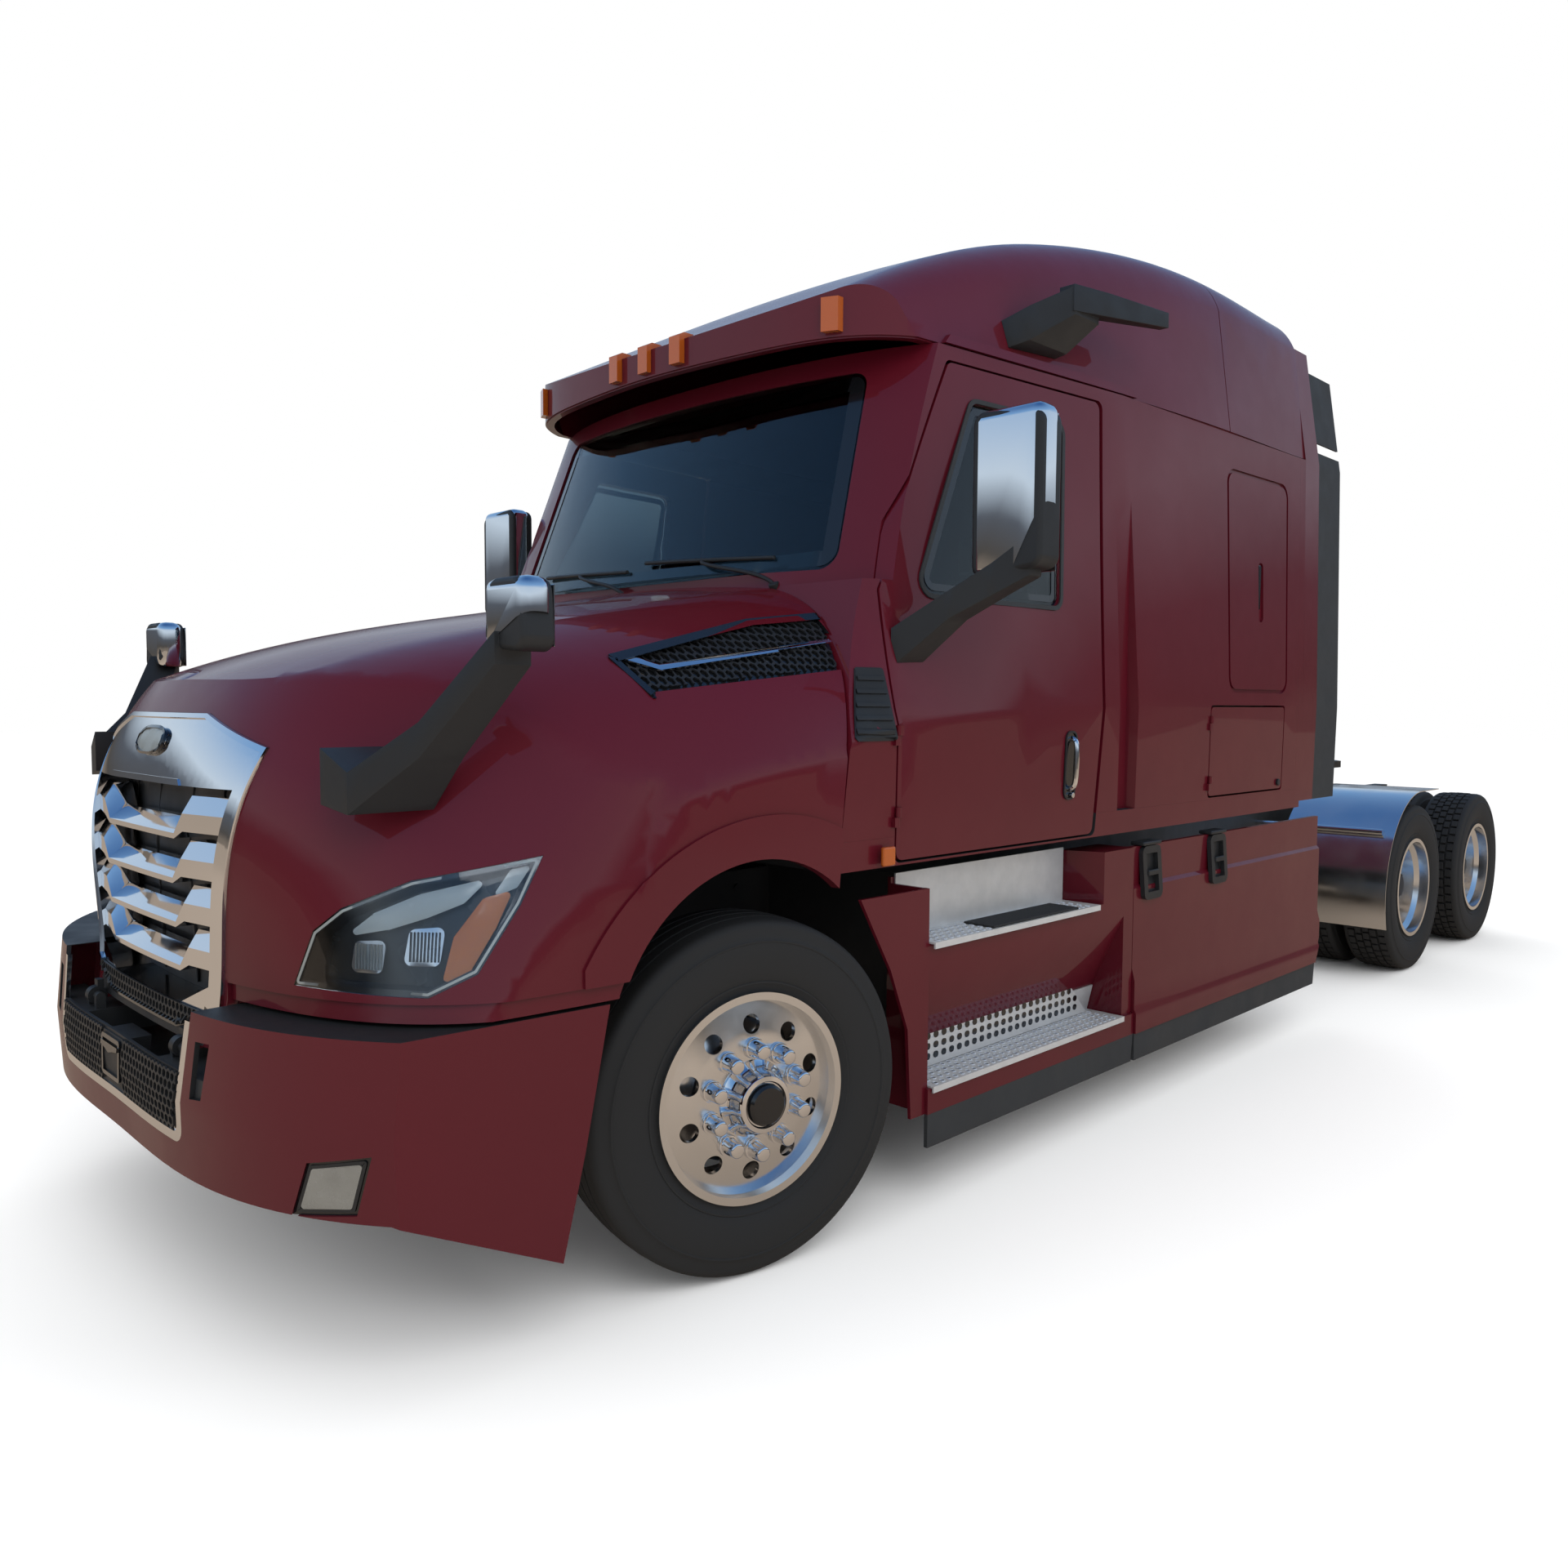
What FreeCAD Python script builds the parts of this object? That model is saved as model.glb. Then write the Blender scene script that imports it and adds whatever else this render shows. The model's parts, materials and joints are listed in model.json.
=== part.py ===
import FreeCAD, Part
import math
import os
from collections import namedtuple
from functools import lru_cache

# Long-nose sleeper tractor unit as separate bolted, seated and hinged pieces.
# Millimetres, +Z up. The nose points to -Y and the driver sits on the +X side.
# The origin is on the ground under the middle of the vehicle's length.
# A value named *_s is a station: a distance back from the front axle.

V = FreeCAD.Vector
os.makedirs("parts", exist_ok=True)

# Overall lengths along the chassis
front_overhang = 1350.0
wheelbase = 5480.0
tandem_spacing = 1320.0
rear_overhang = 630.0
overall_length = front_overhang + wheelbase + tandem_spacing + rear_overhang
front_axle_y = front_overhang - overall_length / 2
drive_s = wheelbase
drive2_s = wheelbase + tandem_spacing
frame_end_s = drive2_s + rear_overhang
tandem_s = wheelbase + tandem_spacing / 2

# Half width that every trimming block passes
body_reach = 1600.0
# Running clearances between pieces
seat_gap = 0.3
running_gap = 0.5
panel_gap = 8.0
far_front_s = -1600.0
roof_top_z = 3700.0
door_rear_gap = 20.0

# Tyres and rims
tyre_diameter = 1012.0
tyre_width = 275.0
tyre_radius = tyre_diameter / 2
axle_z = tyre_radius
bead_radius = 286.0
rim_flange_radius = 298.5
rim_flange_thickness = 14.0
bead_inset = 26.0
bead_seat_width = 45.0
well_slope = 25.0
rim_well_radius = 262.0
rim_wall = 9.0
disc_thickness = 16.0
front_disc_inset = 38.0
front_disc_crown = 22.0
dual_disc_root = 45.0
tread_crown = 6.0
shoulder_radius = 34.0
sidewall_step = 8.0
shoulder_step = 14.0
front_track_half = 1050.0
dual_outer_x = 1082.0
dual_spacing = 330.0
dual_inner_x = dual_outer_x - dual_spacing
dual_face_x = dual_outer_x - dual_spacing / 2
hand_holes = 10
hand_hole_radius = 27.0
hand_hole_circle = 208.0
hub_radius = 110.0
stud_face_width = 20.0
hub_flange = 45.0
hub_waist = 19.0
hub_nose = 30.0
hub_cap = 20.0
disc_slope_start = 40.0
fork_radius = 46.0
fork_half = 60.0
fork_back = 30.0
fork_back_gap = 8.0
spindle_radius = 45.0

# Steering
steer_rest_deg = -11.5
kingpin_x = 865.0
kingpin_radius = 24.0
axle_eye_height = 100.0
axle_eye_radius = 52.0
yoke_thickness = 36.0
steer_arm_length = 185.0
steer_arm_half = 22.0
steer_arm_thickness = 28.0
steer_eye_radius = 30.0
stud_radius = 11.0
tie_rod_radius = 21.0
tie_rod_end_radius = 34.0
tie_rod_end_height = 48.0
tie_rod_drop = 62.0

# Chassis frame
rail_outer_x = 432.0
rail_height = 270.0
rail_flange = 90.0
rail_wall = 9.0
rail_top_z = 1010.0
rail_bottom_z = rail_top_z - rail_height
rail_front_s = -1120.0
tail_lamp_depth = 40.0
rail_end_s = frame_end_s - tail_lamp_depth
crossmember_wall = 10.0
crossmember_height = 180.0
crossmember_half = 30.0
tunnel_gap = 25.0

# Hood
hood_wall = 25.0
hood_hinge_s = -1288.0
hood_hinge_z = 738.0
hood_low_z = 700.0
hood_pin_radius = 13.0
hood_lug_x = 360.0
hood_lug_half = 15.0
hood_lug_radius = 26.0
hood_pin_clearance = 24.0
hood_cheek = 20.0
hood_cheek_gap = 10.0
hood_web_inset = 8.0
hood_web_height = 45.0
gap_low_s = 228.0
gap_mid_s = 275.0
gap_top_s = 465.0
gap_low_z = 1050.0
gap_mid_z = 1470.0
gap_top_z = 1985.0
arch_front_s = -530.0
arch_front_z = 880.0
arch_top_s = -130.0
arch_top_z = 1180.0
arch_rear_s = gap_low_s
arch_rear_z = 1070.0
arch_cut_s = gap_mid_s + 200.0
arch_lip_proud = 8.0
arch_lip_front_s = -640.0
arch_lip_front_z = 960.0
arch_lip_rear_z = 1080.0
arch_lip_top_z = 1296.0

# Vents let into the hood's flanks
vent_corners = [(-335.0, 1718.0), (-300.0, 1634.0), (385.0, 1712.0), (405.0, 1868.0), (180.0, 1842.0)]
vent_inner_x = 780.0
vent_depth = 16.0

# Cab
cab_floor_z = 1110.0
cab_rear_s = 3600.0
cab_wall = 60.0
floor_thickness = 90.0
roof_seam_z = 2800.0
roof_wall = 40.0
door_front_s = 500.0
door_rear_s = 1640.0
door_wall = 55.0
door_low_z = 1125.0
belt_z = 1590.0
glass_thickness = 6.0
glass_inset = 10.0
door_inner_x = 960.0
door_sill_x = 1150.0
door_corner = 30.0
luggage_corner = 20.0
screen_cut_s = 1500.0
split_s = 1000.0

# Door and window outlines in side view
door_front_top_s = 925.0
door_front_waist_z = 1960.0
door_rear_waist_s = 1690.0
door_rear_top_s = 1750.0
door_top_z = 2745.0
window_rear_s = 1440.0
window_front_s = 690.0
window_low_z = 1960.0
window_top_z = 2625.0
window_front_top_s = 1030.0
window_rear_top_s = 1515.0
window_corner = 45.0

# Windscreen in front view
screen_low_x = 915.0
screen_low_z = 2040.0
screen_top_x = 845.0
screen_top_z = 2725.0
screen_corner = 60.0

# Hinges of the cab doors and luggage doors
door_hinge_x = 1216.0
door_hinge_s = door_front_s - panel_gap / 2
door_hinge_z = [1230.0, 1480.0]
hinge_pin_radius = 5.0
hinge_eye_radius = 9.0
hinge_foot_inner = 26.0
hinge_foot_outer = 5.0
hinge_foot_length = 20.0
hinge_foot_height = 30.0

# Luggage doors
luggage_front_s = 2600.0
luggage_rear_s = 3370.0
luggage_low_z = 1215.0
luggage_top_z = 1600.0
luggage_wall = 40.0
luggage_hinge_x = 1230.0
luggage_hinge_s = luggage_front_s - panel_gap / 2
luggage_hinge_z = [1240.0, 1500.0]

# Grille shield in front view
shield_top_x = 590.0
shield_top_z = 1492.0
shield_crown_z = 1572.0
shield_low_x = 490.0
shield_low_z = 828.0
shield_foot_z = 765.0
shield_rim = 62.0
shield_depth = 105.0
shield_proud = 9.0
shield_panel_z = 1388.0
shield_foot_share = 0.55
shield_crown_share = 0.5
nose_cut_s = -600.0
grille_bar_count = 4
bar_margin = 0.35
grille_back_wall = 12.0

grille_bar_depth = 74.0
blade_nose = 14.0
blade_rise = 50.0
bracket_low = 22.0
bracket_nose = 46.0
bracket_set_back = 26.0
bracket_rise = 112.0
gull_x = 322.0
gull_knee_x = 268.0
shield_lip = 12.0
shield_step = 6.0
badge_z = 1496.0
badge_half_x = 98.0
badge_half_z = 34.0
badge_proud = 7.0
brow_half_x = 285.0
brow_height = 16.0
hood_edge_side_z = 872.0
hood_edge_front_z = 742.0
hood_edge_front_x = 480.0
hood_edge_step_x = 515.0
hood_strip_z = 915.0
hood_strip_depth = 11.0

# Lamps
lamp_corners = [(-290.0, 940.0), (-240.0, 1070.0), (-170.0, 1125.0), (-7.0, 1190.0),
                (283.0, 1240.0), (240.0, 1130.0), (156.0, 980.0), (49.0, 930.0)]
fog_corners = [(-245.0, 450.0), (-200.0, 580.0), (-40.0, 610.0), (-80.0, 470.0)]
fog_inset = 7.0
fog_wall = 30.0
lamp_depth = 135.0
lamp_rim = 14.0
lamp_wall = 12.0
lens_wall = 6.0

# Bumper
bumper_wall = 12.0
bumper_centre_s = -front_overhang
bumper_corner_x = 1120.0
bumper_corner_s = -1105.0
bumper_side_x = 1192.0
bumper_end_top_s = -545.0
bumper_end_low_s = -690.0
bumper_top_side_z = 862.0
bumper_low_front_z = 452.0
bumper_low_rear_z = 245.0
bumper_end_mid_s = -628.0
bumper_lean = 26.0
bumper_knee_share = 0.62
bumper_knee_sweep = 38.0
bumper_open_s = -300.0
bumper_waist_z = 640.0
mesh_inset = 4.0
mesh_wall = 8.0
mesh_top_z = 712.0
border_top_x = 537.0
border_low_x = 498.0
border_low_z = 532.0
border_width = 25.0
border_depth = bumper_wall
border_corner = 45.0
sensor_half = 82.0
sensor_low_z = 578.0
sensor_top_z = 704.0
sensor_depth = 70.0
tow_slot = [(562.0, 796.0), (625.0, 800.0), (604.0, 664.0), (552.0, 658.0)]

# Running gear under the frame
spring_x = 385.0
spring_width = 90.0
spring_leaf = 45.0
spring_half_length = 690.0
spring_eye_z = 680.0
beam_low_z = 395.0
beam_top_z = 475.0
beam_half_width = 45.0
beam_drop_x = 620.0
beam_neck_x = 800.0
drum_radius = 205.0
drum_depth = 110.0
axle_tube_radius = 72.0
diff_radius = 215.0
diff_half_width = 150.0
trailing_arm_x = 380.0
trailing_arm_half = 40.0
trailing_arm_front = 420.0
trailing_arm_back = 430.0
air_spring_radius = 120.0
air_spring_back = 300.0

# Engine, gearbox, driveline and radiator
engine_half = 360.0
engine_mount_s = -220.0
engine_front_s = -700.0
engine_rear_s = 210.0
engine_low_z = 600.0
engine_top_z = 1600.0
gearbox_half = 250.0
gearbox_rear_s = 1600.0
gearbox_low_z = 640.0
gearbox_top_z = 1060.0
shaft_radius = 55.0
shaft_z = 760.0
radiator_front_s = -1010.0
radiator_rear_s = -830.0
radiator_half = 455.0
radiator_low_z = 640.0
radiator_top_z = 1480.0

# Tanks, outriggers and the plate behind the cab
tank_radius = 290.0
tank_x = 800.0
tank_z = 560.0
tank_front_s = 2060.0
tank_rear_s = 3600.0
outrigger_half = 25.0
outrigger_z = 800.0
skirt_outrigger_s = [1960.0, 3720.0]
cab_mount_s = [760.0, 3380.0]
cab_mount_half = 60.0
front_arm_inner_x = 300.0
front_arm_outer_x = 452.0
front_head_outer_x = 690.0
front_arm_rear_s = -1030.0
front_head_rear_s = -1235.0
front_arm_low_z = 630.0
front_arm_top_z = 704.0
deck_front_s = 3700.0
deck_rear_s = 4700.0
deck_wall = 30.0

# Quarter fenders ahead of the drive wheels
fender_radius = 585.0
fender_wall = 5.0
fender_inner_x = 610.0
fender_outer_x = 1232.0
fender_low_z = 320.0
fender_top_reach_s = 330.0
fender_tube_radius = 19.0

# Pressings in the cab's sides
channel_front_s = 1790.0
channel_rear_s = 1990.0
channel_floor_x = 1182.0
channel_mouth_x = 1300.0
channel_slope = 45.0
channel_low_z = 1150.0
channel_top_z = 2790.0
locker_front_s = 2770.0
locker_rear_s = 3400.0
locker_low_z = 1665.0
locker_top_z = 2650.0
locker_corner = 70.0
locker_groove = 16.0
locker_groove_depth = 9.0
slot_front_s = 3080.0
slot_rear_s = 3130.0
slot_low_z = 1990.0
slot_top_z = 2260.0
slot_corner = 22.0
roof_joint_s = 2790.0
joint_width = 6.0
joint_depth = 7.0
rail_proud = 20.0
drip_front_s = 905.0
drip_rear_s = 2000.0
drip_height = 34.0

# Side extenders behind the sleeper
extender_rear_s = 3770.0
extender_wall = 30.0
extender_low_z = 1140.0
extender_top_z = 3350.0
seal_rear_s = 4050.0
seal_wall = 10.0
seal_split_low_z = 2860.0
seal_split_top_z = 2910.0
seal_top_z = 3260.0

# Cab fittings
dash_front_s = 640.0
dash_rear_s = 960.0
dash_low_z = 1500.0
dash_top_z = 1945.0
dash_half = 960.0
wheel_rim_radius = 225.0
wheel_grip_radius = 15.0
wheel_x = 560.0
wheel_s = 1180.0
wheel_z = 1900.0
wheel_tilt_deg = 35.0
seat_x = 560.0
seat_half = 260.0
seat_front_s = 1330.0
seat_back_s = 1830.0
seat_low_z = 1480.0
seat_top_z = 1600.0
seat_head_z = 2330.0
seat_back_wall = 130.0
seat_recline = 110.0
pedestal_half = 180.0
bunk_half = 1140.0
bunk_front_s = 2720.0
bunk_low_z = 1560.0
bunk_top_z = 1760.0

# Mirrors
mirror_inner_x = 1300.0
mirror_outer_x = 1552.0
mirror_front_s = 730.0
mirror_rear_s = 845.0
mirror_low_z = 1990.0
mirror_top_z = 2505.0
mirror_corner = 40.0
mirror_edge = 16.0
mirror_arm = [(1150.0, 530.0, 655.0, 1715.0, 1840.0), (1300.0, 625.0, 722.0, 1868.0, 1955.0),
              (1400.0, 700.0, 775.0, 1935.0, 2035.0), (1505.0, 750.0, 815.0, 1995.0, 2120.0)]
hood_mirror_x = 1180.0
hood_mirror_s = -815.0
hood_mirror_z = 1800.0
hood_mirror_half_x = 85.0
hood_mirror_half_s = 45.0
hood_mirror_half_z = 85.0
hood_mirror_edge = 14.0
hood_arm = [(860.0, -1140.0, -930.0, 1370.0, 1500.0), (965.0, -1125.0, -915.0, 1352.0, 1448.0),
            (1045.0, -995.0, -880.0, 1478.0, 1560.0), (1165.0, -872.0, -775.0, 1690.0, 1765.0)]

# Camera arms over the doors
camera_stem = [(1030.0, 1240.0, 1500.0, 2850.0, 2950.0), (1130.0, 1300.0, 1540.0, 2885.0, 3005.0),
               (1225.0, 1440.0, 1600.0, 2985.0, 3085.0)]
camera_blade = [(1430.0, 1165.0, 1225.0, 2995.0, 3088.0), (1620.0, 1200.0, 1255.0, 3010.0, 3094.0),
                (1975.0, 1268.0, 1305.0, 3040.0, 3096.0)]

# Steps and roof lamps
step_front_s = 620.0
step_rear_s = 1905.0
step_back_x = 1098.0
step_toe_x = 1122.0
step_outer_x = 1262.0
step_wall = 12.0
step_sheet = 6.0
step_lip = 20.0
step_side_s = 615.0
step_ledge_s = 1700.0
fairing_drop = 20.0
arch_corners = [(300.0, 1030.0), (440.0, 800.0), (525.0, 600.0), (545.0, 312.0)]
tread_gap = 4.0
upper_riser_top_z = 1062.0
upper_tread_rear_s = 1640.0
lower_tread_rear_s = 1838.0
lower_toe_z = 500.0
upper_nosing_z = 800.0
step_top_z = 860.0
step_low_z = 400.0
roof_lamp_x = [0.0, 180.0, 830.0]
roof_lamp_half = 27.0
roof_lamp_height = 24.0

# Side skirts and steps
skirt_x = 1240.0
skirt_top_z = 1050.0
skirt_low_z = 312.0
edge_low_z = 205.0
edge_inset = 6.0
edge_wall = 14.0
skirt_front_s = 1930.0
skirt_form = [(1228.0, 1050.0), (1228.0, 900.0), (1240.0, 886.0), (1240.0, 570.0), (1253.0, 520.0),
              (1253.0, 408.0), (1262.0, 392.0), (1262.0, 312.0)]
skirt_rear_corner = 60.0
skirt_wall = 22.0
skirt_rear_s = 3840.0

# Fifth wheel
coupling_s = tandem_s
coupling_top_z = 1225.0
kingpin_socket_radius = 25.4
coupling_plate_width = 940.0
coupling_plate_length = 880.0
coupling_plate_thickness = 45.0
coupling_pivot_z = 1120.0
coupling_pivot_radius = 30.0
coupling_throat_half = 62.0


def at(station):
    """The Y of a station measured back from the front axle."""
    return front_axle_y + station


def block(x0, x1, s0, s1, z0, z1):
    """A box from x0 to x1, from station s0 to s1 and from z0 to z1."""
    return Part.makeBox(x1 - x0, s1 - s0, z1 - z0, V(x0, at(s0), z0))


def rod(x, station, z, direction, radius, length):
    """A round bar that starts at a point and runs along a direction."""
    return Part.makeCylinder(radius, length, V(x, at(station), z), V(*direction))


def mirrored(shape):
    """The same piece on the other side of the truck."""
    return shape.mirror(V(0, 0, 0), V(1, 0, 0))


def pair(shape):
    """A piece and its twin across the truck."""
    return [shape, mirrored(shape)]


def fused(first, *others):
    """One solid made of pieces that touch."""
    return first.fuse(list(others)).removeSplitter()


def rounded_wire(points, radius):
    """A closed wire through coplanar points with each corner rounded."""
    edges = []
    last_end = None
    first_start = None
    count = len(points)
    for index, corner in enumerate(points):
        before = (points[index - 1] - corner).normalize()
        after = (points[(index + 1) % count] - corner).normalize()
        half = before.getAngle(after) / 2
        reach = radius / math.tan(half)
        start = corner + before * reach
        end = corner + after * reach
        bisector = (before + after).normalize()
        middle = corner + bisector * (radius / math.sin(half) - radius)
        if last_end is None:
            first_start = start
        else:
            edges.append(Part.LineSegment(last_end, start).toShape())
        edges.append(Part.Arc(start, middle, end).toShape())
        last_end = end
    edges.append(Part.LineSegment(last_end, first_start).toShape())
    return Part.Wire(edges)


def outline(points, radius):
    """A closed wire, sharp where the radius is nothing."""
    if radius > 0:
        return rounded_wire(points, radius)
    return Part.makePolygon(points + [points[0]])


def slab_x(points, x0, x1, radius=0.0):
    """A side-view outline of (station, z) points, thick from x0 to x1."""
    corners = [V(x0, at(station), z) for station, z in points]
    return Part.Face(outline(corners, radius)).extrude(V(x1 - x0, 0, 0))


def slab_y(points, s0, s1, radius=0.0):
    """A front-view outline of (x, z) points, thick from station s0 to s1."""
    corners = [V(x, at(s0), z) for x, z in points]
    return Part.Face(outline(corners, radius)).extrude(V(0, s1 - s0, 0))


def slab_z(points, z0, z1, radius=0.0):
    """A plan outline of (x, station) points, thick from z0 to z1."""
    corners = [V(x, at(station), z0) for x, station in points]
    return Part.Face(outline(corners, radius)).extrude(V(0, 0, z1 - z0))


def turned(profile, x, station, z):
    """A ring turned about an axle through a point from (offset x, radius) points."""
    corners = [V(x + along, at(station), z + radius) for along, radius in profile]
    face = Part.Face(Part.makePolygon(corners + [corners[0]]))
    return face.revolve(V(x, at(station), z), V(1, 0, 0), 360)


def blade_x(stages):
    """An arm through upright (x, front, rear, low, high) rectangles, each facing outwards."""
    wires = []
    for x, s0, s1, z0, z1 in stages:
        corners = [V(x, at(s0), z0), V(x, at(s1), z0), V(x, at(s1), z1), V(x, at(s0), z1)]
        wires.append(Part.makePolygon(corners + [corners[0]]))
    return Part.makeLoft(wires, True, True)


def blade_s(stages):
    """An arm through upright (station, inner, outer, low, high) rectangles, each facing back."""
    wires = []
    for station, x0, x1, z0, z1 in stages:
        y = at(station)
        corners = [V(x0, y, z0), V(x1, y, z0), V(x1, y, z1), V(x0, y, z1)]
        wires.append(Part.makePolygon(corners + [corners[0]]))
    return Part.makeLoft(wires, True, True)


def softened(shape, radius):
    """A block with every edge rounded."""
    return shape.makeFillet(radius, shape.Edges)


def save(name, solids):
    """Write a piece, or like pieces of one body, under its own name."""
    found = []
    for solid in solids:
        found.extend(solid.Solids)
    shape = Part.makeCompound(found)
    shape.exportStep("parts/" + name + ".step")


# Cross sections of the body panels. Each half outline runs up a straight flank
# to a crease, then over a curved shoulder to an edge and a crowned top.
Section = namedtuple(
    "Section", "station sill_x crease_x crease_z shoulder_x shoulder_z edge_x edge_z crown_z"
)
# Plan curves of the noses at one height, from the centre to the side.
Level = namedtuple("Level", "z centre_s knee_x knee_s corner_x corner_s side_x side_s")

hood_sections = [
    Section(-1320, 1010, 990, 1085, 770, 1400, 480, 1560, 1585),
    Section(-1050, 1125, 1110, 1180, 840, 1535, 540, 1668, 1695),
    Section(-750, 1170, 1155, 1245, 885, 1640, 590, 1762, 1792),
    Section(-300, 1202, 1192, 1370, 930, 1710, 630, 1850, 1885),
    Section(150, 1215, 1210, 1440, 965, 1790, 670, 1930, 1965),
    Section(500, 1220, 1215, 1480, 1000, 1855, 700, 1990, 2025),
]
hood_levels = [
    Level(660, -1300, 600, -1280, 990, -1160, 1185, -700),
    Level(1100, -1270, 600, -1215, 970, -1000, 1185, -480),
    Level(1500, -1220, 600, -1135, 900, -870, 1150, -330),
    Level(1800, -1020, 560, -900, 850, -640, 1150, -100),
    Level(2150, -720, 520, -600, 800, -340, 1150, 180),
]
cab_sections = [
    Section(200, 1203, 1210, 1470, 990, 1880, 830, 2800, 2960),
    Section(520, 1205, 1212, 1550, 1112, 1980, 1015, 2800, 2960),
    Section(1200, 1212, 1220, 1590, 1165, 2000, 1085, 2800, 2960),
    Section(1900, 1218, 1226, 1600, 1203, 2000, 1160, 2800, 2960),
    Section(3600, 1222, 1230, 1600, 1222, 2000, 1205, 2800, 2960),
]
windscreen_levels = [
    Level(1990, 400, 600, 445, 930, 520, 1115, 580),
    Level(2990, 770, 580, 810, 880, 880, 1060, 960),
]
roof_sections = [
    Section(440, 1015, 985, 2840, 950, 2856, 850, 2868, 2878),
    Section(1000, 1068, 1005, 2985, 950, 3085, 820, 3150, 3175),
    Section(1400, 1105, 1035, 3090, 975, 3220, 830, 3310, 3355),
    Section(2350, 1182, 1100, 3300, 1010, 3450, 850, 3515, 3570),
    Section(2950, 1198, 1125, 3340, 1035, 3480, 870, 3545, 3600),
    Section(3600, 1205, 1135, 3335, 1040, 3470, 870, 3530, 3590),
]
visor_levels = [
    Level(2700, 490, 500, 530, 900, 650, 1050, 840),
    Level(3700, 490, 500, 530, 900, 650, 1050, 840),
]


def section_wire(section, low_z, inset):
    """One closed cross section, moved inwards by a wall."""
    y = at(section.station)
    lean_x = section.crease_x - section.shoulder_x
    lean_z = section.shoulder_z - section.crease_z
    lean = math.hypot(lean_x, lean_z)
    shoulder_x = section.shoulder_x - inset * lean_z / lean
    shoulder_z = section.shoulder_z - inset * lean_x / lean
    edge = V(section.edge_x - inset * lean_z / lean, y, section.edge_z - inset)
    low = V(section.sill_x - inset, y, low_z)
    crease = V(section.crease_x - inset, y, section.crease_z - inset * lean_x / lean)
    shoulder = V(shoulder_x, y, shoulder_z)
    crown = V(0, y, section.crown_z - inset)

    def across(point):
        return V(-point.x, point.y, point.z)

    right = Part.BSplineCurve()
    right.interpolate([crease, shoulder, edge])
    left = Part.BSplineCurve()
    left.interpolate([across(edge), across(shoulder), across(crease)])
    return Part.Wire([
        Part.LineSegment(across(low), low).toShape(),
        Part.LineSegment(low, crease).toShape(),
        right.toShape(),
        Part.Arc(edge, crown, across(edge)).toShape(),
        left.toShape(),
        Part.LineSegment(across(crease), across(low)).toShape(),
    ])


def level_wire(level, back_s, inset):
    """One closed plan outline of a nose, moved inwards by a wall."""
    slope_x = level.side_x - level.corner_x
    slope_s = level.side_s - level.corner_s
    slope = math.hypot(slope_x, slope_s)
    side = V(level.side_x - inset * slope_s / slope, at(level.side_s + inset * slope_x / slope), level.z)
    knee = V(level.knee_x, at(level.knee_s + inset), level.z)
    corner = V(level.corner_x - inset * slope_s / slope,
               at(level.corner_s + inset * slope_x / slope), level.z)
    centre = V(0, at(level.centre_s + inset), level.z)
    flare = V(body_reach, side.y + (body_reach - side.x) * slope_s / slope_x, level.z)
    back = V(body_reach, at(back_s), level.z)

    def across(point):
        return V(-point.x, point.y, point.z)

    nose = Part.BSplineCurve()
    nose.interpolate([side, corner, knee, centre, across(knee), across(corner), across(side)])
    return Part.Wire([
        nose.toShape(),
        Part.LineSegment(across(side), across(flare)).toShape(),
        Part.LineSegment(across(flare), across(back)).toShape(),
        Part.LineSegment(across(back), back).toShape(),
        Part.LineSegment(back, flare).toShape(),
        Part.LineSegment(flare, side).toShape(),
    ])


def lofted_sections(sections, low_z, inset, smooth=True):
    """A solid through cross sections along the truck."""
    return Part.makeLoft([section_wire(section, low_z, inset) for section in sections], True, not smooth)


def lofted_levels(levels, back_s, inset, smooth=False):
    """A solid through plan outlines, one above the other."""
    return Part.makeLoft([level_wire(level, back_s, inset) for level in levels], True, not smooth)


def gap_line(shift):
    """The side-view line of the gap between hood and cab, moved back by a shift."""
    return [
        (gap_low_s + shift, 0.0),
        (gap_low_s + shift, gap_low_z),
        (gap_mid_s + shift, gap_mid_z),
        (gap_top_s + shift, gap_top_z + panel_gap),
    ]


def ahead_of_gap(shift):
    """Everything in front of the gap between hood and cab."""
    line = gap_line(shift)
    top_s, top_z = line[-1]
    return slab_x(line + [(top_s, top_z + cab_wall), (far_front_s, top_z + cab_wall), (far_front_s, 0.0)],
                  -body_reach, body_reach)


@lru_cache(maxsize=None)
def hood_volume(inset):
    """The closed outer form of the hood, inset by a wall thickness."""
    body = lofted_sections(hood_sections, hood_low_z - panel_gap * 5, inset)
    nose = lofted_levels(hood_levels, cab_rear_s, inset, smooth=True)
    return body.common(nose).common(ahead_of_gap(-panel_gap / 2))


@lru_cache(maxsize=None)
def cab_volume(inset):
    """The closed outer form of the cab below the roof seam, inset by a wall."""
    body = lofted_sections(cab_sections, cab_floor_z - 10, inset, smooth=False)
    box = block(-body_reach, body_reach, 0, cab_rear_s - inset, cab_floor_z + inset, roof_seam_z)
    screen = lofted_levels(windscreen_levels, cab_rear_s + 100, inset)
    above = block(-body_reach, body_reach, far_front_s, cab_rear_s, gap_top_z + panel_gap, roof_top_z)
    wedge = ahead_of_gap(panel_gap / 2 + inset)
    return body.common(box).cut(above.cut(screen)).cut(wedge)


@lru_cache(maxsize=None)
def roof_volume(inset):
    """The closed outer form of the roof cap above the seam, inset by a wall."""
    body = lofted_sections(roof_sections, roof_seam_z - 60, inset)
    nose = lofted_levels(visor_levels, cab_rear_s + 100, inset)
    box = block(-body_reach, body_reach, 0, cab_rear_s - inset, roof_seam_z + seat_gap, roof_top_z)
    return body.common(nose).common(box)


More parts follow.
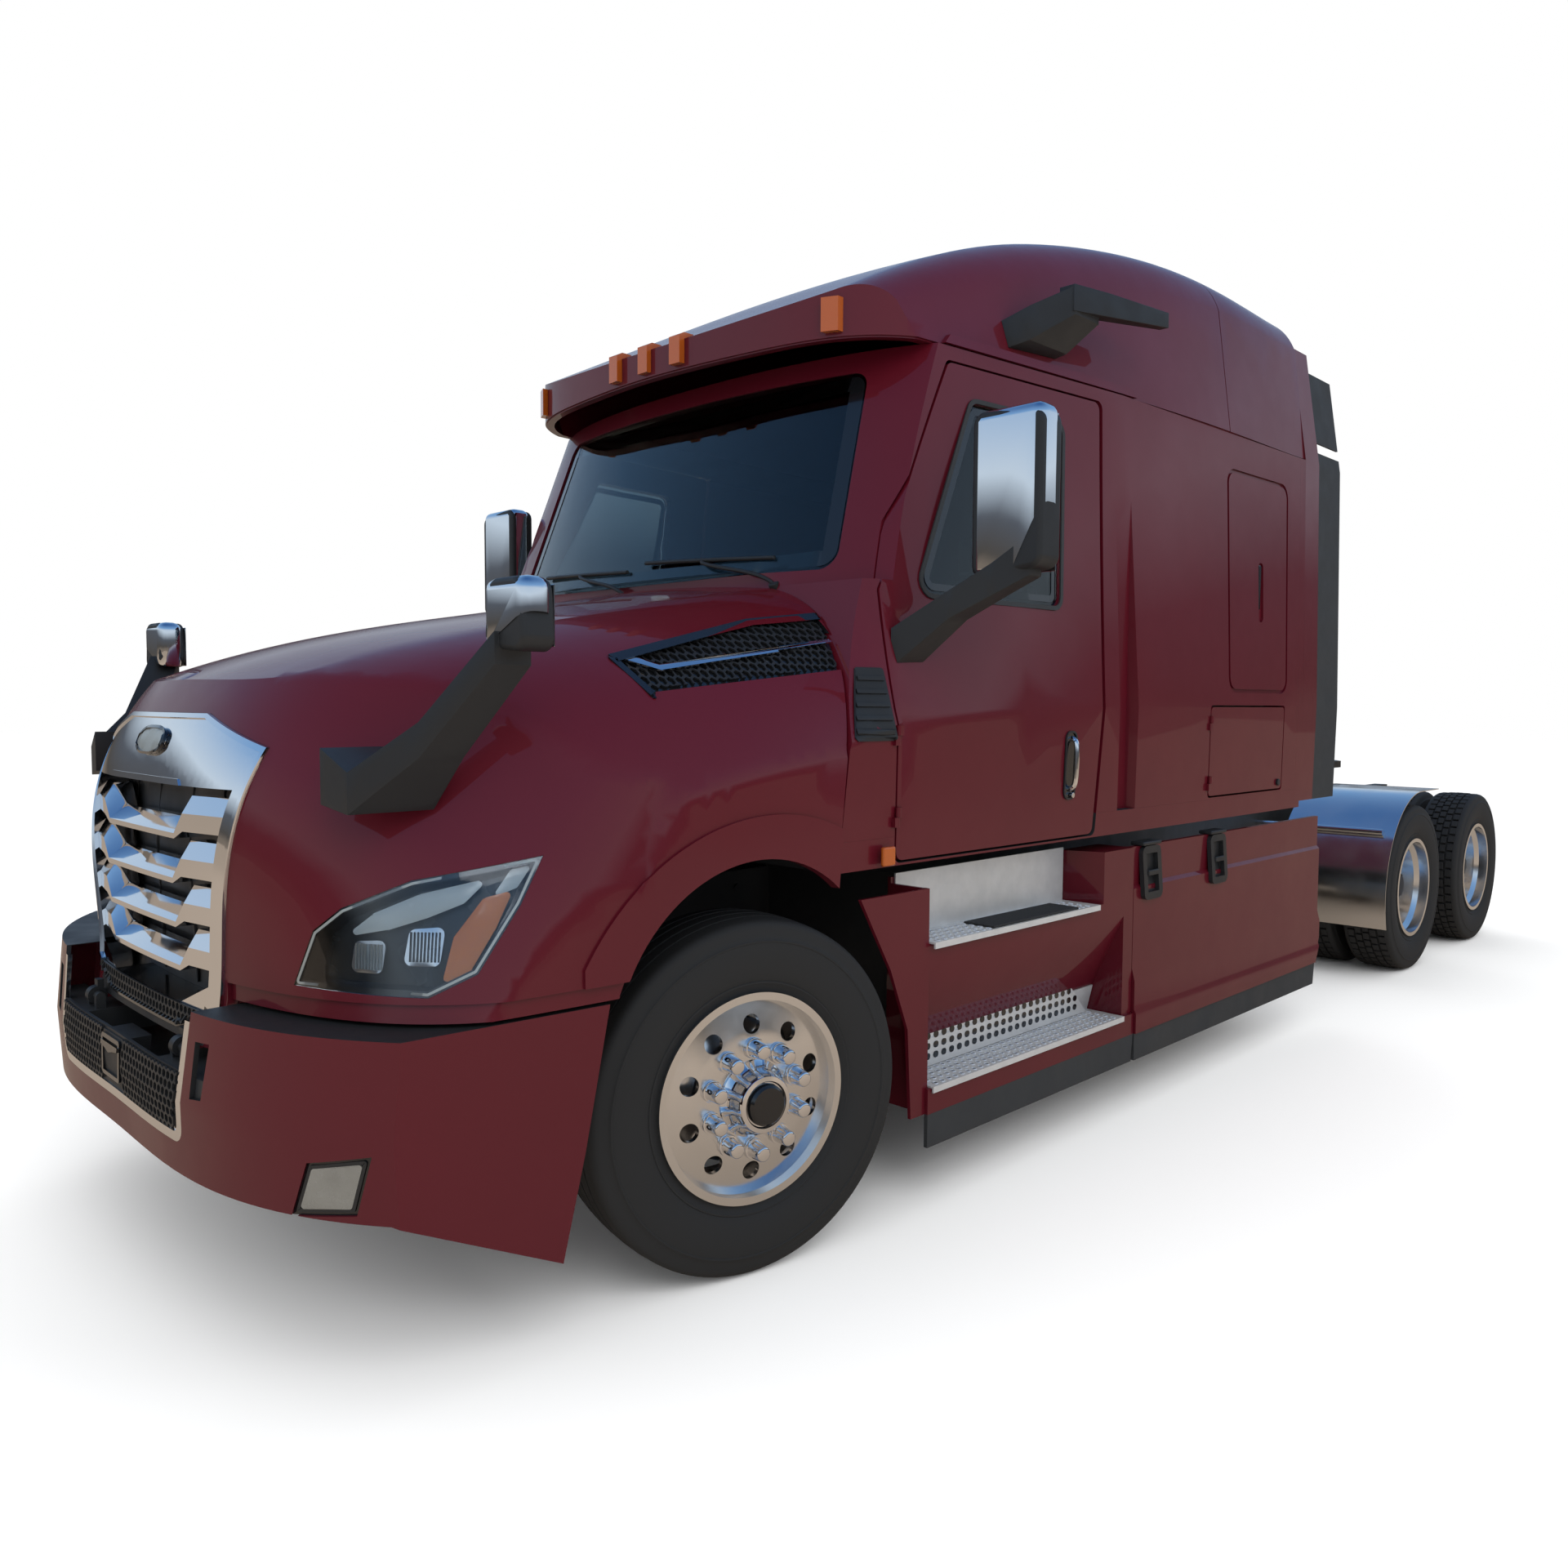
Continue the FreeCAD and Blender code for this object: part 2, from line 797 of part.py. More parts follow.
@lru_cache(maxsize=None)
def cab_side_form(inset):
    """The cab's sides alone, without its nose, inset by a wall."""
    return lofted_sections(cab_sections, cab_floor_z - 10, inset, smooth=False)


def layer(volume, outer, inner):
    """A sheet between two insets of a body form."""
    return volume(outer).cut(volume(inner))


# Body forms
hood_outer = hood_volume(0.0)
hood_shell = hood_outer.cut(hood_volume(hood_wall))
cab_outer = cab_volume(0.0)
cab_shell = cab_outer.cut(cab_volume(cab_wall))
roof_outer = roof_volume(0.0)
roof_shell = roof_outer.cut(roof_volume(roof_wall))


def door_outline(grow):
    """The side-view outline of a cab door, grown by a clearance all round."""
    return [
        (door_front_s - grow, door_low_z - grow),
        (door_rear_s + grow, door_low_z - grow),
        (door_rear_waist_s + grow, belt_z),
        (door_rear_top_s + grow, door_top_z + grow),
        (door_front_top_s - grow, door_top_z + grow),
        (door_front_s + panel_gap * 2 - grow, door_front_waist_z),
        (door_front_s - grow, belt_z),
    ]


def opening_outline():
    """The side-view outline of the hole that a cab door closes."""
    points = door_outline(panel_gap)
    rear = door_rear_gap - panel_gap
    return [points[0], (points[1][0] + rear, points[1][1]), (points[2][0] + rear, points[2][1]),
            (points[3][0] + rear, points[3][1])] + points[4:]


def window_outline(shrink):
    """The side-view outline of a door window, shrunk by a clearance."""
    return [
        (window_front_s + shrink, window_low_z + shrink),
        (window_rear_s - shrink, window_low_z + shrink),
        (window_rear_top_s - shrink, window_top_z - shrink),
        (window_front_top_s + shrink, window_top_z - shrink),
    ]


def screen_outline(shrink):
    """The front-view outline of the windscreen, shrunk by a clearance."""
    low = screen_low_x - shrink
    top = screen_top_x - shrink
    return [(-low, screen_low_z + shrink), (low, screen_low_z + shrink),
            (top, screen_top_z - shrink), (-top, screen_top_z - shrink)]


def luggage_outline(grow):
    """The side-view outline of a luggage door, grown by a clearance."""
    return [
        (luggage_front_s - grow, luggage_low_z - grow),
        (luggage_rear_s + grow, luggage_low_z - grow),
        (luggage_rear_s + grow, luggage_top_z + grow),
        (luggage_front_s - grow, luggage_top_z + grow),
    ]


def shield_outline(shrink):
    """The front-view outline of the grille shield, shrunk all round."""
    return [
        (-shield_low_x + shrink, shield_low_z + shrink),
        (-shield_low_x * shield_foot_share, shield_foot_z + shrink),
        (shield_low_x * shield_foot_share, shield_foot_z + shrink),
        (shield_low_x - shrink, shield_low_z + shrink),
        (shield_top_x - shrink, shield_top_z - shrink),
        (shield_top_x * shield_crown_share, shield_crown_z - shrink),
        (-shield_top_x * shield_crown_share, shield_crown_z - shrink),
        (-shield_top_x + shrink, shield_top_z - shrink),
    ]


def hinge_pins(x, station, low_z):
    """The fixed half of a hinge: a pin on a foot that reaches forward into the jamb."""
    foot = block(x - hinge_foot_inner, x + hinge_foot_outer, station - hinge_foot_length, station,
                 low_z, low_z + hinge_foot_height)
    pin = rod(x, station, low_z, (0, 0, 1), hinge_pin_radius, 2 * hinge_foot_height + 2)
    return fused(foot, pin)


def hinge_eye(x, station, low_z):
    """The moving half of a hinge: an eye that turns on the pin above its foot."""
    base_z = low_z + hinge_foot_height + running_gap
    eye = rod(x, station, base_z, (0, 0, 1), hinge_eye_radius, hinge_foot_height)
    arm = block(x - hinge_foot_inner, x + hinge_eye_radius * 0.5, station + 1, station + hinge_foot_length,
                base_z, base_z + hinge_foot_height)
    bore = rod(x, station, base_z - 1, (0, 0, 1), hinge_pin_radius + running_gap, hinge_foot_height + 2)
    return fused(eye, arm).cut(bore)


def hinge_room(x, station, low_z):
    """The room that a hinge eye needs in the fixed wall beside it."""
    return rod(x, station, low_z + hinge_foot_height, (0, 0, 1), hinge_eye_radius + 1,
               hinge_foot_height + 2 * running_gap)


def cab_doors():
    """Both doors with their window holes, and the glass seated in them."""
    leaf = cab_outer.common(slab_x(door_outline(0.0), door_inner_x, body_reach, door_corner))
    leaf = leaf.cut(cab_side_form(door_wall))
    leaf = leaf.cut(slab_x(window_outline(0.0), door_inner_x, body_reach, window_corner))
    eyes = [hinge_eye(door_hinge_x, door_hinge_s, z) for z in door_hinge_z]
    rooms = [rod(door_hinge_x, door_hinge_s, z - 1, (0, 0, 1), hinge_pin_radius + 1,
                 3 * hinge_foot_height) for z in door_hinge_z]
    leaf = fused(leaf.cut(Part.makeCompound(rooms)), *eyes)
    save("door_left", [leaf])
    save("door_right", [mirrored(leaf)])
    pane = cab_side_form(glass_inset).cut(cab_side_form(glass_inset + glass_thickness))
    pane = pane.common(slab_x(window_outline(seat_gap), door_inner_x, body_reach, window_corner))
    save("door_glass_left", [pane])
    save("door_glass_right", [mirrored(pane)])


def cab_body():
    """The fixed walls of the cab, parted where the real panels meet."""
    shell = cab_shell
    hole = slab_x(opening_outline(), door_inner_x, body_reach, door_corner).cut(cab_side_form(cab_wall))
    shell = shell.cut(hole).cut(mirrored(hole))
    sleeper_cut = slab_x(luggage_outline(panel_gap), door_inner_x, body_reach, luggage_corner)
    shell = shell.cut(sleeper_cut).cut(mirrored(sleeper_cut))
    screen_hole = slab_y(screen_outline(0.0), 0, screen_cut_s, screen_corner)
    shell = shell.cut(screen_hole)
    inner_rear = cab_rear_s - cab_wall
    front = block(-body_reach, body_reach, far_front_s, split_s - seat_gap, 0, roof_top_z)
    rear = block(-body_reach, body_reach, split_s, inner_rear - seat_gap, 0, roof_top_z)
    back = block(-body_reach, body_reach, inner_rear, cab_rear_s + 10, 0, roof_top_z)
    low = block(-body_reach, body_reach, far_front_s, cab_rear_s + 10, 0, cab_floor_z + floor_thickness)
    above = block(-body_reach, body_reach, far_front_s, cab_rear_s + 10,
                  cab_floor_z + floor_thickness + seat_gap, roof_top_z)
    front = shell.common(front).common(above)
    rear = shell.common(rear).common(above)
    for z in door_hinge_z:
        room = hinge_room(door_hinge_x, door_hinge_s, z)
        pins = hinge_pins(door_hinge_x, door_hinge_s, z)
        front = front.cut(room).cut(mirrored(room)).fuse([pins, mirrored(pins)])
    for pressing in side_pressings():
        rear = rear.cut(pressing).cut(mirrored(pressing))
    for z in luggage_hinge_z:
        room = hinge_room(luggage_hinge_x, luggage_hinge_s, z)
        pins = hinge_pins(luggage_hinge_x, luggage_hinge_s, z)
        rear = rear.cut(room).cut(mirrored(room)).fuse([pins, mirrored(pins)])
    save("cab_front", [front.removeSplitter()])
    save("sleeper_sides", [rear.removeSplitter()])
    save("cab_rear_wall", [shell.common(back).common(above)])
    floor = cab_volume(0.0).common(low)
    floor = floor.cut(slab_x(opening_outline(), door_sill_x, body_reach, door_corner))
    floor = floor.cut(mirrored(slab_x(opening_outline(), door_sill_x, body_reach, door_corner)))
    save("cab_floor", [floor])
    pane = layer(cab_volume, glass_inset, glass_inset + glass_thickness)
    pane = pane.common(slab_y(screen_outline(seat_gap), 0, screen_cut_s, screen_corner))
    save("windscreen", [pane])


def side_pressings():
    """The pillar channel and the locker lid's outline that are pressed into one sleeper side."""
    channel = slab_z([(channel_mouth_x, channel_front_s), (channel_mouth_x, channel_rear_s),
                      (channel_floor_x, channel_rear_s - channel_slope),
                      (channel_floor_x, channel_front_s + channel_slope)], channel_low_z, channel_top_z)
    skin = cab_side_form(-1.0).cut(cab_side_form(locker_groove_depth))
    lid = rounded_box(locker_front_s, locker_rear_s, locker_low_z, locker_top_z, 0.0, locker_corner)
    inner = rounded_box(locker_front_s, locker_rear_s, locker_low_z, locker_top_z, locker_groove,
                        locker_corner - locker_groove)
    slot = rounded_box(slot_front_s, slot_rear_s, slot_low_z, slot_top_z, 0.0, slot_corner)
    return [channel, skin.common(lid.cut(inner)), skin.common(slot)]


def rounded_box(s0, s1, z0, z1, shrink, corner):
    """A side-view rectangle with rounded corners, shrunk all round, through one side."""
    return slab_x([(s0 + shrink, z0 + shrink), (s1 - shrink, z0 + shrink), (s1 - shrink, z1 - shrink),
                   (s0 + shrink, z1 - shrink)], door_inner_x, body_reach, corner)


def luggage_doors():
    """The two luggage doors flush in the sleeper sides."""
    skin = cab_outer.cut(cab_volume(luggage_wall))
    leaf = skin.common(slab_x(luggage_outline(0.0), door_inner_x, body_reach, luggage_corner))
    eyes = [hinge_eye(luggage_hinge_x, luggage_hinge_s, z) for z in luggage_hinge_z]
    rooms = [rod(luggage_hinge_x, luggage_hinge_s, z - 1, (0, 0, 1), hinge_pin_radius + 1,
                 3 * hinge_foot_height) for z in luggage_hinge_z]
    leaf = fused(leaf.cut(Part.makeCompound(rooms)), *eyes)
    save("luggage_door_left", [leaf])
    save("luggage_door_right", [mirrored(leaf)])


def roof():
    """The roof cap with the visor, its joint lines and the rails over the doors."""
    groove = layer(roof_volume, -1.0, joint_depth)
    across = block(-body_reach, body_reach, roof_joint_s, roof_joint_s + joint_width,
                   roof_seam_z, roof_top_z)
    around = block(-body_reach, body_reach, far_front_s, cab_rear_s + 10,
                   roof_seam_z, roof_seam_z + joint_width)
    cap = roof_shell.cut(groove.common(across)).cut(groove.common(around))
    rail_z = roof_seam_z + joint_width
    rail = layer(roof_volume, -rail_proud, roof_wall / 2)
    rail = rail.common(slab_x([(drip_front_s, rail_z), (drip_rear_s, rail_z),
                               (drip_rear_s - drip_height, rail_z + drip_height),
                               (drip_front_s + drip_height, rail_z + drip_height)], 0, body_reach))
    save("roof_cap", [fused(cap, rail, mirrored(rail))])
    stem = blade_x(camera_stem).fuse(blade_s(camera_blade)).removeSplitter()
    stem = stem.cut(roof_volume(-seat_gap))
    stem = max(stem.Solids, key=lambda solid: solid.Volume).cut(rail_room())
    save("camera_arms", pair(max(stem.Solids, key=lambda solid: solid.Volume)))


def rail_room():
    """The room that a camera arm leaves for the rail under it."""
    return block(0, body_reach, drip_front_s, drip_rear_s,
                 0, roof_seam_z + joint_width + drip_height + seat_gap)


def hood():
    """The hood shell with its wheel arches and grille hole."""
    shell = hood_shell
    arch = Part.Wire([
        Part.Arc(V(0, at(arch_front_s), arch_front_z), V(0, at(arch_top_s), arch_top_z),
                 V(0, at(arch_rear_s), arch_rear_z)).toShape(),
        Part.LineSegment(V(0, at(arch_rear_s), arch_rear_z), V(0, at(arch_cut_s), arch_rear_z)).toShape(),
        Part.LineSegment(V(0, at(arch_cut_s), arch_rear_z), V(0, at(arch_cut_s), 0)).toShape(),
        Part.LineSegment(V(0, at(arch_cut_s), 0), V(0, at(bumper_end_low_s), 0)).toShape(),
        Part.LineSegment(V(0, at(bumper_end_low_s), 0), V(0, at(arch_front_s), arch_front_z)).toShape(),
    ])
    arch = Part.Face(arch)
    arch.translate(V(-body_reach, 0, 0))
    arch = arch.extrude(V(2 * body_reach, 0, 0))
    lip = Part.Wire([
        Part.Arc(V(0, at(arch_lip_front_s), arch_lip_front_z), V(0, at(arch_top_s), arch_lip_top_z),
                 V(0, at(arch_cut_s), arch_lip_rear_z)).toShape(),
        Part.LineSegment(V(0, at(arch_cut_s), arch_lip_rear_z), V(0, at(arch_cut_s), 0)).toShape(),
        Part.LineSegment(V(0, at(arch_cut_s), 0), V(0, at(arch_lip_front_s), 0)).toShape(),
        Part.LineSegment(V(0, at(arch_lip_front_s), 0),
                         V(0, at(arch_lip_front_s), arch_lip_front_z)).toShape(),
    ])
    lip = Part.Face(lip)
    lip.translate(V(-body_reach, 0, 0))
    lip = layer(hood_volume, -arch_lip_proud, hood_wall / 2).common(lip.extrude(V(2 * body_reach, 0, 0)))
    lip = lip.common(ahead_of_gap(-panel_gap / 2))
    lip = lip.common(block(-body_reach, body_reach, arch_lip_front_s, gap_top_s, hood_strip_z, roof_top_z))
    shell = shell.fuse(lip).cut(arch)
    strip = layer(hood_volume, -arch_lip_proud, hood_strip_depth)
    strip = strip.common(block(-body_reach, body_reach, far_front_s, gap_top_s, 0, hood_strip_z))
    sides = block(-hood_edge_step_x, hood_edge_step_x, far_front_s, gap_top_s, 0, hood_strip_z)
    shell = shell.cut(strip.cut(sides))
    vent = layer(hood_volume, -1.0, vent_depth).common(slab_x(vent_corners, vent_inner_x, body_reach))
    shell = shell.cut(vent).cut(mirrored(vent))
    low_edge = [
        (-body_reach, 0), (body_reach, 0),
        (body_reach, hood_edge_side_z), (hood_edge_step_x, hood_edge_side_z),
        (hood_edge_front_x, hood_edge_front_z), (-hood_edge_front_x, hood_edge_front_z),
        (-hood_edge_step_x, hood_edge_side_z), (-body_reach, hood_edge_side_z),
    ]
    shell = shell.cut(slab_y(low_edge, far_front_s, arch_front_s))
    shell = shell.cut(slab_y(shield_outline(-seat_gap), far_front_s, nose_cut_s))
    lamp_hole = lamp_prism(-seat_gap)
    shell = shell.cut(lamp_hole).cut(mirrored(lamp_hole))
    reach = hood_lug_half + hood_cheek_gap + hood_cheek + panel_gap
    for x in (hood_lug_x, -hood_lug_x):
        around = pin_bar(x, hood_pin_clearance, reach)
        lug = pin_bar(x, hood_lug_radius, hood_lug_half)
        bore = pin_bar(x, hood_pin_radius + running_gap, reach)
        web = block(x - hood_lug_half, x + hood_lug_half, hood_hinge_s,
                    hood_hinge_s + hood_wall - hood_web_inset, hood_hinge_z, hood_hinge_z + hood_web_height)
        shell = fused(shell.cut(around), lug, web).cut(bore)
    save("hood_shell", [shell])


def pin_bar(x, radius, half):
    """A round bar about the hood's pin, reaching the same way to both sides of x."""
    return rod(x - half, hood_hinge_s, hood_hinge_z, (1, 0, 0), radius, 2 * half)


def lamp_prism(shrink):
    """A block through the headlamp on the left corner, aimed half outwards."""
    far = 700.0
    start = 1050.0
    turn = math.sqrt(0.5)
    corners = []
    for along, z in lamp_corners:
        base = V(start * turn + along * turn, 0, z)
        corners.append(V(base.x, at(-start * turn + along * turn), z))
    wire = Part.makePolygon(corners + [corners[0]])
    if shrink:
        wire = wire.makeOffset2D(-shrink)
    return Part.Face(wire).extrude(V(far * turn, -far * turn, 0))


def grille():
    """The shield frame, its gull-wing bars and the dark panel behind them."""
    front = hood_volume(-shield_proud)
    ring = front.cut(hood_volume(shield_depth))
    step = layer(hood_volume, -shield_proud - 1, shield_step - shield_proud)
    ring = ring.common(slab_y(shield_outline(0.0), far_front_s, nose_cut_s))
    ring = ring.cut(step.common(slab_y(shield_outline(shield_lip), far_front_s, nose_cut_s)))
    opening = shield_outline(shield_rim)
    opening = [(x, min(z, shield_panel_z)) for x, z in opening]
    opening = opening[:4] + [opening[4], opening[7]]
    hole = slab_y(opening, far_front_s, nose_cut_s)
    ring = ring.cut(hole)
    face = layer(hood_volume, -badge_proud, shield_depth / 2)
    pad = Part.Wire(Part.Ellipse(V(0, at(far_front_s), badge_z), badge_half_x, badge_half_z).toShape())
    pad.rotate(V(0, at(far_front_s), badge_z), V(1, 0, 0), 90)
    pad = Part.Face(pad).extrude(V(0, nose_cut_s - far_front_s, 0))
    brow = slab_y([(-brow_half_x, shield_panel_z), (brow_half_x, shield_panel_z),
                   (brow_half_x - brow_height, shield_panel_z + brow_height),
                   (brow_height - brow_half_x, shield_panel_z + brow_height)], far_front_s, nose_cut_s)
    save("grille_surround", [fused(ring, face.common(pad), face.common(brow))])
    back = layer(hood_volume, shield_depth - grille_back_wall, shield_depth)
    inner = slab_y([(x, z) for x, z in shrunk(opening, seat_gap)], far_front_s, nose_cut_s)
    save("grille_back", [back.common(inner)])
    clear_z = shield_low_z + shield_rim
    pitch = (shield_panel_z - clear_z) / (grille_bar_count + bar_margin)
    bars = []
    for index in range(grille_bar_count):
        z = clear_z + pitch * (index + bar_margin) - bracket_low
        blade = Part.makeLoft([bar_wire(x, z, False) for x in (-gull_knee_x, 0.0, gull_knee_x)], True, False)
        wing = Part.makeLoft([bar_wire(gull_knee_x, z, False), bar_wire(gull_x, z, True)], True, True)
        tip = Part.makeLoft([bar_wire(gull_x, z, True), bar_wire(shield_top_x, z, True)], True, True)
        bar = fused(blade, wing, tip, mirrored(wing), mirrored(tip))
        bars.append(bar.common(inner))
    save("grille_bars", bars)


def nose_y(x, z):
    """The Y of the grille's front face at a place across the nose."""
    ray = Part.makeLine(V(x, at(far_front_s), z), V(x, at(nose_cut_s), z))
    return min(vertex.Y for vertex in ray.common(hood_volume(0.0)).Vertexes)


def bar_wire(x, z, raised):
    """One upright section of a grille bar, low in the middle and raised at its ends."""
    y = nose_y(x, z + blade_rise)
    back = y + grille_bar_depth
    if raised:
        points = [V(x, y, z + bracket_low), V(x, y, z + bracket_low + bracket_nose),
                  V(x, y + bracket_set_back, z + bracket_rise), V(x, back, z + bracket_rise),
                  V(x, back, z + bracket_low)]
    else:
        points = [V(x, y, z), V(x, y, z + blade_nose), V(x, back - bracket_set_back, z + blade_rise),
                  V(x, back, z + blade_rise), V(x, back, z)]
    return Part.makePolygon(points + [points[0]])


def shrunk(points, gap):
    """A polygon with every corner drawn towards its middle by a gap."""
    low = min(z for x, z in points)
    high = max(z for x, z in points)
    moved = []
    for x, z in points:
        z = z + gap if z < (low + high) / 2 else z - gap
        x = x - gap if x > 0 else x + gap
        moved.append((x, z))
    return moved


def headlamps():
    """Lamp bowls in the hood corners, each behind a flush lens."""
    body = layer(hood_volume, lens_wall + seat_gap, lamp_depth)
    bowl = body.common(lamp_prism(0.0))
    hollow = hood_volume(0.0).cut(hood_volume(lamp_depth - lamp_wall)).common(lamp_prism(lamp_rim))
    bowl = bowl.cut(hollow)
    save("headlamps", pair(bowl))
    lens = hood_outer.cut(hood_volume(lens_wall)).common(lamp_prism(0.0))
    save("headlamp_lenses", pair(lens))


@lru_cache(maxsize=None)
def bumper_volume(inset):
    """The closed form of the bumper with a crease at each corner."""
    def plan(z, lean):
        side = V(bumper_side_x - inset, at(bumper_open_s), z)
        corner = V(bumper_corner_x - inset, at(bumper_corner_s + lean + inset * 0.5), z)
        knee_s = bumper_centre_s + bumper_knee_sweep + lean + inset
        knee = V(bumper_corner_x * bumper_knee_share, at(knee_s), z)
        centre = V(0, at(bumper_centre_s + lean + inset), z)

        def across(point):
            return V(-point.x, point.y, point.z)
        nose = Part.BSplineCurve()
        nose.interpolate([corner, knee, centre, across(knee), across(corner)])
        return Part.Wire([
            nose.toShape(),
            Part.LineSegment(across(corner), across(side)).toShape(),
            Part.LineSegment(across(side), side).toShape(),
            Part.LineSegment(side, corner).toShape(),
        ])
    levels = [plan(bumper_low_rear_z - 20 + inset, bumper_lean), plan(bumper_waist_z, 0.0),
              plan(hood_edge_side_z - inset, bumper_lean * 0.8)]
    return Part.makeLoft(levels, True, True)


def bumper():
    """The bumper skin, trimmed to the wheel opening and the grille's foot."""
    skin = bumper_volume(0.0).cut(bumper_volume(bumper_wall))
    side_trim = [
        (far_front_s, bumper_low_front_z), (bumper_corner_s, bumper_low_front_z),
        (bumper_end_low_s, bumper_low_rear_z), (bumper_end_mid_s, axle_z),
        (bumper_end_top_s, bumper_top_side_z + 60), (far_front_s, bumper_top_side_z + 60),
    ]
    skin = skin.common(slab_x(side_trim, -body_reach, body_reach))
    skin = skin.common(block(-body_reach, body_reach, far_front_s, 0, 0, bumper_top_side_z))
    skin = skin.cut(border_prism(0.0))
    slot = slab_y(tow_slot, far_front_s, 0)
    fog_hole = fog_prism(0.0)
    skin = skin.cut(slot).cut(mirrored(slot)).cut(fog_hole).cut(mirrored(fog_hole))
    save("bumper", [skin])
    frame_ring = bumper_volume(0.0).cut(bumper_volume(border_depth))
    below = block(-body_reach, body_reach, far_front_s, 0, 0, bumper_top_side_z - border_width)
    frame_ring = frame_ring.common(border_prism(seat_gap)).cut(border_prism(border_width)).common(below)
    sheet = bumper_volume(mesh_inset).cut(bumper_volume(mesh_inset + mesh_wall))
    sheet = sheet.common(border_prism(border_width + seat_gap))
    sheet = sheet.common(block(-body_reach, body_reach, far_front_s, 0, 0, mesh_top_z))
    sensor = block(-sensor_half, sensor_half, far_front_s, 0, sensor_low_z, sensor_top_z)
    grown = block(-sensor_half - seat_gap, sensor_half + seat_gap, far_front_s, 0,
                  sensor_low_z - seat_gap, sensor_top_z + seat_gap)
    sensor = sensor.common(bumper_volume(0.0)).cut(bumper_volume(sensor_depth))
    save("bumper_grille", [sheet.cut(grown), frame_ring, sensor])


def border_prism(shrink):
    """A block through the bumper inside the U-shaped border of its grille."""
    low = border_low_x - shrink
    top = border_top_x - shrink
    return slab_y([(-low, border_low_z + shrink), (low, border_low_z + shrink),
                   (top, hood_strip_z), (-top, hood_strip_z)], far_front_s, 0,
                  border_corner - min(shrink, border_corner / 2))


def fog_prism(shrink):
    """A block through the left fog lamp, aimed half outwards."""
    far = 500.0
    start = 1250.0
    turn = math.sqrt(0.5)
    corners = []
    for along, z in fog_corners:
        corners.append(V(start * turn + along * turn, at(-start * turn + along * turn), z))
    wire = Part.makePolygon(corners + [corners[0]])
    if shrink:
        wire = wire.makeOffset2D(-shrink)
    return Part.Face(wire).extrude(V(far * turn, -far * turn, 0))


def tyre_ring(centre_x, station):
    """One tyre about the axle height, its tread lightly crowned."""
    half = tyre_width / 2
    bead_x = half - bead_inset
    side_r = (bead_radius + tyre_radius) / 2
    shoulder_r = tyre_radius - shoulder_radius
    tread_x = half - shoulder_radius

    def point(along, radius):
        return V(centre_x + along, at(station), axle_z + radius)

    def side(sign):
        flank = Part.Arc(point(sign * bead_x, rim_flange_radius + seat_gap), point(sign * half, side_r),
                         point(sign * (half - sidewall_step), shoulder_r))
        edge = Part.Arc(point(sign * (half - sidewall_step), shoulder_r),
                        point(sign * (half - shoulder_step), tyre_radius - shoulder_step),
                        point(sign * tread_x, tyre_radius - tread_crown))
        bead = Part.LineSegment(point(sign * bead_x, bead_radius + seat_gap),
                                point(sign * bead_x, rim_flange_radius + seat_gap))
        return [bead.toShape(), flank.toShape(), edge.toShape()]

    tread = Part.Arc(point(tread_x, tyre_radius - tread_crown), point(0, tyre_radius),
                     point(-tread_x, tyre_radius - tread_crown))
    base = Part.LineSegment(point(-bead_x, bead_radius + seat_gap), point(bead_x, bead_radius + seat_gap))
    edges = Part.__sortEdges__(side(1) + [tread.toShape()] + side(-1) + [base.toShape()])
    face = Part.Face(Part.Wire(edges))
    return face.revolve(V(centre_x, at(station), axle_z), V(1, 0, 0), 360)


def rim_barrel(centre_x, station):
    """The drop-centre barrel that carries one tyre."""
    bead_x = tyre_width / 2 - bead_inset
    lip_x = bead_x + rim_flange_thickness
    flange_x = bead_x + seat_gap
    seat_x = bead_x - bead_seat_width
    well_x = seat_x - well_slope
    under_r = bead_radius - rim_wall
    under_x = seat_x + rim_wall - 2
    under_well_x = well_x + rim_wall - 2
    half = [(lip_x, rim_flange_radius), (flange_x, rim_flange_radius), (flange_x, bead_radius),
            (seat_x, bead_radius), (well_x, rim_well_radius)]
    under = [(under_well_x, rim_well_radius - rim_wall), (under_x, under_r), (lip_x, under_r)]
    left = [(-x, radius) for x, radius in half]
    under_left = [(-x, radius) for x, radius in reversed(under)]
    return turned(left + half[::-1] + under[::-1] + under_left[::-1], centre_x, station, axle_z)


def wheel_disc(face_x, station, dish, outer_r):
    """A wheel disc with its ring of hand holes, dished towards the barrel."""
    profile = [
        (0, hub_radius - stud_face_width), (0, hand_hole_circle - disc_slope_start), (dish, outer_r),
        (dish + disc_thickness, outer_r), (disc_thickness, hand_hole_circle - disc_slope_start),
        (disc_thickness, hub_radius - stud_face_width),
    ]
    disc = turned(profile, face_x, station, axle_z)
    holes = []
    for index in range(hand_holes):
        turn = 2 * math.pi * (index + 0.5) / hand_holes
        y = at(station) + hand_hole_circle * math.cos(turn)
        z = axle_z + hand_hole_circle * math.sin(turn)
        holes.append(Part.makeCylinder(hand_hole_radius, 160, V(face_x - 80, y, z), V(1, 0, 0)))
    return disc.cut(Part.makeCompound(holes))


def hub_and_drum(inner_x, flange_x, outer_x, station):
    """A hub with its brake drum, bored to run on a spindle."""
    bore = spindle_radius + running_gap
    profile = [
        (inner_x, bore), (inner_x, drum_radius), (inner_x + drum_depth, drum_radius),
        (inner_x + drum_depth + hub_cap, hub_radius + hub_flange), (flange_x, hub_radius + hub_flange),
        (flange_x, hub_radius - hub_waist), (outer_x - hub_nose, hub_radius - hub_waist - 5),
        (outer_x, hub_radius - hub_flange), (outer_x, 0), (outer_x - hub_cap, 0), (outer_x - hub_cap, bore),
    ]
    return turned(profile, 0, station, axle_z)


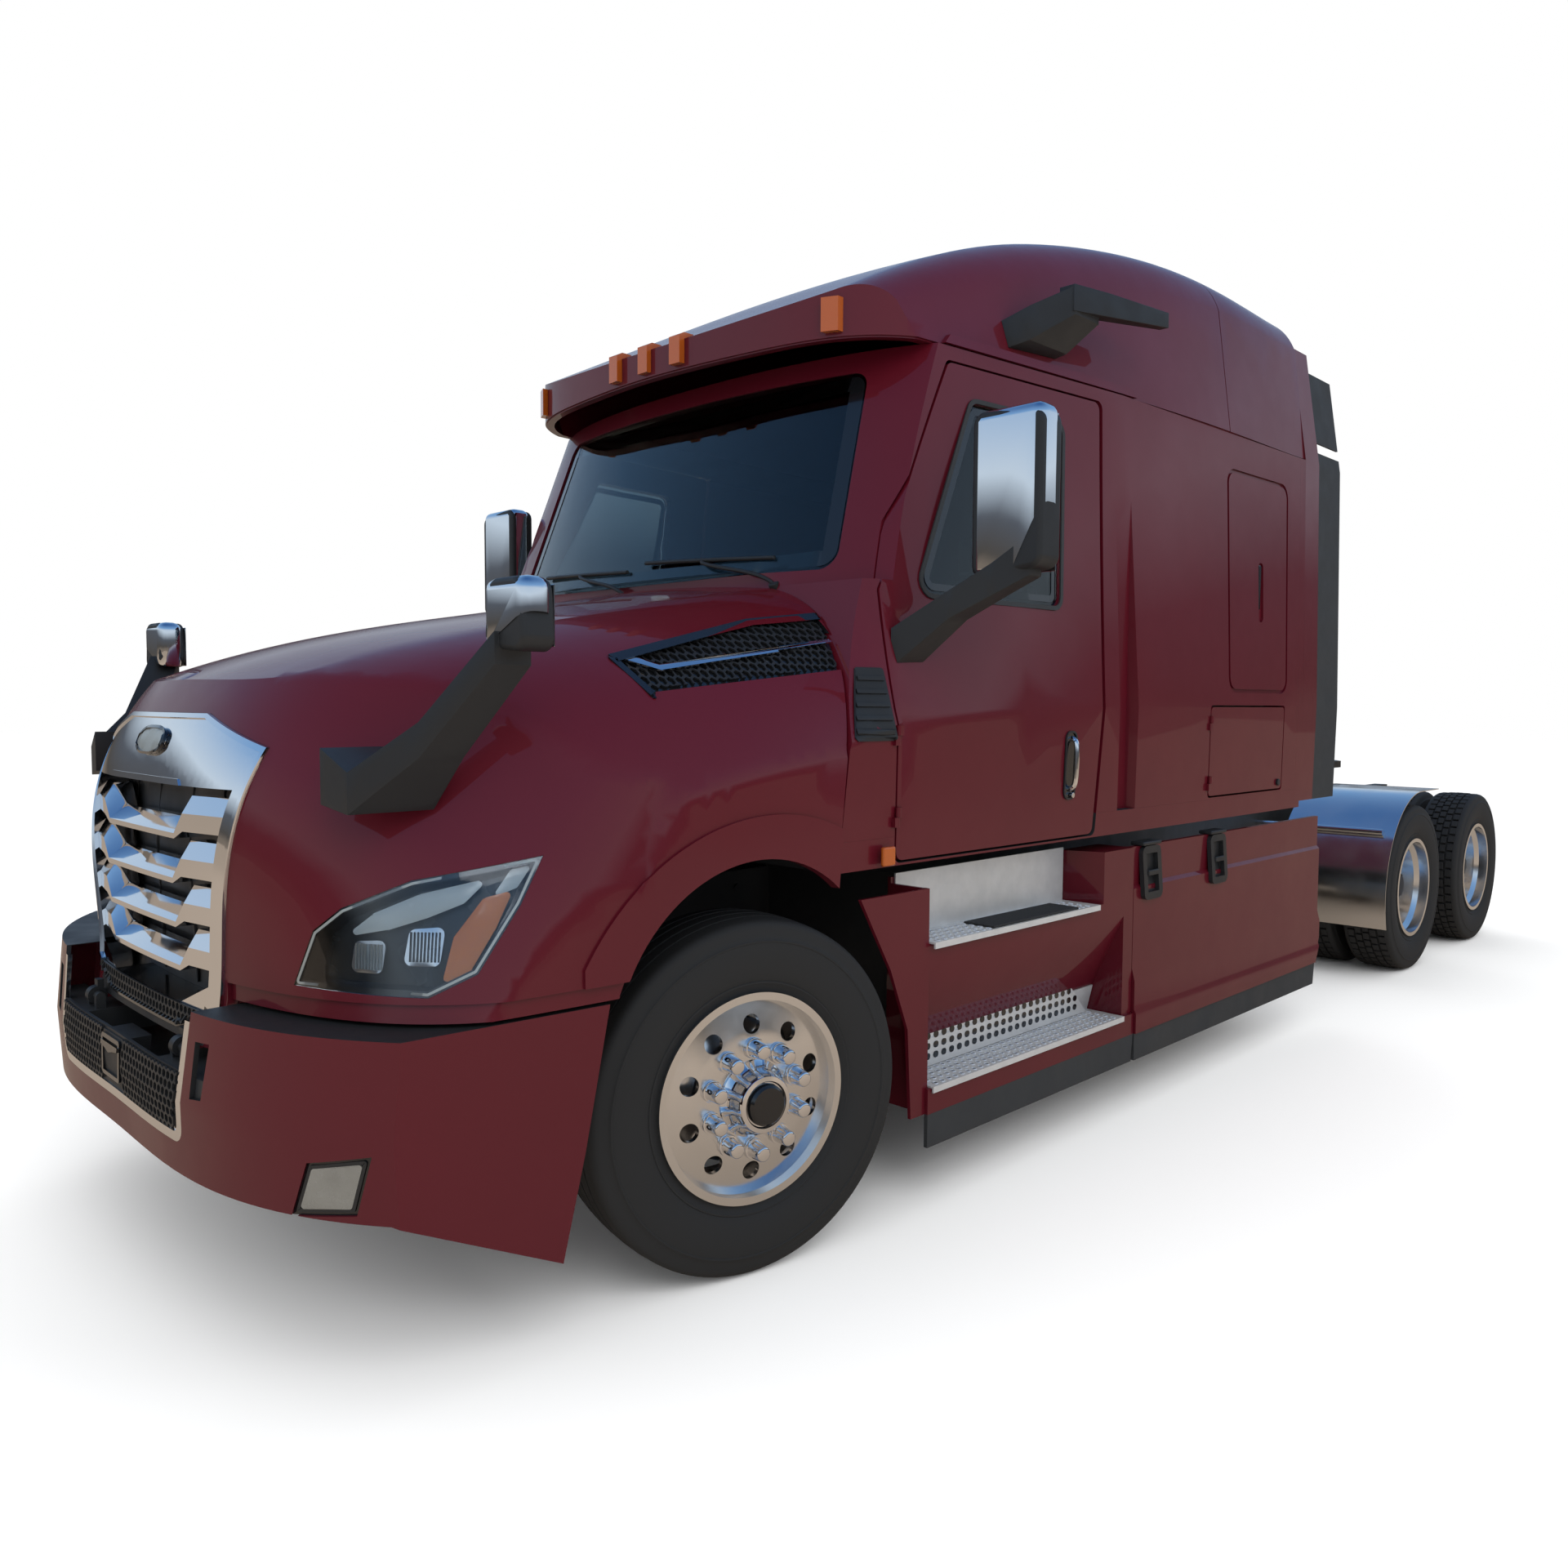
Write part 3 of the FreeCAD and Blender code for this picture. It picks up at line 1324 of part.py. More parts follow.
def steered(shape, side):
    """A piece of a steered wheel, turned about its kingpin to the resting angle."""
    turned_shape = shape.copy()
    turned_shape.rotate(V(side * kingpin_x, at(0), 0), V(0, 0, 1), steer_rest_deg)
    return turned_shape


def front_wheels():
    """Steered single wheels on their spindles."""
    disc_x = front_track_half + tyre_width / 2 - front_disc_inset
    barrel = rim_barrel(front_track_half, 0)
    disc = wheel_disc(disc_x, 0, -front_disc_crown, bead_radius - rim_wall + 1)
    hub = hub_and_drum(kingpin_x + 98, disc_x, front_track_half + tyre_width / 2 + 38, 0)
    rim = fused(barrel, disc, hub)
    tyre = tyre_ring(front_track_half, 0)
    save("tyre_front_left", [steered(tyre, 1)])
    save("tyre_front_right", [steered(mirrored(tyre), -1)])
    save("rim_front_left", [steered(rim, 1)])
    save("rim_front_right", [steered(mirrored(rim), -1)])


def drive_wheels():
    """Dual wheels, two rims bolted face to face on one hub."""
    for number, station in ((1, drive_s), (2, drive2_s)):
        tyres = [tyre_ring(dual_outer_x, station), tyre_ring(dual_inner_x, station)]
        reach = dual_spacing / 2 - dual_disc_root
        disc_r = rim_well_radius - rim_wall + 1
        outer = fused(rim_barrel(dual_outer_x, station), wheel_disc(dual_face_x, station, reach, disc_r))
        inner = fused(rim_barrel(dual_inner_x, station),
                      wheel_disc(dual_face_x - disc_thickness, station, disc_thickness - reach, disc_r))
        hub = hub_and_drum(dual_inner_x - 125, dual_face_x - disc_thickness, dual_outer_x + 20, station)
        rim = fused(outer, inner, hub)
        save("tyres_drive_%d_left" % number, tyres)
        save("tyres_drive_%d_right" % number, [mirrored(tyre) for tyre in tyres])
        save("rims_drive_%d_left" % number, [rim])
        save("rims_drive_%d_right" % number, [mirrored(rim)])


def knuckles():
    """Steering knuckles, each a fork on its kingpin with spindle and arm."""
    eye_half = axle_eye_height / 2
    low = axle_z - eye_half - running_gap - yoke_thickness
    high = axle_z + eye_half + running_gap
    pin = rod(kingpin_x, 0, low, (0, 0, 1), kingpin_radius, high + yoke_thickness - low)
    root_x = kingpin_x + axle_eye_radius + fork_back_gap
    back = block(root_x, root_x + fork_back, -fork_half, fork_half, low, high + yoke_thickness)
    lower = fused(rod(kingpin_x, 0, low, (0, 0, 1), fork_radius, yoke_thickness),
                  block(kingpin_x, root_x + 10, -fork_radius, fork_radius, low, low + yoke_thickness))
    upper = fused(rod(kingpin_x, 0, high, (0, 0, 1), fork_radius, yoke_thickness),
                  block(kingpin_x, root_x + 10, -fork_radius, fork_radius, high, high + yoke_thickness))
    spindle = rod(root_x + 20, 0, axle_z, (1, 0, 0), spindle_radius, front_track_half + 100 - root_x - 20)
    arm = block(kingpin_x - steer_arm_half, kingpin_x + steer_arm_half, 0, steer_arm_length, low,
                low + steer_arm_thickness)
    arm = fused(arm, rod(kingpin_x, steer_arm_length, low, (0, 0, 1), steer_eye_radius, steer_arm_thickness))
    stud = rod(kingpin_x, steer_arm_length, low - tie_rod_drop, (0, 0, 1), stud_radius, tie_rod_drop + 5)
    knuckle = fused(pin, back, lower, upper, spindle, arm, stud)
    save("knuckle_left", [steered(knuckle, 1)])
    save("knuckle_right", [steered(mirrored(knuckle), -1)])


def tie_rod():
    """The bar that joins the two steering arms below their studs."""
    low = axle_z - axle_eye_height / 2 - running_gap - yoke_thickness
    middle = low - tie_rod_drop / 2
    turn = math.radians(steer_rest_deg)
    shift_x = -steer_arm_length * math.sin(turn)
    shift_s = steer_arm_length * math.cos(turn)
    bar = rod(-kingpin_x + shift_x, shift_s, middle, (1, 0, 0), tie_rod_radius, 2 * kingpin_x)
    for side in (1, -1):
        x = side * kingpin_x + shift_x
        bar = bar.fuse(rod(x, shift_s, middle - tie_rod_end_height / 2, (0, 0, 1), tie_rod_end_radius,
                           tie_rod_end_height))
    for side in (1, -1):
        x = side * kingpin_x + shift_x
        bar = bar.cut(rod(x, shift_s, middle - 60, (0, 0, 1), stud_radius + running_gap, 120))
    save("tie_rod", [bar.removeSplitter()])


def front_axle():
    """The dropped beam with its kingpin eyes."""
    eye = rod(kingpin_x, 0, axle_z - axle_eye_height / 2, (0, 0, 1), axle_eye_radius, axle_eye_height)
    half_eye = axle_eye_height / 2
    profile = [
        (-kingpin_x, axle_z - half_eye + 10), (-beam_neck_x, axle_z - half_eye + 10),
        (-beam_drop_x, beam_low_z), (beam_drop_x, beam_low_z),
        (beam_neck_x, axle_z - half_eye + 10), (kingpin_x, axle_z - half_eye + 10),
        (kingpin_x, axle_z + half_eye - 10), (beam_neck_x, axle_z + half_eye - 10),
        (beam_drop_x, beam_top_z), (-beam_drop_x, beam_top_z),
        (-beam_neck_x, axle_z + half_eye - 10), (-kingpin_x, axle_z + half_eye - 10),
    ]
    beam = slab_y(profile, -beam_half_width, beam_half_width)
    beam = fused(beam, eye, mirrored(eye))
    bore = rod(kingpin_x, 0, 0, (0, 0, 1), kingpin_radius + running_gap, tyre_diameter)
    beam = beam.cut(bore).cut(mirrored(bore))
    return beam


def leaf_springs():
    """The leaf springs between the front axle and the rails."""
    rise = spring_eye_z
    leaf = [
        (-spring_half_length, rise), (-spring_half_length * 0.5, (rise + beam_top_z) / 2 - 55),
        (-70, beam_top_z + seat_gap), (70, beam_top_z + seat_gap),
        (spring_half_length * 0.5, (rise + beam_top_z) / 2 - 55), (spring_half_length, rise),
        (spring_half_length, rail_bottom_z - seat_gap), (spring_half_length - 60, rail_bottom_z - seat_gap),
        (spring_half_length * 0.5, (rise + beam_top_z) / 2 - 55 + spring_leaf),
        (70, beam_top_z + 2 * spring_leaf), (-70, beam_top_z + 2 * spring_leaf),
        (-spring_half_length * 0.5, (rise + beam_top_z) / 2 - 55 + spring_leaf),
        (60 - spring_half_length, rail_bottom_z - seat_gap), (-spring_half_length, rail_bottom_z - seat_gap),
    ]
    spring = slab_x(leaf, spring_x - spring_width / 2, spring_x + spring_width / 2)
    save("leaf_springs", pair(spring))


def frame():
    """Channel rails, their crossmembers and the outriggers of the side pieces."""
    x0 = rail_outer_x - rail_flange
    rail = block(x0, rail_outer_x, rail_front_s, rail_end_s, rail_bottom_z, rail_top_z)
    rail = rail.cut(block(x0 - 1, rail_outer_x - rail_wall, rail_front_s - 1, rail_end_s + 1,
                          rail_bottom_z + rail_wall, rail_top_z - rail_wall))
    beams = []
    half = rail_outer_x - rail_wall - seat_gap
    middle = (rail_top_z + rail_bottom_z) / 2
    for station in (rail_front_s + 40, gearbox_rear_s + 250, (gearbox_rear_s + drive_s) / 2,
                    drive_s - 620, tandem_s, rail_end_s - 40):
        front_s = station - crossmember_half
        channel = block(-half, half, front_s, front_s + 2 * crossmember_half,
                        middle - crossmember_height / 2, middle + crossmember_height / 2)
        channel = channel.cut(block(-half - 1, half + 1, front_s + crossmember_wall,
                                    front_s + 2 * crossmember_half + 1,
                                    middle - crossmember_height / 2 + crossmember_wall,
                                    middle + crossmember_height / 2 - crossmember_wall))
        tunnel = rod(0, station - 40, shaft_z, (0, 1, 0), shaft_radius + tunnel_gap, 80)
        beams.append(channel.cut(tunnel))
    save("chassis_frame", pair(rail) + beams)
    deck = block(-rail_outer_x, rail_outer_x, deck_front_s, deck_rear_s,
                 rail_top_z + seat_gap, rail_top_z + seat_gap + deck_wall)
    save("deck_plate", [deck])


def frame_brackets():
    """Outriggers, cab mounts and the front arms that carry the bumper and the hood pins."""
    pieces = []
    for station in skirt_outrigger_s:
        pieces.append(block(rail_outer_x + seat_gap, skirt_x - skirt_wall - seat_gap,
                            station - outrigger_half, station + outrigger_half,
                            outrigger_z - outrigger_half, outrigger_z + outrigger_half))
    for station in (step_front_s + 60, step_rear_s - 60):
        pieces.append(block(rail_outer_x + seat_gap, step_back_x - step_sheet - step_wall - 2 * seat_gap,
                            station - outrigger_half, station + outrigger_half,
                            outrigger_z - outrigger_half, outrigger_z + outrigger_half))
    for station in cab_mount_s:
        pieces.append(block(rail_outer_x - rail_flange, rail_outer_x, station - cab_mount_half,
                            station + cab_mount_half, rail_top_z + seat_gap, cab_floor_z - seat_gap))
    arm = block(front_arm_inner_x, front_arm_outer_x, far_front_s, front_arm_rear_s,
                front_arm_low_z, front_arm_top_z)
    head = block(front_arm_inner_x, front_head_outer_x, far_front_s, front_head_rear_s,
                 front_arm_low_z, front_arm_top_z)
    shoe = block(rail_outer_x - rail_flange, rail_outer_x, rail_front_s, front_arm_rear_s,
                 front_arm_low_z, rail_bottom_z - seat_gap)
    arm = fused(arm, head, shoe).common(bumper_volume(bumper_wall + seat_gap))
    cheeks = []
    reach = hood_lug_half + hood_cheek_gap + hood_cheek
    for x in (hood_lug_x - reach, hood_lug_x + reach - hood_cheek):
        cheeks.append(block(x, x + hood_cheek, hood_hinge_s - hood_pin_radius,
                            hood_hinge_s + hood_pin_radius, front_arm_low_z, hood_hinge_z))
    pin = pin_bar(hood_lug_x, hood_pin_radius, reach)
    pieces.append(fused(arm, cheeks[0], cheeks[1], pin))
    save("frame_brackets", pieces + [mirrored(piece) for piece in pieces])


def drive_axles():
    """Axle housings with their spindles, trailing arms and air springs."""
    solids = []
    for station in (drive_s, drive2_s):
        inner = dual_inner_x - 125 - 10
        housing = rod(-inner, station, axle_z, (1, 0, 0), axle_tube_radius, 2 * inner)
        tip = rod(-dual_outer_x + 10, station, axle_z, (1, 0, 0), spindle_radius, 2 * (dual_outer_x - 10))
        bowl = rod(-diff_half_width, station, axle_z, (1, 0, 0), diff_radius, 2 * diff_half_width)
        axle = fused(housing, tip, bowl)
        arm = block(trailing_arm_x - trailing_arm_half, trailing_arm_x + trailing_arm_half,
                    station - trailing_arm_front, station + trailing_arm_back,
                    axle_z + axle_tube_radius - 25, axle_z + axle_tube_radius + 20)
        post = block(trailing_arm_x - trailing_arm_half, trailing_arm_x + trailing_arm_half,
                     station - trailing_arm_front, station - trailing_arm_front + 60,
                     axle_z + axle_tube_radius, rail_bottom_z - seat_gap)
        bag = rod(trailing_arm_x, station + air_spring_back, axle_z + axle_tube_radius + 10, (0, 0, 1),
                  air_spring_radius, rail_bottom_z - seat_gap - axle_z - axle_tube_radius - 10)
        side = fused(arm, post, bag)
        solids.append(fused(axle, side, mirrored(side)))
    return solids


def powertrain():
    """The engine and gearbox as plain blocks, the drive shafts and the radiator."""
    engine = block(-engine_half, engine_half, engine_front_s, engine_rear_s, engine_low_z, engine_top_z)
    pan = block(-rail_outer_x + 100, rail_outer_x - 100, engine_front_s, engine_rear_s,
                engine_low_z, rail_top_z)
    upper = block(-engine_half, engine_half, engine_front_s, engine_rear_s, rail_top_z + 20, engine_top_z)
    neck = block(-rail_outer_x + 100, rail_outer_x - 100, engine_front_s, engine_rear_s,
                 engine_low_z, engine_top_z)
    gearbox = block(-gearbox_half, gearbox_half, engine_rear_s - 5, gearbox_rear_s, gearbox_low_z,
                    gearbox_top_z)
    shaft = rod(0, gearbox_rear_s - 5, shaft_z, (0, 1, 0), shaft_radius, drive_s - 400 - gearbox_rear_s)
    engine = engine.common(fused(pan, upper, neck))
    mount = block(-rail_outer_x, rail_outer_x, engine_mount_s - 40, engine_mount_s + 40,
                  rail_top_z + seat_gap, rail_top_z + 50)
    save("engine", [fused(engine, gearbox, shaft, mount)])
    core = block(-radiator_half, radiator_half, radiator_front_s, radiator_rear_s,
                 rail_top_z + seat_gap, radiator_top_z)
    core_low = block(-rail_outer_x + rail_flange + 10, rail_outer_x - rail_flange - 10,
                     radiator_front_s, radiator_rear_s, radiator_low_z, rail_top_z + 10)
    save("radiator", [fused(core, core_low)])


def side_pieces():
    """Tanks, skirts, steps and quarter fenders along both sides."""
    tank = rod(tank_x, tank_front_s, tank_z, (0, 1, 0), tank_radius, tank_rear_s - tank_front_s)
    strap = block(rail_outer_x + seat_gap, tank_x, tank_front_s + 300, tank_front_s + 360,
                  tank_z - 30, rail_bottom_z + 60)
    strap2 = block(rail_outer_x + seat_gap, tank_x, tank_rear_s - 360, tank_rear_s - 300,
                   tank_z - 30, rail_bottom_z + 60)
    save("fuel_tanks", pair(fused(tank, strap, strap2)))
    outer = skirt_form
    inner = [(x - skirt_wall, z) for x, z in reversed(outer)]
    skirt = slab_y(outer + inner, skirt_front_s, skirt_rear_s)
    side = slab_x([(skirt_front_s, skirt_low_z), (skirt_rear_s - skirt_rear_corner, skirt_low_z),
                   (skirt_rear_s, skirt_low_z + 2 * skirt_rear_corner), (skirt_rear_s, skirt_top_z),
                   (skirt_front_s, skirt_top_z)], 0, body_reach)
    save("side_skirts", pair(skirt.common(side)))
    save("step_fairings", pair(step_fairing()))
    steps = []
    for tread_z, rear_s, toe_x, toe_z in (
            (step_top_z, upper_tread_rear_s, step_back_x, upper_riser_top_z),
            (step_low_z, lower_tread_rear_s, step_toe_x, lower_toe_z)):
        under_z = tread_z - step_sheet
        edge_x = step_outer_x - step_sheet
        angle = [(step_outer_x, tread_z), (step_outer_x, tread_z - step_lip), (edge_x, tread_z - step_lip),
                 (edge_x, under_z), (step_back_x - step_sheet, under_z), (toe_x - step_sheet, toe_z),
                 (toe_x, toe_z), (step_back_x, tread_z)]
        steps.append(slab_y(angle, step_front_s + step_wall, rear_s))
    save("steps", pair(steps[0]) + pair(steps[1]))
    centre_s = drive_s
    centre = V(fender_inner_x, at(centre_s), axle_z)
    start = math.pi - math.asin((fender_low_z - axle_z) / fender_radius)
    end = math.pi / 2
    arc_outer = []
    for radius in (fender_radius, fender_radius + fender_wall):
        points = []
        for turn in (start, (start + end) / 2, end):
            points.append(centre + V(0, radius * math.cos(turn), radius * math.sin(turn)))
        arc_outer.append(points)
    inner, outer = arc_outer
    tail = V(0, fender_top_reach_s, 0)
    sheet = Part.Wire([
        Part.Arc(inner[0], inner[1], inner[2]).toShape(),
        Part.LineSegment(inner[2], inner[2] + tail).toShape(),
        Part.LineSegment(inner[2] + tail, outer[2] + tail).toShape(),
        Part.LineSegment(outer[2] + tail, outer[2]).toShape(),
        Part.Arc(outer[2], outer[1], outer[0]).toShape(),
        Part.LineSegment(outer[0], inner[0]).toShape(),
    ])
    sheet = Part.Face(sheet).extrude(V(fender_outer_x - fender_inner_x, 0, 0))
    tube_z = rail_bottom_z + rail_height / 2
    tube_reach = fender_radius + fender_wall + fender_tube_radius - 2
    tube_s = centre_s - math.sqrt(tube_reach ** 2 - (tube_z - axle_z) ** 2)
    tube = rod(rail_outer_x + seat_gap, tube_s, tube_z, (1, 0, 0), fender_tube_radius,
               fender_outer_x - rail_outer_x - 60)
    save("quarter_fenders", pair(fused(sheet, tube)))


def step_fairing():
    """The painted fairing round one side's steps, with its cheeks and ledges."""
    x0 = skirt_x - step_wall
    inner_x = step_back_x - step_sheet - seat_gap - step_wall
    back_x = inner_x + step_wall
    toe_x = step_toe_x - step_sheet - seat_gap
    shelf_z = step_low_z - step_sheet - seat_gap
    ledge_z = step_top_z - step_sheet - seat_gap
    front_top_z = skirt_top_z - fairing_drop
    rear_s = skirt_front_s - tread_gap
    side_s = step_side_s + step_wall
    front = slab_x(arch_corners + [(side_s, skirt_low_z), (side_s, front_top_z)], x0, skirt_x)
    cheek = block(inner_x, skirt_x, step_side_s, side_s, skirt_low_z, front_top_z)
    nosing_x = skirt_x + step_wall
    bearer = slab_y([(nosing_x, shelf_z), (nosing_x, skirt_low_z), (skirt_x, skirt_low_z),
                     (skirt_x, shelf_z - step_wall), (inner_x, shelf_z - step_wall), (inner_x, shelf_z)],
                    step_side_s, rear_s)
    wall = slab_y([(inner_x, shelf_z), (inner_x, lower_toe_z), (toe_x, lower_toe_z + step_wall),
                   (x0, upper_nosing_z), (x0, ledge_z - step_wall), (inner_x, ledge_z - step_wall),
                   (inner_x, ledge_z), (skirt_x, ledge_z), (skirt_x, upper_nosing_z - step_wall),
                   (toe_x, lower_toe_z), (back_x, lower_toe_z - step_wall), (back_x, shelf_z)],
                  step_side_s, rear_s)
    back = block(inner_x, back_x, step_side_s, rear_s, ledge_z - step_wall, upper_riser_top_z - step_wall)
    post_s = upper_tread_rear_s + tread_gap
    post = slab_z([(inner_x, post_s), (skirt_x, step_ledge_s), (skirt_x, rear_s), (inner_x, rear_s)],
                  ledge_z - step_wall, skirt_top_z)
    hollow = slab_z([(back_x, post_s + 2 * step_wall), (x0, step_ledge_s + step_wall), (x0, skirt_front_s),
                     (back_x, skirt_front_s)], step_top_z, skirt_top_z - step_wall)
    end_s = lower_tread_rear_s + tread_gap
    end = slab_z([(inner_x, end_s), (skirt_x, end_s + step_wall), (skirt_x, rear_s), (inner_x, rear_s)],
                 step_low_z - step_wall, step_top_z - step_wall)
    return fused(front, cheek, bearer, wall, back, post.cut(hollow), end)


def extenders():
    """Painted side extenders behind the sleeper with their rubber edges."""
    cab = cab_sections[-1]
    top = roof_sections[-1]

    def strip(wall, low_z, high_z, s0, s1):
        outer = [(cab.sill_x, low_z), (cab.crease_x, cab.crease_z), (cab.shoulder_x, cab.shoulder_z),
                 (cab.edge_x, roof_seam_z), (top.crease_x - 10, extender_top_z)]
        inner = [(x - wall, z) for x, z in reversed(outer)]
        band = block(0, body_reach, s0, s1, low_z, high_z)
        return slab_y(outer + inner, s0, s1).common(band)

    save("side_extenders", pair(strip(extender_wall, extender_low_z, extender_top_z,
                                      cab_rear_s + seat_gap, extender_rear_s)))
    low = strip(seal_wall, extender_low_z, seal_split_low_z, extender_rear_s + seat_gap, seal_rear_s)
    high = strip(seal_wall, seal_split_top_z, seal_top_z, extender_rear_s + seat_gap, seal_rear_s)
    edges = []
    lip_x = skirt_form[-1][0]
    for s0, s1, x in ((step_side_s, skirt_front_s - tread_gap, skirt_x + step_wall),
                      (skirt_front_s, skirt_rear_s - skirt_rear_corner, lip_x - edge_inset)):
        edges.append(slab_x([(s0, edge_low_z), (s1 - edge_wall, edge_low_z), (s1, skirt_low_z - seat_gap),
                             (s0, skirt_low_z - seat_gap)], x - edge_wall, x))
    save("rubber_edges", pair(low) + pair(high) + pair(edges[0]) + pair(edges[1]))


def coupling():
    """The fifth wheel: brackets on the rails and a plate that tilts on a pin."""
    bracket = slab_x([(coupling_s - 260, rail_top_z + seat_gap), (coupling_s + 260, rail_top_z + seat_gap),
                      (coupling_s + 70, coupling_pivot_z + 45), (coupling_s - 70, coupling_pivot_z + 45)],
                     rail_outer_x - 75, rail_outer_x - 25)
    pin = rod(rail_outer_x - 130, coupling_s, coupling_pivot_z, (1, 0, 0), coupling_pivot_radius, 130)
    save("coupling_base", pair(fused(bracket, pin)))
    half_w = coupling_plate_width / 2
    half_l = coupling_plate_length / 2
    low_z = coupling_top_z - coupling_plate_thickness
    plan = [
        (-half_w, coupling_s - half_l * 0.45), (-half_w * 0.62, coupling_s - half_l),
        (half_w * 0.62, coupling_s - half_l), (half_w, coupling_s - half_l * 0.45),
        (half_w, coupling_s + half_l * 0.35), (half_w * 0.55, coupling_s + half_l),
        (coupling_throat_half + 90, coupling_s + half_l), (coupling_throat_half / 2, coupling_s + 90),
        (-coupling_throat_half / 2, coupling_s + 90), (-coupling_throat_half - 90, coupling_s + half_l),
        (-half_w * 0.55, coupling_s + half_l), (-half_w, coupling_s + half_l * 0.35),
    ]
    plate = slab_z(plan, low_z, coupling_top_z)
    socket = rod(0, coupling_s, low_z - 1, (0, 0, 1), kingpin_socket_radius, coupling_plate_thickness + 2)
    throat = block(-kingpin_socket_radius, kingpin_socket_radius, coupling_s, coupling_s + 100,
                   low_z - 1, coupling_top_z + 1)
    ear = block(rail_outer_x - 135, rail_outer_x - 80, coupling_s - 60, coupling_s + 60,
                coupling_pivot_z - 45, low_z + 5)
    hole = rod(-body_reach, coupling_s, coupling_pivot_z, (1, 0, 0), coupling_pivot_radius + running_gap,
               2 * body_reach)
    plate = fused(plate, ear, mirrored(ear)).cut(hole).cut(socket).cut(throat)
    save("coupling_plate", [plate])


def cab_fittings():
    """The dashboard, steering wheel, seats and bunk inside the cab."""
    profile = [(dash_front_s, dash_low_z), (dash_rear_s - 120, dash_low_z), (dash_rear_s, dash_low_z + 160),
               (dash_rear_s - 60, dash_top_z), (dash_front_s, dash_top_z - 40)]
    dash = slab_x(profile, -dash_half, dash_half)
    pedestal = block(-dash_half + 100, dash_half - 100, dash_front_s, dash_front_s + 80,
                     cab_floor_z + floor_thickness + seat_gap, dash_low_z + 10)
    tilt = math.radians(wheel_tilt_deg)
    axis = V(0, math.cos(tilt) * 1.0, math.sin(tilt))
    hub_point = V(wheel_x, at(wheel_s), wheel_z)
    column_length = (wheel_s - dash_rear_s + 130) / math.cos(tilt)
    column = Part.makeCylinder(32, column_length, hub_point - axis * (column_length + 24), axis)
    save("dashboard", [fused(dash, pedestal, column)])
    ring = Part.makeTorus(wheel_rim_radius, wheel_grip_radius, hub_point, axis)
    boss = Part.makeCylinder(60, 46, hub_point - axis * 23, axis)
    across = V(1, 0, 0)
    spokes = []
    for direction in (across, across * -1, axis.cross(across)):
        spokes.append(Part.makeCylinder(12, wheel_rim_radius, hub_point, direction))
    save("steering_wheel", [fused(ring, boss, *spokes)])
    seat = slab_x([(seat_front_s, seat_low_z), (seat_back_s, seat_low_z),
                   (seat_back_s + seat_recline, seat_head_z),
                   (seat_back_s + seat_recline - seat_back_wall, seat_head_z),
                   (seat_back_s - seat_back_wall, seat_top_z), (seat_front_s, seat_top_z + 20)],
                  seat_x - seat_half, seat_x + seat_half)
    pedestal = block(seat_x - pedestal_half, seat_x + pedestal_half, seat_front_s + 80, seat_back_s - 60,
                     cab_floor_z + floor_thickness + seat_gap, seat_low_z + 5)
    save("seats", pair(fused(seat, pedestal)))
    bunk = block(-bunk_half, bunk_half, bunk_front_s, cab_rear_s - cab_wall - 2, bunk_low_z, bunk_top_z)
    base = block(-bunk_half, bunk_half, bunk_front_s + 60, cab_rear_s - cab_wall - 2,
                 cab_floor_z + floor_thickness + seat_gap, cab_floor_z + floor_thickness + seat_gap + 60)
    post = block(-bunk_half, bunk_half, bunk_front_s + 60, bunk_front_s + 90,
                 cab_floor_z + floor_thickness + seat_gap, bunk_low_z + 5)
    save("bunk", [fused(bunk, base, post)])


def mirrors():
    """Door mirrors on their arms, and the small mirrors on the hood."""
    head = slab_y([(mirror_inner_x, mirror_low_z), (mirror_outer_x, mirror_low_z + 30),
                   (mirror_outer_x, mirror_top_z - 20), (mirror_inner_x, mirror_top_z)],
                  mirror_front_s, mirror_rear_s, mirror_corner)
    head = softened(head, mirror_edge)
    arm = blade_x(mirror_arm).cut(cab_volume(-seat_gap))
    arm = max(arm.Solids, key=lambda solid: solid.Volume)
    save("door_mirror_left", [fused(head, arm)])
    save("door_mirror_right", [mirrored(fused(head, arm))])
    x, s, z = hood_mirror_x, hood_mirror_s, hood_mirror_z
    head = slab_y([(x - hood_mirror_half_x, z - hood_mirror_half_z + 15),
                   (x + hood_mirror_half_x, z - hood_mirror_half_z),
                   (x + hood_mirror_half_x - 15, z + hood_mirror_half_z),
                   (x - hood_mirror_half_x + 20, z + hood_mirror_half_z)],
                  s - hood_mirror_half_s, s + hood_mirror_half_s, 35.0)
    head = softened(head, hood_mirror_edge)
    arm = blade_x(hood_arm).cut(hood_volume(-seat_gap))
    arm = max(arm.Solids, key=lambda solid: solid.Volume)
    save("hood_mirrors", pair(fused(head, arm)))


def small_lamps():
    """Roof marker lamps over the visor and tail lamps at the frame end."""
    lamps = []
    for x in roof_lamp_x:
        lamp = block(x - roof_lamp_half, x + roof_lamp_half, 470, 780, roof_seam_z + 20, roof_seam_z + 130)
        shape = lamp.common(roof_volume(-roof_lamp_height).cut(roof_volume(-seat_gap)))
        lamps.append(shape)
        if x > 0:
            lamps.append(mirrored(shape))
    tail = block(rail_outer_x - 70, rail_outer_x - 1, rail_end_s + seat_gap, frame_end_s,
                 rail_bottom_z + 60, rail_bottom_z + 200)
    lamps.extend(pair(tail))
    fog = bumper_volume(fog_inset).cut(bumper_volume(fog_inset + fog_wall)).common(fog_prism(seat_gap))
    lamps.extend(pair(fog))
    save("small_lamps", lamps)


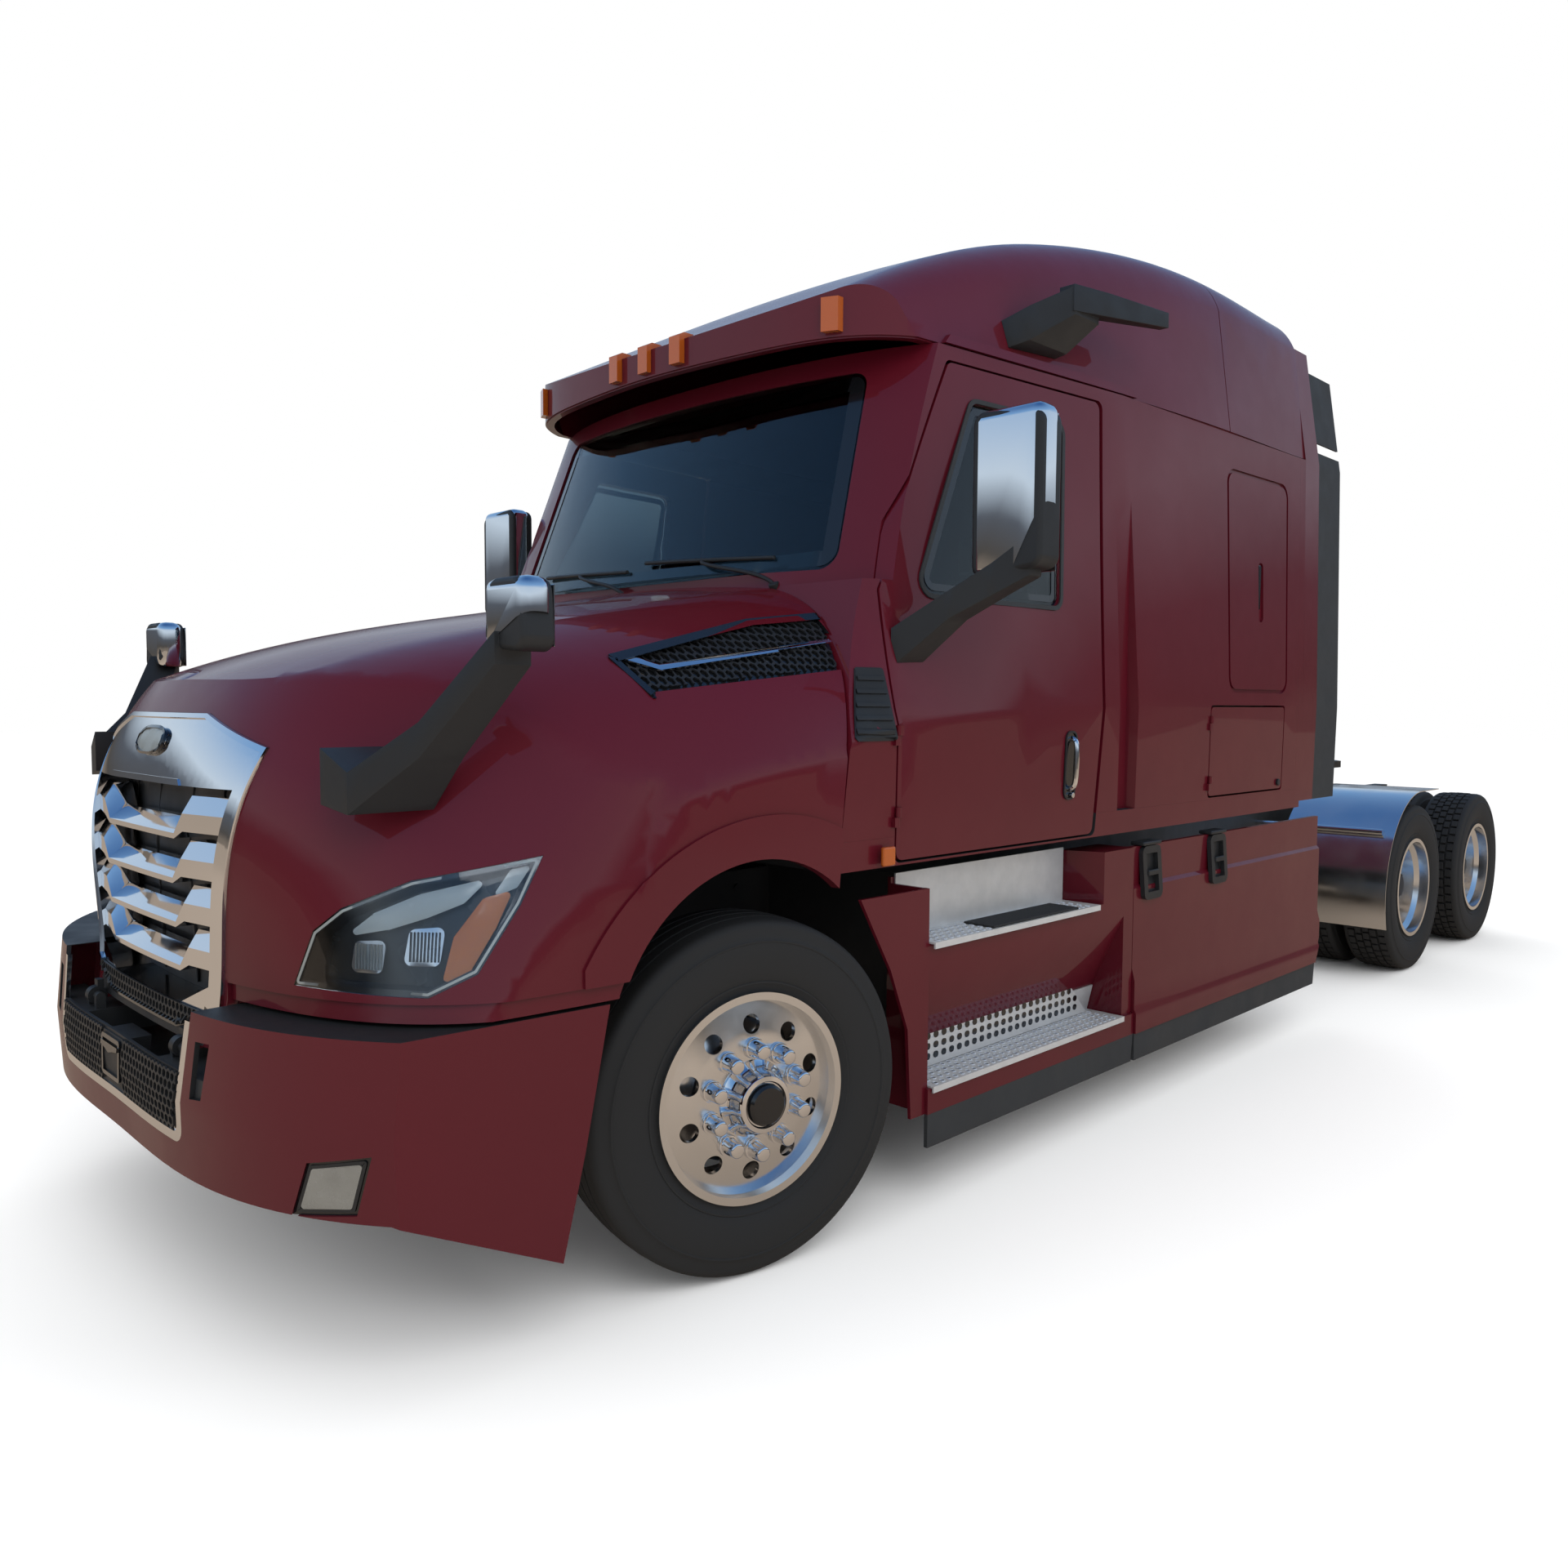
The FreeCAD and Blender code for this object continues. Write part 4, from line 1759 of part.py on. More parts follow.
cab_doors()
cab_body()
luggage_doors()
roof()
hood()
grille()
headlamps()
bumper()
front_wheels()
drive_wheels()
knuckles()
tie_rod()
save("axles", [front_axle()] + drive_axles())
leaf_springs()
frame()
frame_brackets()
powertrain()
side_pieces()
extenders()
coupling()
cab_fittings()
mirrors()
small_lamps()
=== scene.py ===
import json
import logging
import math
from contextlib import contextmanager
from dataclasses import dataclass
from enum import Enum
from typing import Any, Callable, Iterator, Sequence

import bpy
from mathutils import Matrix, Vector


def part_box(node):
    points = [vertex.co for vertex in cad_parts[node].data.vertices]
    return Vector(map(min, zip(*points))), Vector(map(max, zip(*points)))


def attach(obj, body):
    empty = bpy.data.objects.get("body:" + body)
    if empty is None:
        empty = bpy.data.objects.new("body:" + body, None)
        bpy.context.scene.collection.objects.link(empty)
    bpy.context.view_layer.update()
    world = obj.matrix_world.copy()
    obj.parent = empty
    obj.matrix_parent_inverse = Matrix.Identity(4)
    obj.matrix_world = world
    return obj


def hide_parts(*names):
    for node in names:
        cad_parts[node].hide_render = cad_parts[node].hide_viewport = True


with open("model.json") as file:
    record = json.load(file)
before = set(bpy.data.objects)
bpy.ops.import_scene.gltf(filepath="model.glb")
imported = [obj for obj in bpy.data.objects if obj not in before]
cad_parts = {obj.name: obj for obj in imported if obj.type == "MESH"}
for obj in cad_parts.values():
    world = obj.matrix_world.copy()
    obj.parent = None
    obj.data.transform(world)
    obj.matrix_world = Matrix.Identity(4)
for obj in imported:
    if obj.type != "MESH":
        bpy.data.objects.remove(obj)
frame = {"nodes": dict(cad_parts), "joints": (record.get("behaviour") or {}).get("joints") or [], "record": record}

log = logging.getLogger("tractor_unit")
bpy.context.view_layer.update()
MM = 0.001
MERGE = 0.01 * MM
SIDES = (("left", 1), ("right", -1))

# Short names for the types that most functions take
Piece = bpy.types.Object
Tree = bpy.types.NodeTree
Node = bpy.types.Node
Place = Sequence[float]
Spot = tuple[float, float, float]
Box = tuple[Spot, Spot]
Point = tuple[float, float]
Outline = Sequence[Point]
FaceTest = Callable[[Vector, Vector, list[Vector]], bool]

FRONT_AXLE_Y = next(found["pos_m"][1] for found in frame["record"]["behaviour"]["joints"]
                    if found["name"] == "steer_left")


def at(station: float) -> float:
    """Return the Y of a station, a distance in metres back from the front axle."""
    return FRONT_AXLE_Y + station


def place_of(spot: Spot) -> Spot:
    """Return the place in the frame of a spot, which is given as (x, station, z)."""
    return (spot[0], at(spot[1]), spot[2])


def linear(hex_colour: str) -> tuple[float, float, float, float]:
    """Turn an sRGB hex colour to the linear values that a shader takes.

    Args:
        hex_colour: A colour such as "#4A1626".

    Returns:
        Red, green, blue and an alpha of 1.
    """
    parts = []
    for start in (1, 3, 5):
        value = int(hex_colour[start:start + 2], 16) / 255
        parts.append(value / 12.92 if value <= 0.04045 else ((value + 0.055) / 1.055) ** 2.4)
    return (parts[0], parts[1], parts[2], 1.0)


def empty_tree(owner: bpy.types.Material | bpy.types.World) -> Tree:
    """Switch on the nodes of a material or world and return its emptied tree."""
    owner.use_nodes = True
    owner.node_tree.nodes.clear()
    return owner.node_tree


def add_node(tree: Tree, kind: str, settings: dict[str, Any] | None = None,
             links: dict[str, Any] | None = None) -> Node:
    """Add one shader node, set it and link its inputs.

    Args:
        tree: The node tree that takes the node.
        kind: Blender's name of the node's type.
        settings: Values by property name, or by input name or number.
        links: Output sockets by the input name or number that they feed.

    Returns:
        The new node.
    """
    node = tree.nodes.new(kind)
    for key, value in (settings or {}).items():
        if isinstance(key, str) and hasattr(node, key):
            setattr(node, key, value)
        else:
            node.inputs[key].default_value = value
    for key, socket in (links or {}).items():
        tree.links.new(socket, node.inputs[key])
    return node


class Relief(Enum):
    """How a surface's small relief is made."""

    SMOOTH = "smooth"
    GRAIN = "grain"
    BRUSHED = "brushed"
    WOVEN = "woven"
    RIBBED = "ribbed"


@dataclass(frozen=True)
class Finish:
    """One surface finish: colour, gloss, and a relief and clouding at their real spacing in millimetres."""

    name: str
    colour: str
    second: str | None = None
    metallic: float = 0.0
    roughness: float = 0.45
    roughness_spread: float = 0.08
    coat: float = 0.0
    transmission: float = 0.0
    ior: float = 1.5
    specular: float = 0.5
    relief: Relief = Relief.GRAIN
    relief_mm: float = 2.0
    depth_mm: float = 0.05
    cloud_mm: float = 400.0
    coat_roughness: float = 0.03
    brush_stretch: float = 0.02
    bands_per_wave: float = 20.0

    def material(self) -> bpy.types.Material:
        """Make this finish's material, once.

        Returns:
            The material.
        """
        known = bpy.data.materials.get(self.name)
        if known is not None:
            return known
        made = bpy.data.materials.new(self.name)
        tree = empty_tree(made)
        shader = add_node(tree, "ShaderNodeBsdfPrincipled", {
            "Metallic": self.metallic, "IOR": self.ior, "Specular IOR Level": self.specular,
            "Transmission Weight": self.transmission, "Coat Weight": self.coat,
            "Coat Roughness": self.coat_roughness})
        place = add_node(tree, "ShaderNodeTexCoord").outputs["Object"]
        self.lay_colour(tree, shader, place)
        self.lay_gloss(tree, shader, place)
        if self.relief is not Relief.SMOOTH:
            self.lay_relief(tree, shader, place)
        add_node(tree, "ShaderNodeOutputMaterial", links={"Surface": shader.outputs["BSDF"]})
        return made

    def lay_colour(self, tree: Tree, shader: Node, place: bpy.types.NodeSocket) -> None:
        """Give the base colour, clouded towards the second colour where there is one.

        Args:
            tree: The material's node tree.
            shader: Its surface shader.
            place: The coordinates that the pattern follows.
        """
        if self.second is None:
            shader.inputs["Base Color"].default_value = linear(self.colour)
            return
        cloud = add_node(tree, "ShaderNodeTexNoise", {"Scale": 1 / (self.cloud_mm * MM), "Detail": 4.0},
                         {"Vector": place})
        mix = add_node(tree, "ShaderNodeMix", {"data_type": "RGBA", 6: linear(self.colour),
                                               7: linear(self.second)}, {0: cloud.outputs["Fac"]})
        tree.links.new(mix.outputs[2], shader.inputs["Base Color"])

    def lay_gloss(self, tree: Tree, shader: Node, place: bpy.types.NodeSocket) -> None:
        """Give the roughness, worn a little unevenly.

        Args:
            tree: The material's node tree.
            shader: Its surface shader.
            place: The coordinates that the pattern follows.
        """
        if not self.roughness_spread:
            shader.inputs["Roughness"].default_value = self.roughness
            return
        wear = add_node(tree, "ShaderNodeTexNoise", {"Scale": 3 / (self.cloud_mm * MM), "Detail": 3.0},
                        {"Vector": place})
        spread = add_node(tree, "ShaderNodeMapRange", {
            "From Min": 0.3, "From Max": 0.7, "To Min": max(0.0, self.roughness - self.roughness_spread),
            "To Max": self.roughness + self.roughness_spread}, {"Value": wear.outputs["Fac"]})
        tree.links.new(spread.outputs["Result"], shader.inputs["Roughness"])

    def lay_relief(self, tree: Tree, shader: Node, place: bpy.types.NodeSocket) -> None:
        """Give the small relief as bump, at its real spacing.

        Args:
            tree: The material's node tree.
            shader: Its surface shader.
            place: The coordinates that the pattern follows.
        """
        scale = 1 / (self.relief_mm * MM)
        if self.relief is Relief.BRUSHED:
            stretched = add_node(tree, "ShaderNodeMapping", {"Scale": (self.brush_stretch, 1.0, 1.0)},
                                 {"Vector": place})
            height = add_node(tree, "ShaderNodeTexNoise", {"Scale": scale, "Detail": 2.0},
                              {"Vector": stretched.outputs["Vector"]}).outputs["Fac"]
        elif self.relief is Relief.RIBBED:
            height = add_node(tree, "ShaderNodeTexWave", {
                "bands_direction": "Z", "Scale": scale / self.bands_per_wave},
                              {"Vector": place}).outputs["Fac"]
        elif self.relief is Relief.WOVEN:
            height = add_node(tree, "ShaderNodeTexMagic", {"Scale": scale, "turbulence_depth": 1},
                              {"Vector": place}).outputs["Fac"]
        else:
            height = add_node(tree, "ShaderNodeTexNoise", {"Scale": scale, "Detail": 3.0},
                              {"Vector": place}).outputs["Fac"]
        bump = add_node(tree, "ShaderNodeBump", {"Strength": 1.0, "Distance": self.depth_mm * MM},
                        {"Height": height})
        tree.links.new(bump.outputs["Normal"], shader.inputs["Normal"])


# Two-stage maroon paint under clear lacquer: deep and glossy. The pigment touches the lacquer, so only the
# lacquer mirrors and the pigment under it adds almost no shine of its own
CAB_PAINT = Finish("maroon_lacquered_paint", "#4D0917", "#430713", metallic=0.0, roughness=0.5, specular=0.12,
                   coat=0.6, relief_mm=9.0, depth_mm=0.008, cloud_mm=900.0)
# Bright trim plate over plastic: a mirror with the slightest haze
CHROME = Finish("bright_chrome_plate", "#ECEDEF", metallic=1.0, roughness=0.06, roughness_spread=0.03,
                relief_mm=40.0, depth_mm=0.02)
# Injection-moulded black trim with a fine spark-eroded grain; the same black also stands as painted shade on the
# bumper's and hood's edges, in the cowl's recess and in the skirt latches' openings
BLACK_TRIM = Finish("moulded_black_polypropylene", "#17181A", "#1D1F21", roughness=0.5, relief_mm=1.2,
                    depth_mm=0.06)
# High-gloss black lamp and grille plastic; the same black also stands as painted shade in the punched holes of the
# steps
GLOSS_BLACK = Finish("gloss_black_polymer", "#0D0E10", roughness=0.12, roughness_spread=0.04, coat=0.5,
                     relief_mm=8.0, depth_mm=0.01)
# Carbon-filled tyre rubber: near black, dusty grey where it flexes
TYRE_RUBBER = Finish("tyre_rubber", "#141515", "#1B1C1D", roughness=0.78, relief_mm=1.5, depth_mm=0.12,
                     cloud_mm=120.0)
# Soft dark sealing rubber with fine ribs
SEAL_RUBBER = Finish("ribbed_seal_rubber", "#2B2D2F", "#232527", roughness=0.7, relief=Relief.RIBBED,
                     relief_mm=24.0, depth_mm=1.2)
# Forged wheel, machined and polished
POLISHED_ALLOY = Finish("polished_forged_aluminium", "#E6E7E8", metallic=1.0, roughness=0.2,
                        roughness_spread=0.06, relief_mm=3.0, depth_mm=0.01)
# Rolled and brushed tank sheet
BRUSHED_ALLOY = Finish("brushed_aluminium_sheet", "#AEB2B5", metallic=1.0, roughness=0.34,
                       relief=Relief.BRUSHED, relief_mm=1.5, depth_mm=0.02)
# Galvanised step grating
STEP_ALLOY = Finish("galvanised_step_plate", "#D2D4D6", "#B9BCBF", metallic=0.55, roughness=0.4,
                    relief_mm=5.0, depth_mm=0.08, cloud_mm=60.0)
# Wax-coated frame paint, satin and slightly dusty
FRAME_PAINT = Finish("satin_black_frame_paint", "#1F2123", "#2A2C2E", roughness=0.5, relief_mm=4.0,
                     depth_mm=0.08)
# Forgings and castings under thin dark paint: coarse-skinned and dull
CAST_IRON = Finish("painted_cast_iron", "#33353A", "#2B2D30", metallic=0.3, roughness=0.6, relief_mm=3.0,
                   depth_mm=0.25)
# Blue-grey engine enamel, half glossy under a film of oil and dust
ENGINE_PAINT = Finish("engine_enamel", "#3B4045", "#33373B", roughness=0.45, relief_mm=6.0, depth_mm=0.1)
# Bare cooling fins that read as fine dull-silver ribs
RADIATOR_FINS = Finish("radiator_fins", "#4C5054", metallic=0.8, roughness=0.5, relief=Relief.RIBBED,
                       relief_mm=8.0, depth_mm=0.8)
# Laminated windscreen with a light grey-green tint
WINDSCREEN_GLASS = Finish("laminated_glass", "#B9C4C4", transmission=1.0, roughness=0.0,
                          roughness_spread=0.0, ior=1.45, relief=Relief.SMOOTH)
# Toughened side glass, a shade darker than the windscreen
DOOR_GLASS = Finish("tinted_door_glass", "#8E9A9B", transmission=1.0, roughness=0.0,
                    roughness_spread=0.0, ior=1.45, relief=Relief.SMOOTH)
# Moulded headlamp cover: clear, colourless and sharp in its gloss
CLEAR_LENS = Finish("clear_polycarbonate", "#F2F5F7", transmission=1.0, roughness=0.02,
                    roughness_spread=0.0, ior=1.49, relief=Relief.SMOOTH)
# Marker lamp lens: deep orange when unlit, with pressed ribs
AMBER_LENS = Finish("amber_polycarbonate", "#8F430D", roughness=0.12, roughness_spread=0.0, coat=0.6,
                    relief=Relief.RIBBED, relief_mm=10.0, depth_mm=0.4)
# Turn lamp bowl seen through the clear cover: a lighter orange with broad ribs
TURN_LENS = Finish("amber_turn_lamp_bowl", "#E08322", "#D4741A", roughness=0.2, coat=0.6,
                   relief=Relief.RIBBED, relief_mm=14.0, depth_mm=0.4)
# Tail lamp lens: dark red when unlit, with pressed ribs
RED_LENS = Finish("red_polycarbonate", "#8E1114", roughness=0.12, roughness_spread=0.0, coat=0.6,
                  relief=Relief.RIBBED, relief_mm=10.0, depth_mm=0.4)
# Fog lamp glass over its bowl: frosted warm grey with fine ribs
FOG_LENS = Finish("frosted_fog_lens", "#74726C", "#5F5D58", roughness=0.25, coat=0.6, relief=Relief.RIBBED,
                  relief_mm=12.0, depth_mm=0.3, cloud_mm=60.0)
# Satin metallised rim that outlines each lamp with a soft pale line
LAMP_RIM = Finish("satin_lamp_rim", "#9A9F9E", metallic=0.6, roughness=0.35, relief_mm=6.0, depth_mm=0.02)
# Smoked bezel behind the cover, nearly black with a metallic haze
LAMP_GREY = Finish("smoked_lamp_bezel", "#22292D", "#1B2124", metallic=0.3, roughness=0.25, relief_mm=9.0,
                   depth_mm=0.03)
# Milky light guide that stays pale without being lit
LIGHT_BAR = Finish("milky_light_guide", "#D3DEDD", "#C3D0D0", roughness=0.22, coat=0.6, relief_mm=8.0,
                   depth_mm=0.05, cloud_mm=80.0)
# Silvered glass that shows only what stands before it
MIRROR_GLASS = Finish("silvered_mirror_glass", "#C9CED1", metallic=1.0, roughness=0.02, roughness_spread=0.01,
                      relief_mm=90.0, depth_mm=0.01)
# Adhesive tread mat: black grit without any gloss
GRIT_MAT = Finish("gritted_step_mat", "#1C1C1D", "#2B2B2B", roughness=0.9, relief_mm=3.0, depth_mm=0.9,
                  cloud_mm=8.0)
# Soft dashboard skin with a leathery grain, dim and brownish
DASH_PLASTIC = Finish("slush_moulded_dash_skin", "#2F2C2B", "#353231", roughness=0.6, relief_mm=2.5,
                      depth_mm=0.15)
# Felted floor and wall covering that takes up nearly all light
CABIN_LINER = Finish("dark_cabin_liner", "#232426", "#1C1D1F", roughness=0.85, relief_mm=3.0, depth_mm=0.2)
# Hard-wearing seat cloth whose weave shows as a warm dark grey
SEAT_FABRIC = Finish("woven_seat_fabric", "#3F3C3A", "#4A4643", roughness=0.9, relief=Relief.WOVEN,
                     relief_mm=5.0, depth_mm=0.3)
# Mattress cloth, paler and softer than the seats'
BUNK_FABRIC = Finish("woven_mattress_cover", "#5A5651", "#645F59", roughness=0.9, relief=Relief.WOVEN,
                     relief_mm=5.0, depth_mm=0.3)
# Leather worn smooth by hands, with a low sheen
WHEEL_LEATHER = Finish("stitched_wheel_leather", "#1B1B1C", roughness=0.5, relief_mm=2.0, depth_mm=0.12)
# Cast steel plate wet with black grease, glossy in patches
COUPLING_STEEL = Finish("greased_cast_steel", "#26272A", "#1B1A19", metallic=0.5, roughness=0.42,
                        relief_mm=6.0, depth_mm=0.2, cloud_mm=90.0)
# Rolled aluminium with raised lozenges that catch the light one by one
TREAD_PLATE = Finish("aluminium_tread_plate", "#A4A8AB", metallic=0.95, roughness=0.35,
                     relief=Relief.WOVEN, relief_mm=30.0, depth_mm=1.2)


def deselect_all() -> None:
    """Leave object mode with nothing selected and nothing active."""
    if bpy.context.mode != "OBJECT":
        bpy.ops.object.mode_set(mode="OBJECT")
    bpy.ops.object.select_all(action="DESELECT")
    bpy.context.view_layer.objects.active = None


def select_only(*pieces: Piece) -> None:
    """Select some objects and nothing else.

    Args:
        pieces: The objects, of which the first becomes the active one.
    """
    deselect_all()
    for piece in pieces:
        piece.select_set(True)
    bpy.context.view_layer.objects.active = pieces[0]


@contextmanager
def editing(piece: Piece, whole: bool = True) -> Iterator[None]:
    """Open a piece in edit mode and leave that mode again.

    Args:
        piece: The piece to edit.
        whole: Whether all of it gets selected, or only what was picked stays so.
    """
    select_only(piece)
    bpy.ops.object.mode_set(mode="EDIT")
    if whole:
        bpy.ops.mesh.select_all(action="SELECT")
    yield
    bpy.ops.object.mode_set(mode="OBJECT")


def pick(piece: Piece, kind: str, wanted: Callable[[Any], bool]) -> None:
    """Select a piece's corners or faces by a test, and nothing else of it.

    Args:
        piece: The piece.
        kind: "vertices" or "polygons".
        wanted: Says whether one of them is selected.
    """
    select_only(piece)
    bpy.ops.object.mode_set(mode="EDIT")
    bpy.ops.mesh.select_all(action="DESELECT")
    bpy.ops.object.mode_set(mode="OBJECT")
    for element in getattr(piece.data, kind):
        element.select = wanted(element)


def fresh(name: str) -> Piece:
    """Name the object that an operator has just added.

    Args:
        name: Its new name.

    Returns:
        That object.
    """
    piece = bpy.context.active_object
    piece.name = piece.data.name = name
    return piece


def settle(piece: Piece) -> None:
    """Put a piece's place, turn and size into its mesh."""
    select_only(piece)
    bpy.ops.object.transform_apply(location=True, rotation=True, scale=True)


def moved(piece: Piece, move: Matrix) -> Piece:
    """Move a piece and put the move into its mesh.

    Args:
        piece: A piece without a move of its own.
        move: The move or turn.

    Returns:
        The same piece.
    """
    piece.matrix_world = move
    settle(piece)
    return piece


def apply_all(piece: Piece) -> None:
    """Apply every modifier of a piece in turn.

    Args:
        piece: The piece.
    """
    select_only(piece)
    for name in [modifier.name for modifier in piece.modifiers]:
        bpy.ops.object.modifier_apply(modifier=name)


def modify(piece: Piece, kind: str, **settings: Any) -> None:
    """Put one modifier on a piece and apply it.

    Args:
        piece: The piece.
        kind: Blender's name of the modifier's type.
        settings: Its settings by property name, in the order to set them.
    """
    modifier = piece.modifiers.new(kind.lower(), kind)
    for key, value in settings.items():
        setattr(modifier, key, value)
    apply_all(piece)


def soften(piece: Piece, radius: float, segments: int = 2, angle: float = 35.0) -> None:
    """Round the sharp edges of a piece.

    Args:
        piece: The piece.
        radius: The radius of the edges.
        segments: Steps round each edge.
        angle: The least angle in degrees that counts as sharp.
    """
    modify(piece, "BEVEL", width=radius, segments=segments, limit_method="ANGLE",
           angle_limit=math.radians(angle))


def smooth(piece: Piece, angle: float = 35.0) -> None:
    """Shade a piece smooth but for edges sharper than an angle."""
    select_only(piece)
    bpy.ops.object.shade_smooth_by_angle(angle=math.radians(angle))


def outward(piece: Piece) -> None:
    """Merge a piece's doubles and point its faces outwards.

    Args:
        piece: The piece.
    """
    with editing(piece):
        bpy.ops.mesh.remove_doubles(threshold=MERGE)
        bpy.ops.mesh.normals_make_consistent(inside=False)


def brick(name: str, low: Place, high: Place, bevel: float = 0.0, segments: int = 2) -> Piece:
    """Model a block between two corners with rounded edges.

    Args:
        name: The piece's name.
        low: Its lowest corner in metres.
        high: Its highest corner in metres.
        bevel: The radius of its edges.
        segments: Steps round each edge.

    Returns:
        The block.
    """
    deselect_all()
    centre = [(a + b) / 2 for a, b in zip(low, high)]
    bpy.ops.mesh.primitive_cube_add(size=1.0, location=centre)
    piece = fresh(name)
    piece.scale = [b - a for a, b in zip(low, high)]
    settle(piece)
    if bevel:
        soften(piece, bevel, segments)
    return piece


def block(name: str, box: Box, bevel: float, segments: int = 2) -> Piece:
    """Model a block between two spots of the truck.

    Args:
        name: The piece's name.
        box: Its lowest and highest corner as (x, station, z).
        bevel: The radius of its edges.
        segments: Steps round each edge.

    Returns:
        The block.
    """
    return brick(name, place_of(box[0]), place_of(box[1]), bevel, segments)


def barrel(name: str, centre: Place, axis: Place, radius: float, length: float, bevel: float = 0.0,
           sides: int = 32, end_radius: float | None = None) -> Piece:
    """Model a round bar or cone about an axis.

    Args:
        name: The piece's name.
        centre: Its middle in metres.
        axis: Its direction.
        radius: Its radius at the near end.
        length: Its length along the axis.
        bevel: The radius of its end edges.
        sides: Sides round the bar.
        end_radius: Its radius at the far end, where that differs.

    Returns:
        The bar.
    """
    deselect_all()
    bpy.ops.mesh.primitive_cone_add(vertices=sides, radius1=radius, depth=length, location=(0, 0, 0),
                                    radius2=radius if end_radius is None else end_radius)
    piece = fresh(name)
    turn = Vector(axis).normalized().to_track_quat("Z", "Y").to_matrix().to_4x4()
    moved(piece, Matrix.Translation(Vector(centre)) @ turn)
    if bevel:
        soften(piece, bevel)
    return piece


def joined(name: str, pieces: Sequence[Piece]) -> Piece:
    """Join pieces of one finish to a single one.

    Args:
        name: The name of the whole.
        pieces: The pieces.

    Returns:
        The whole.
    """
    select_only(*pieces)
    if len(pieces) > 1:
        bpy.ops.object.join()
    return fresh(name)


def copied(piece: Piece, name: str) -> Piece:
    """Copy a piece with its own mesh.

    Args:
        piece: The piece.
        name: The copy's name.

    Returns:
        The copy.
    """
    twin = piece.copy()
    twin.data = piece.data.copy()
    twin.name = twin.data.name = name
    bpy.context.scene.collection.objects.link(twin)
    return twin


def across(piece: Piece, name: str) -> Piece:
    """Make the mirror image of a piece on the truck's other side.

    Args:
        piece: The piece.
        name: The mirror image's name.

    Returns:
        The mirror image.
    """
    twin = copied(piece, name)
    moved(twin, Matrix.Scale(-1, 4, (1, 0, 0)) @ twin.matrix_world)
    outward(twin)
    return twin


def dropped(*patterns: Piece) -> None:
    """Remove patterns that every copy has been made of."""
    for pattern in patterns:
        bpy.data.objects.remove(pattern)


def ringed(piece: Piece, count: int) -> None:
    """Repeat a piece's mesh evenly about the X axis, within the same piece.

    Args:
        piece: The piece.
        count: How often it stands on the ring.
    """
    with editing(piece):
        bpy.ops.mesh.spin(steps=count - 1, dupli=True, angle=2 * math.pi * (count - 1) / count,
                          center=(0, 0, 0), axis=(1, 0, 0))


def repeated(piece: Piece, count: int, offset: Place, merge: bool = False) -> None:
    """Repeat a piece's mesh in a row, within the same piece.

    Args:
        piece: The piece.
        count: How often it stands in the row.
        offset: The step from one to the next.
        merge: Whether corners that meet become one.
    """
    modify(piece, "ARRAY", count=count, use_relative_offset=False, use_constant_offset=True,
           constant_offset_displace=offset, use_merge_vertices=merge, merge_threshold=0.0002)


def trimmed(piece: Piece, point: Place, normal: Place) -> None:
    """Cut away what lies beyond a plane.

    Args:
        piece: The piece.
        point: A point of the plane.
        normal: The way to the part that goes.
    """
    with editing(piece):
        bpy.ops.mesh.bisect(plane_co=point, plane_no=normal, clear_outer=True)


def drawn(name: str, points: Sequence[Place], closed: bool, kind: str = "POLY", **settings: Any) -> Piece:
    """Turn a curve through points to a mesh.

    Args:
        name: The piece's name.
        points: The curve's points.
        closed: Whether the last point joins the first.
        kind: "POLY" for straight stretches or "NURBS" for rounded ones.
        settings: The curve's settings by property name, in the order to set them.

    Returns:
        The mesh.
    """
    deselect_all()
    curve = bpy.data.curves.new(name, "CURVE")
    for key, value in settings.items():
        setattr(curve, key, value)
    spline = curve.splines.new(kind)
    spline.points.add(len(points) - 1)
    for point, place in zip(spline.points, points):
        point.co = (*place, 0, 1) if len(place) == 2 else (*place, 1)
    if kind == "NURBS":
        spline.order_u = min(3, len(points))
        spline.use_endpoint_u = not closed
    spline.use_cyclic_u = closed
    line = bpy.data.objects.new(name, curve)
    bpy.context.scene.collection.objects.link(line)
    select_only(line)
    bpy.ops.object.convert(target="MESH")
    return fresh(name)


def lathe(name: str, profile: Outline, steps: int, closed: bool = True) -> Piece:
    """Spin a profile about the X axis at the origin.

    Args:
        name: The piece's name.
        profile: Points along the axis and out from it, in metres.
        steps: Steps round the axis.
        closed: Whether the last point joins the first.

    Returns:
        The turned piece, with its faces outwards.
    """
    piece = drawn(name, [(along, 0, radius) for along, radius in profile], closed, dimensions="3D")
    with editing(piece):
        bpy.ops.mesh.spin(steps=steps, angle=2 * math.pi, center=(0, 0, 0), axis=(1, 0, 0))
    outward(piece)
    smooth(piece)
    return piece


def tube(name: str, points: Sequence[Place], radius: float) -> Piece:
    """Model a round bar with rounded bends.

    Args:
        name: The piece's name.
        points: The points that it bends towards.
        radius: Its radius.

    Returns:
        The bar.
    """
    piece = drawn(name, points, False, "NURBS", dimensions="3D", bevel_depth=radius, bevel_resolution=3,
                  use_fill_caps=True)
    outward(piece)
    smooth(piece)
    return piece


def plate(name: str, outline: Outline, thickness: float, x: float) -> Piece:
    """Model a flat plate that faces the truck's side.

    Args:
        name: The piece's name.
        outline: Points of station and height.
        thickness: The plate's thickness.
        x: The place of its middle across the truck.

    Returns:
        The plate.
    """
    piece = drawn(name, outline, True, dimensions="2D", fill_mode="BOTH", extrude=thickness / 2)
    moved(piece, Matrix(((0, 0, 1, 0), (1, 0, 0, 0), (0, 1, 0, 0), (0, 0, 0, 1))))
    outward(piece)
    smooth(piece)
    return moved(piece, Matrix.Translation((x, FRONT_AXLE_Y, 0.0)))


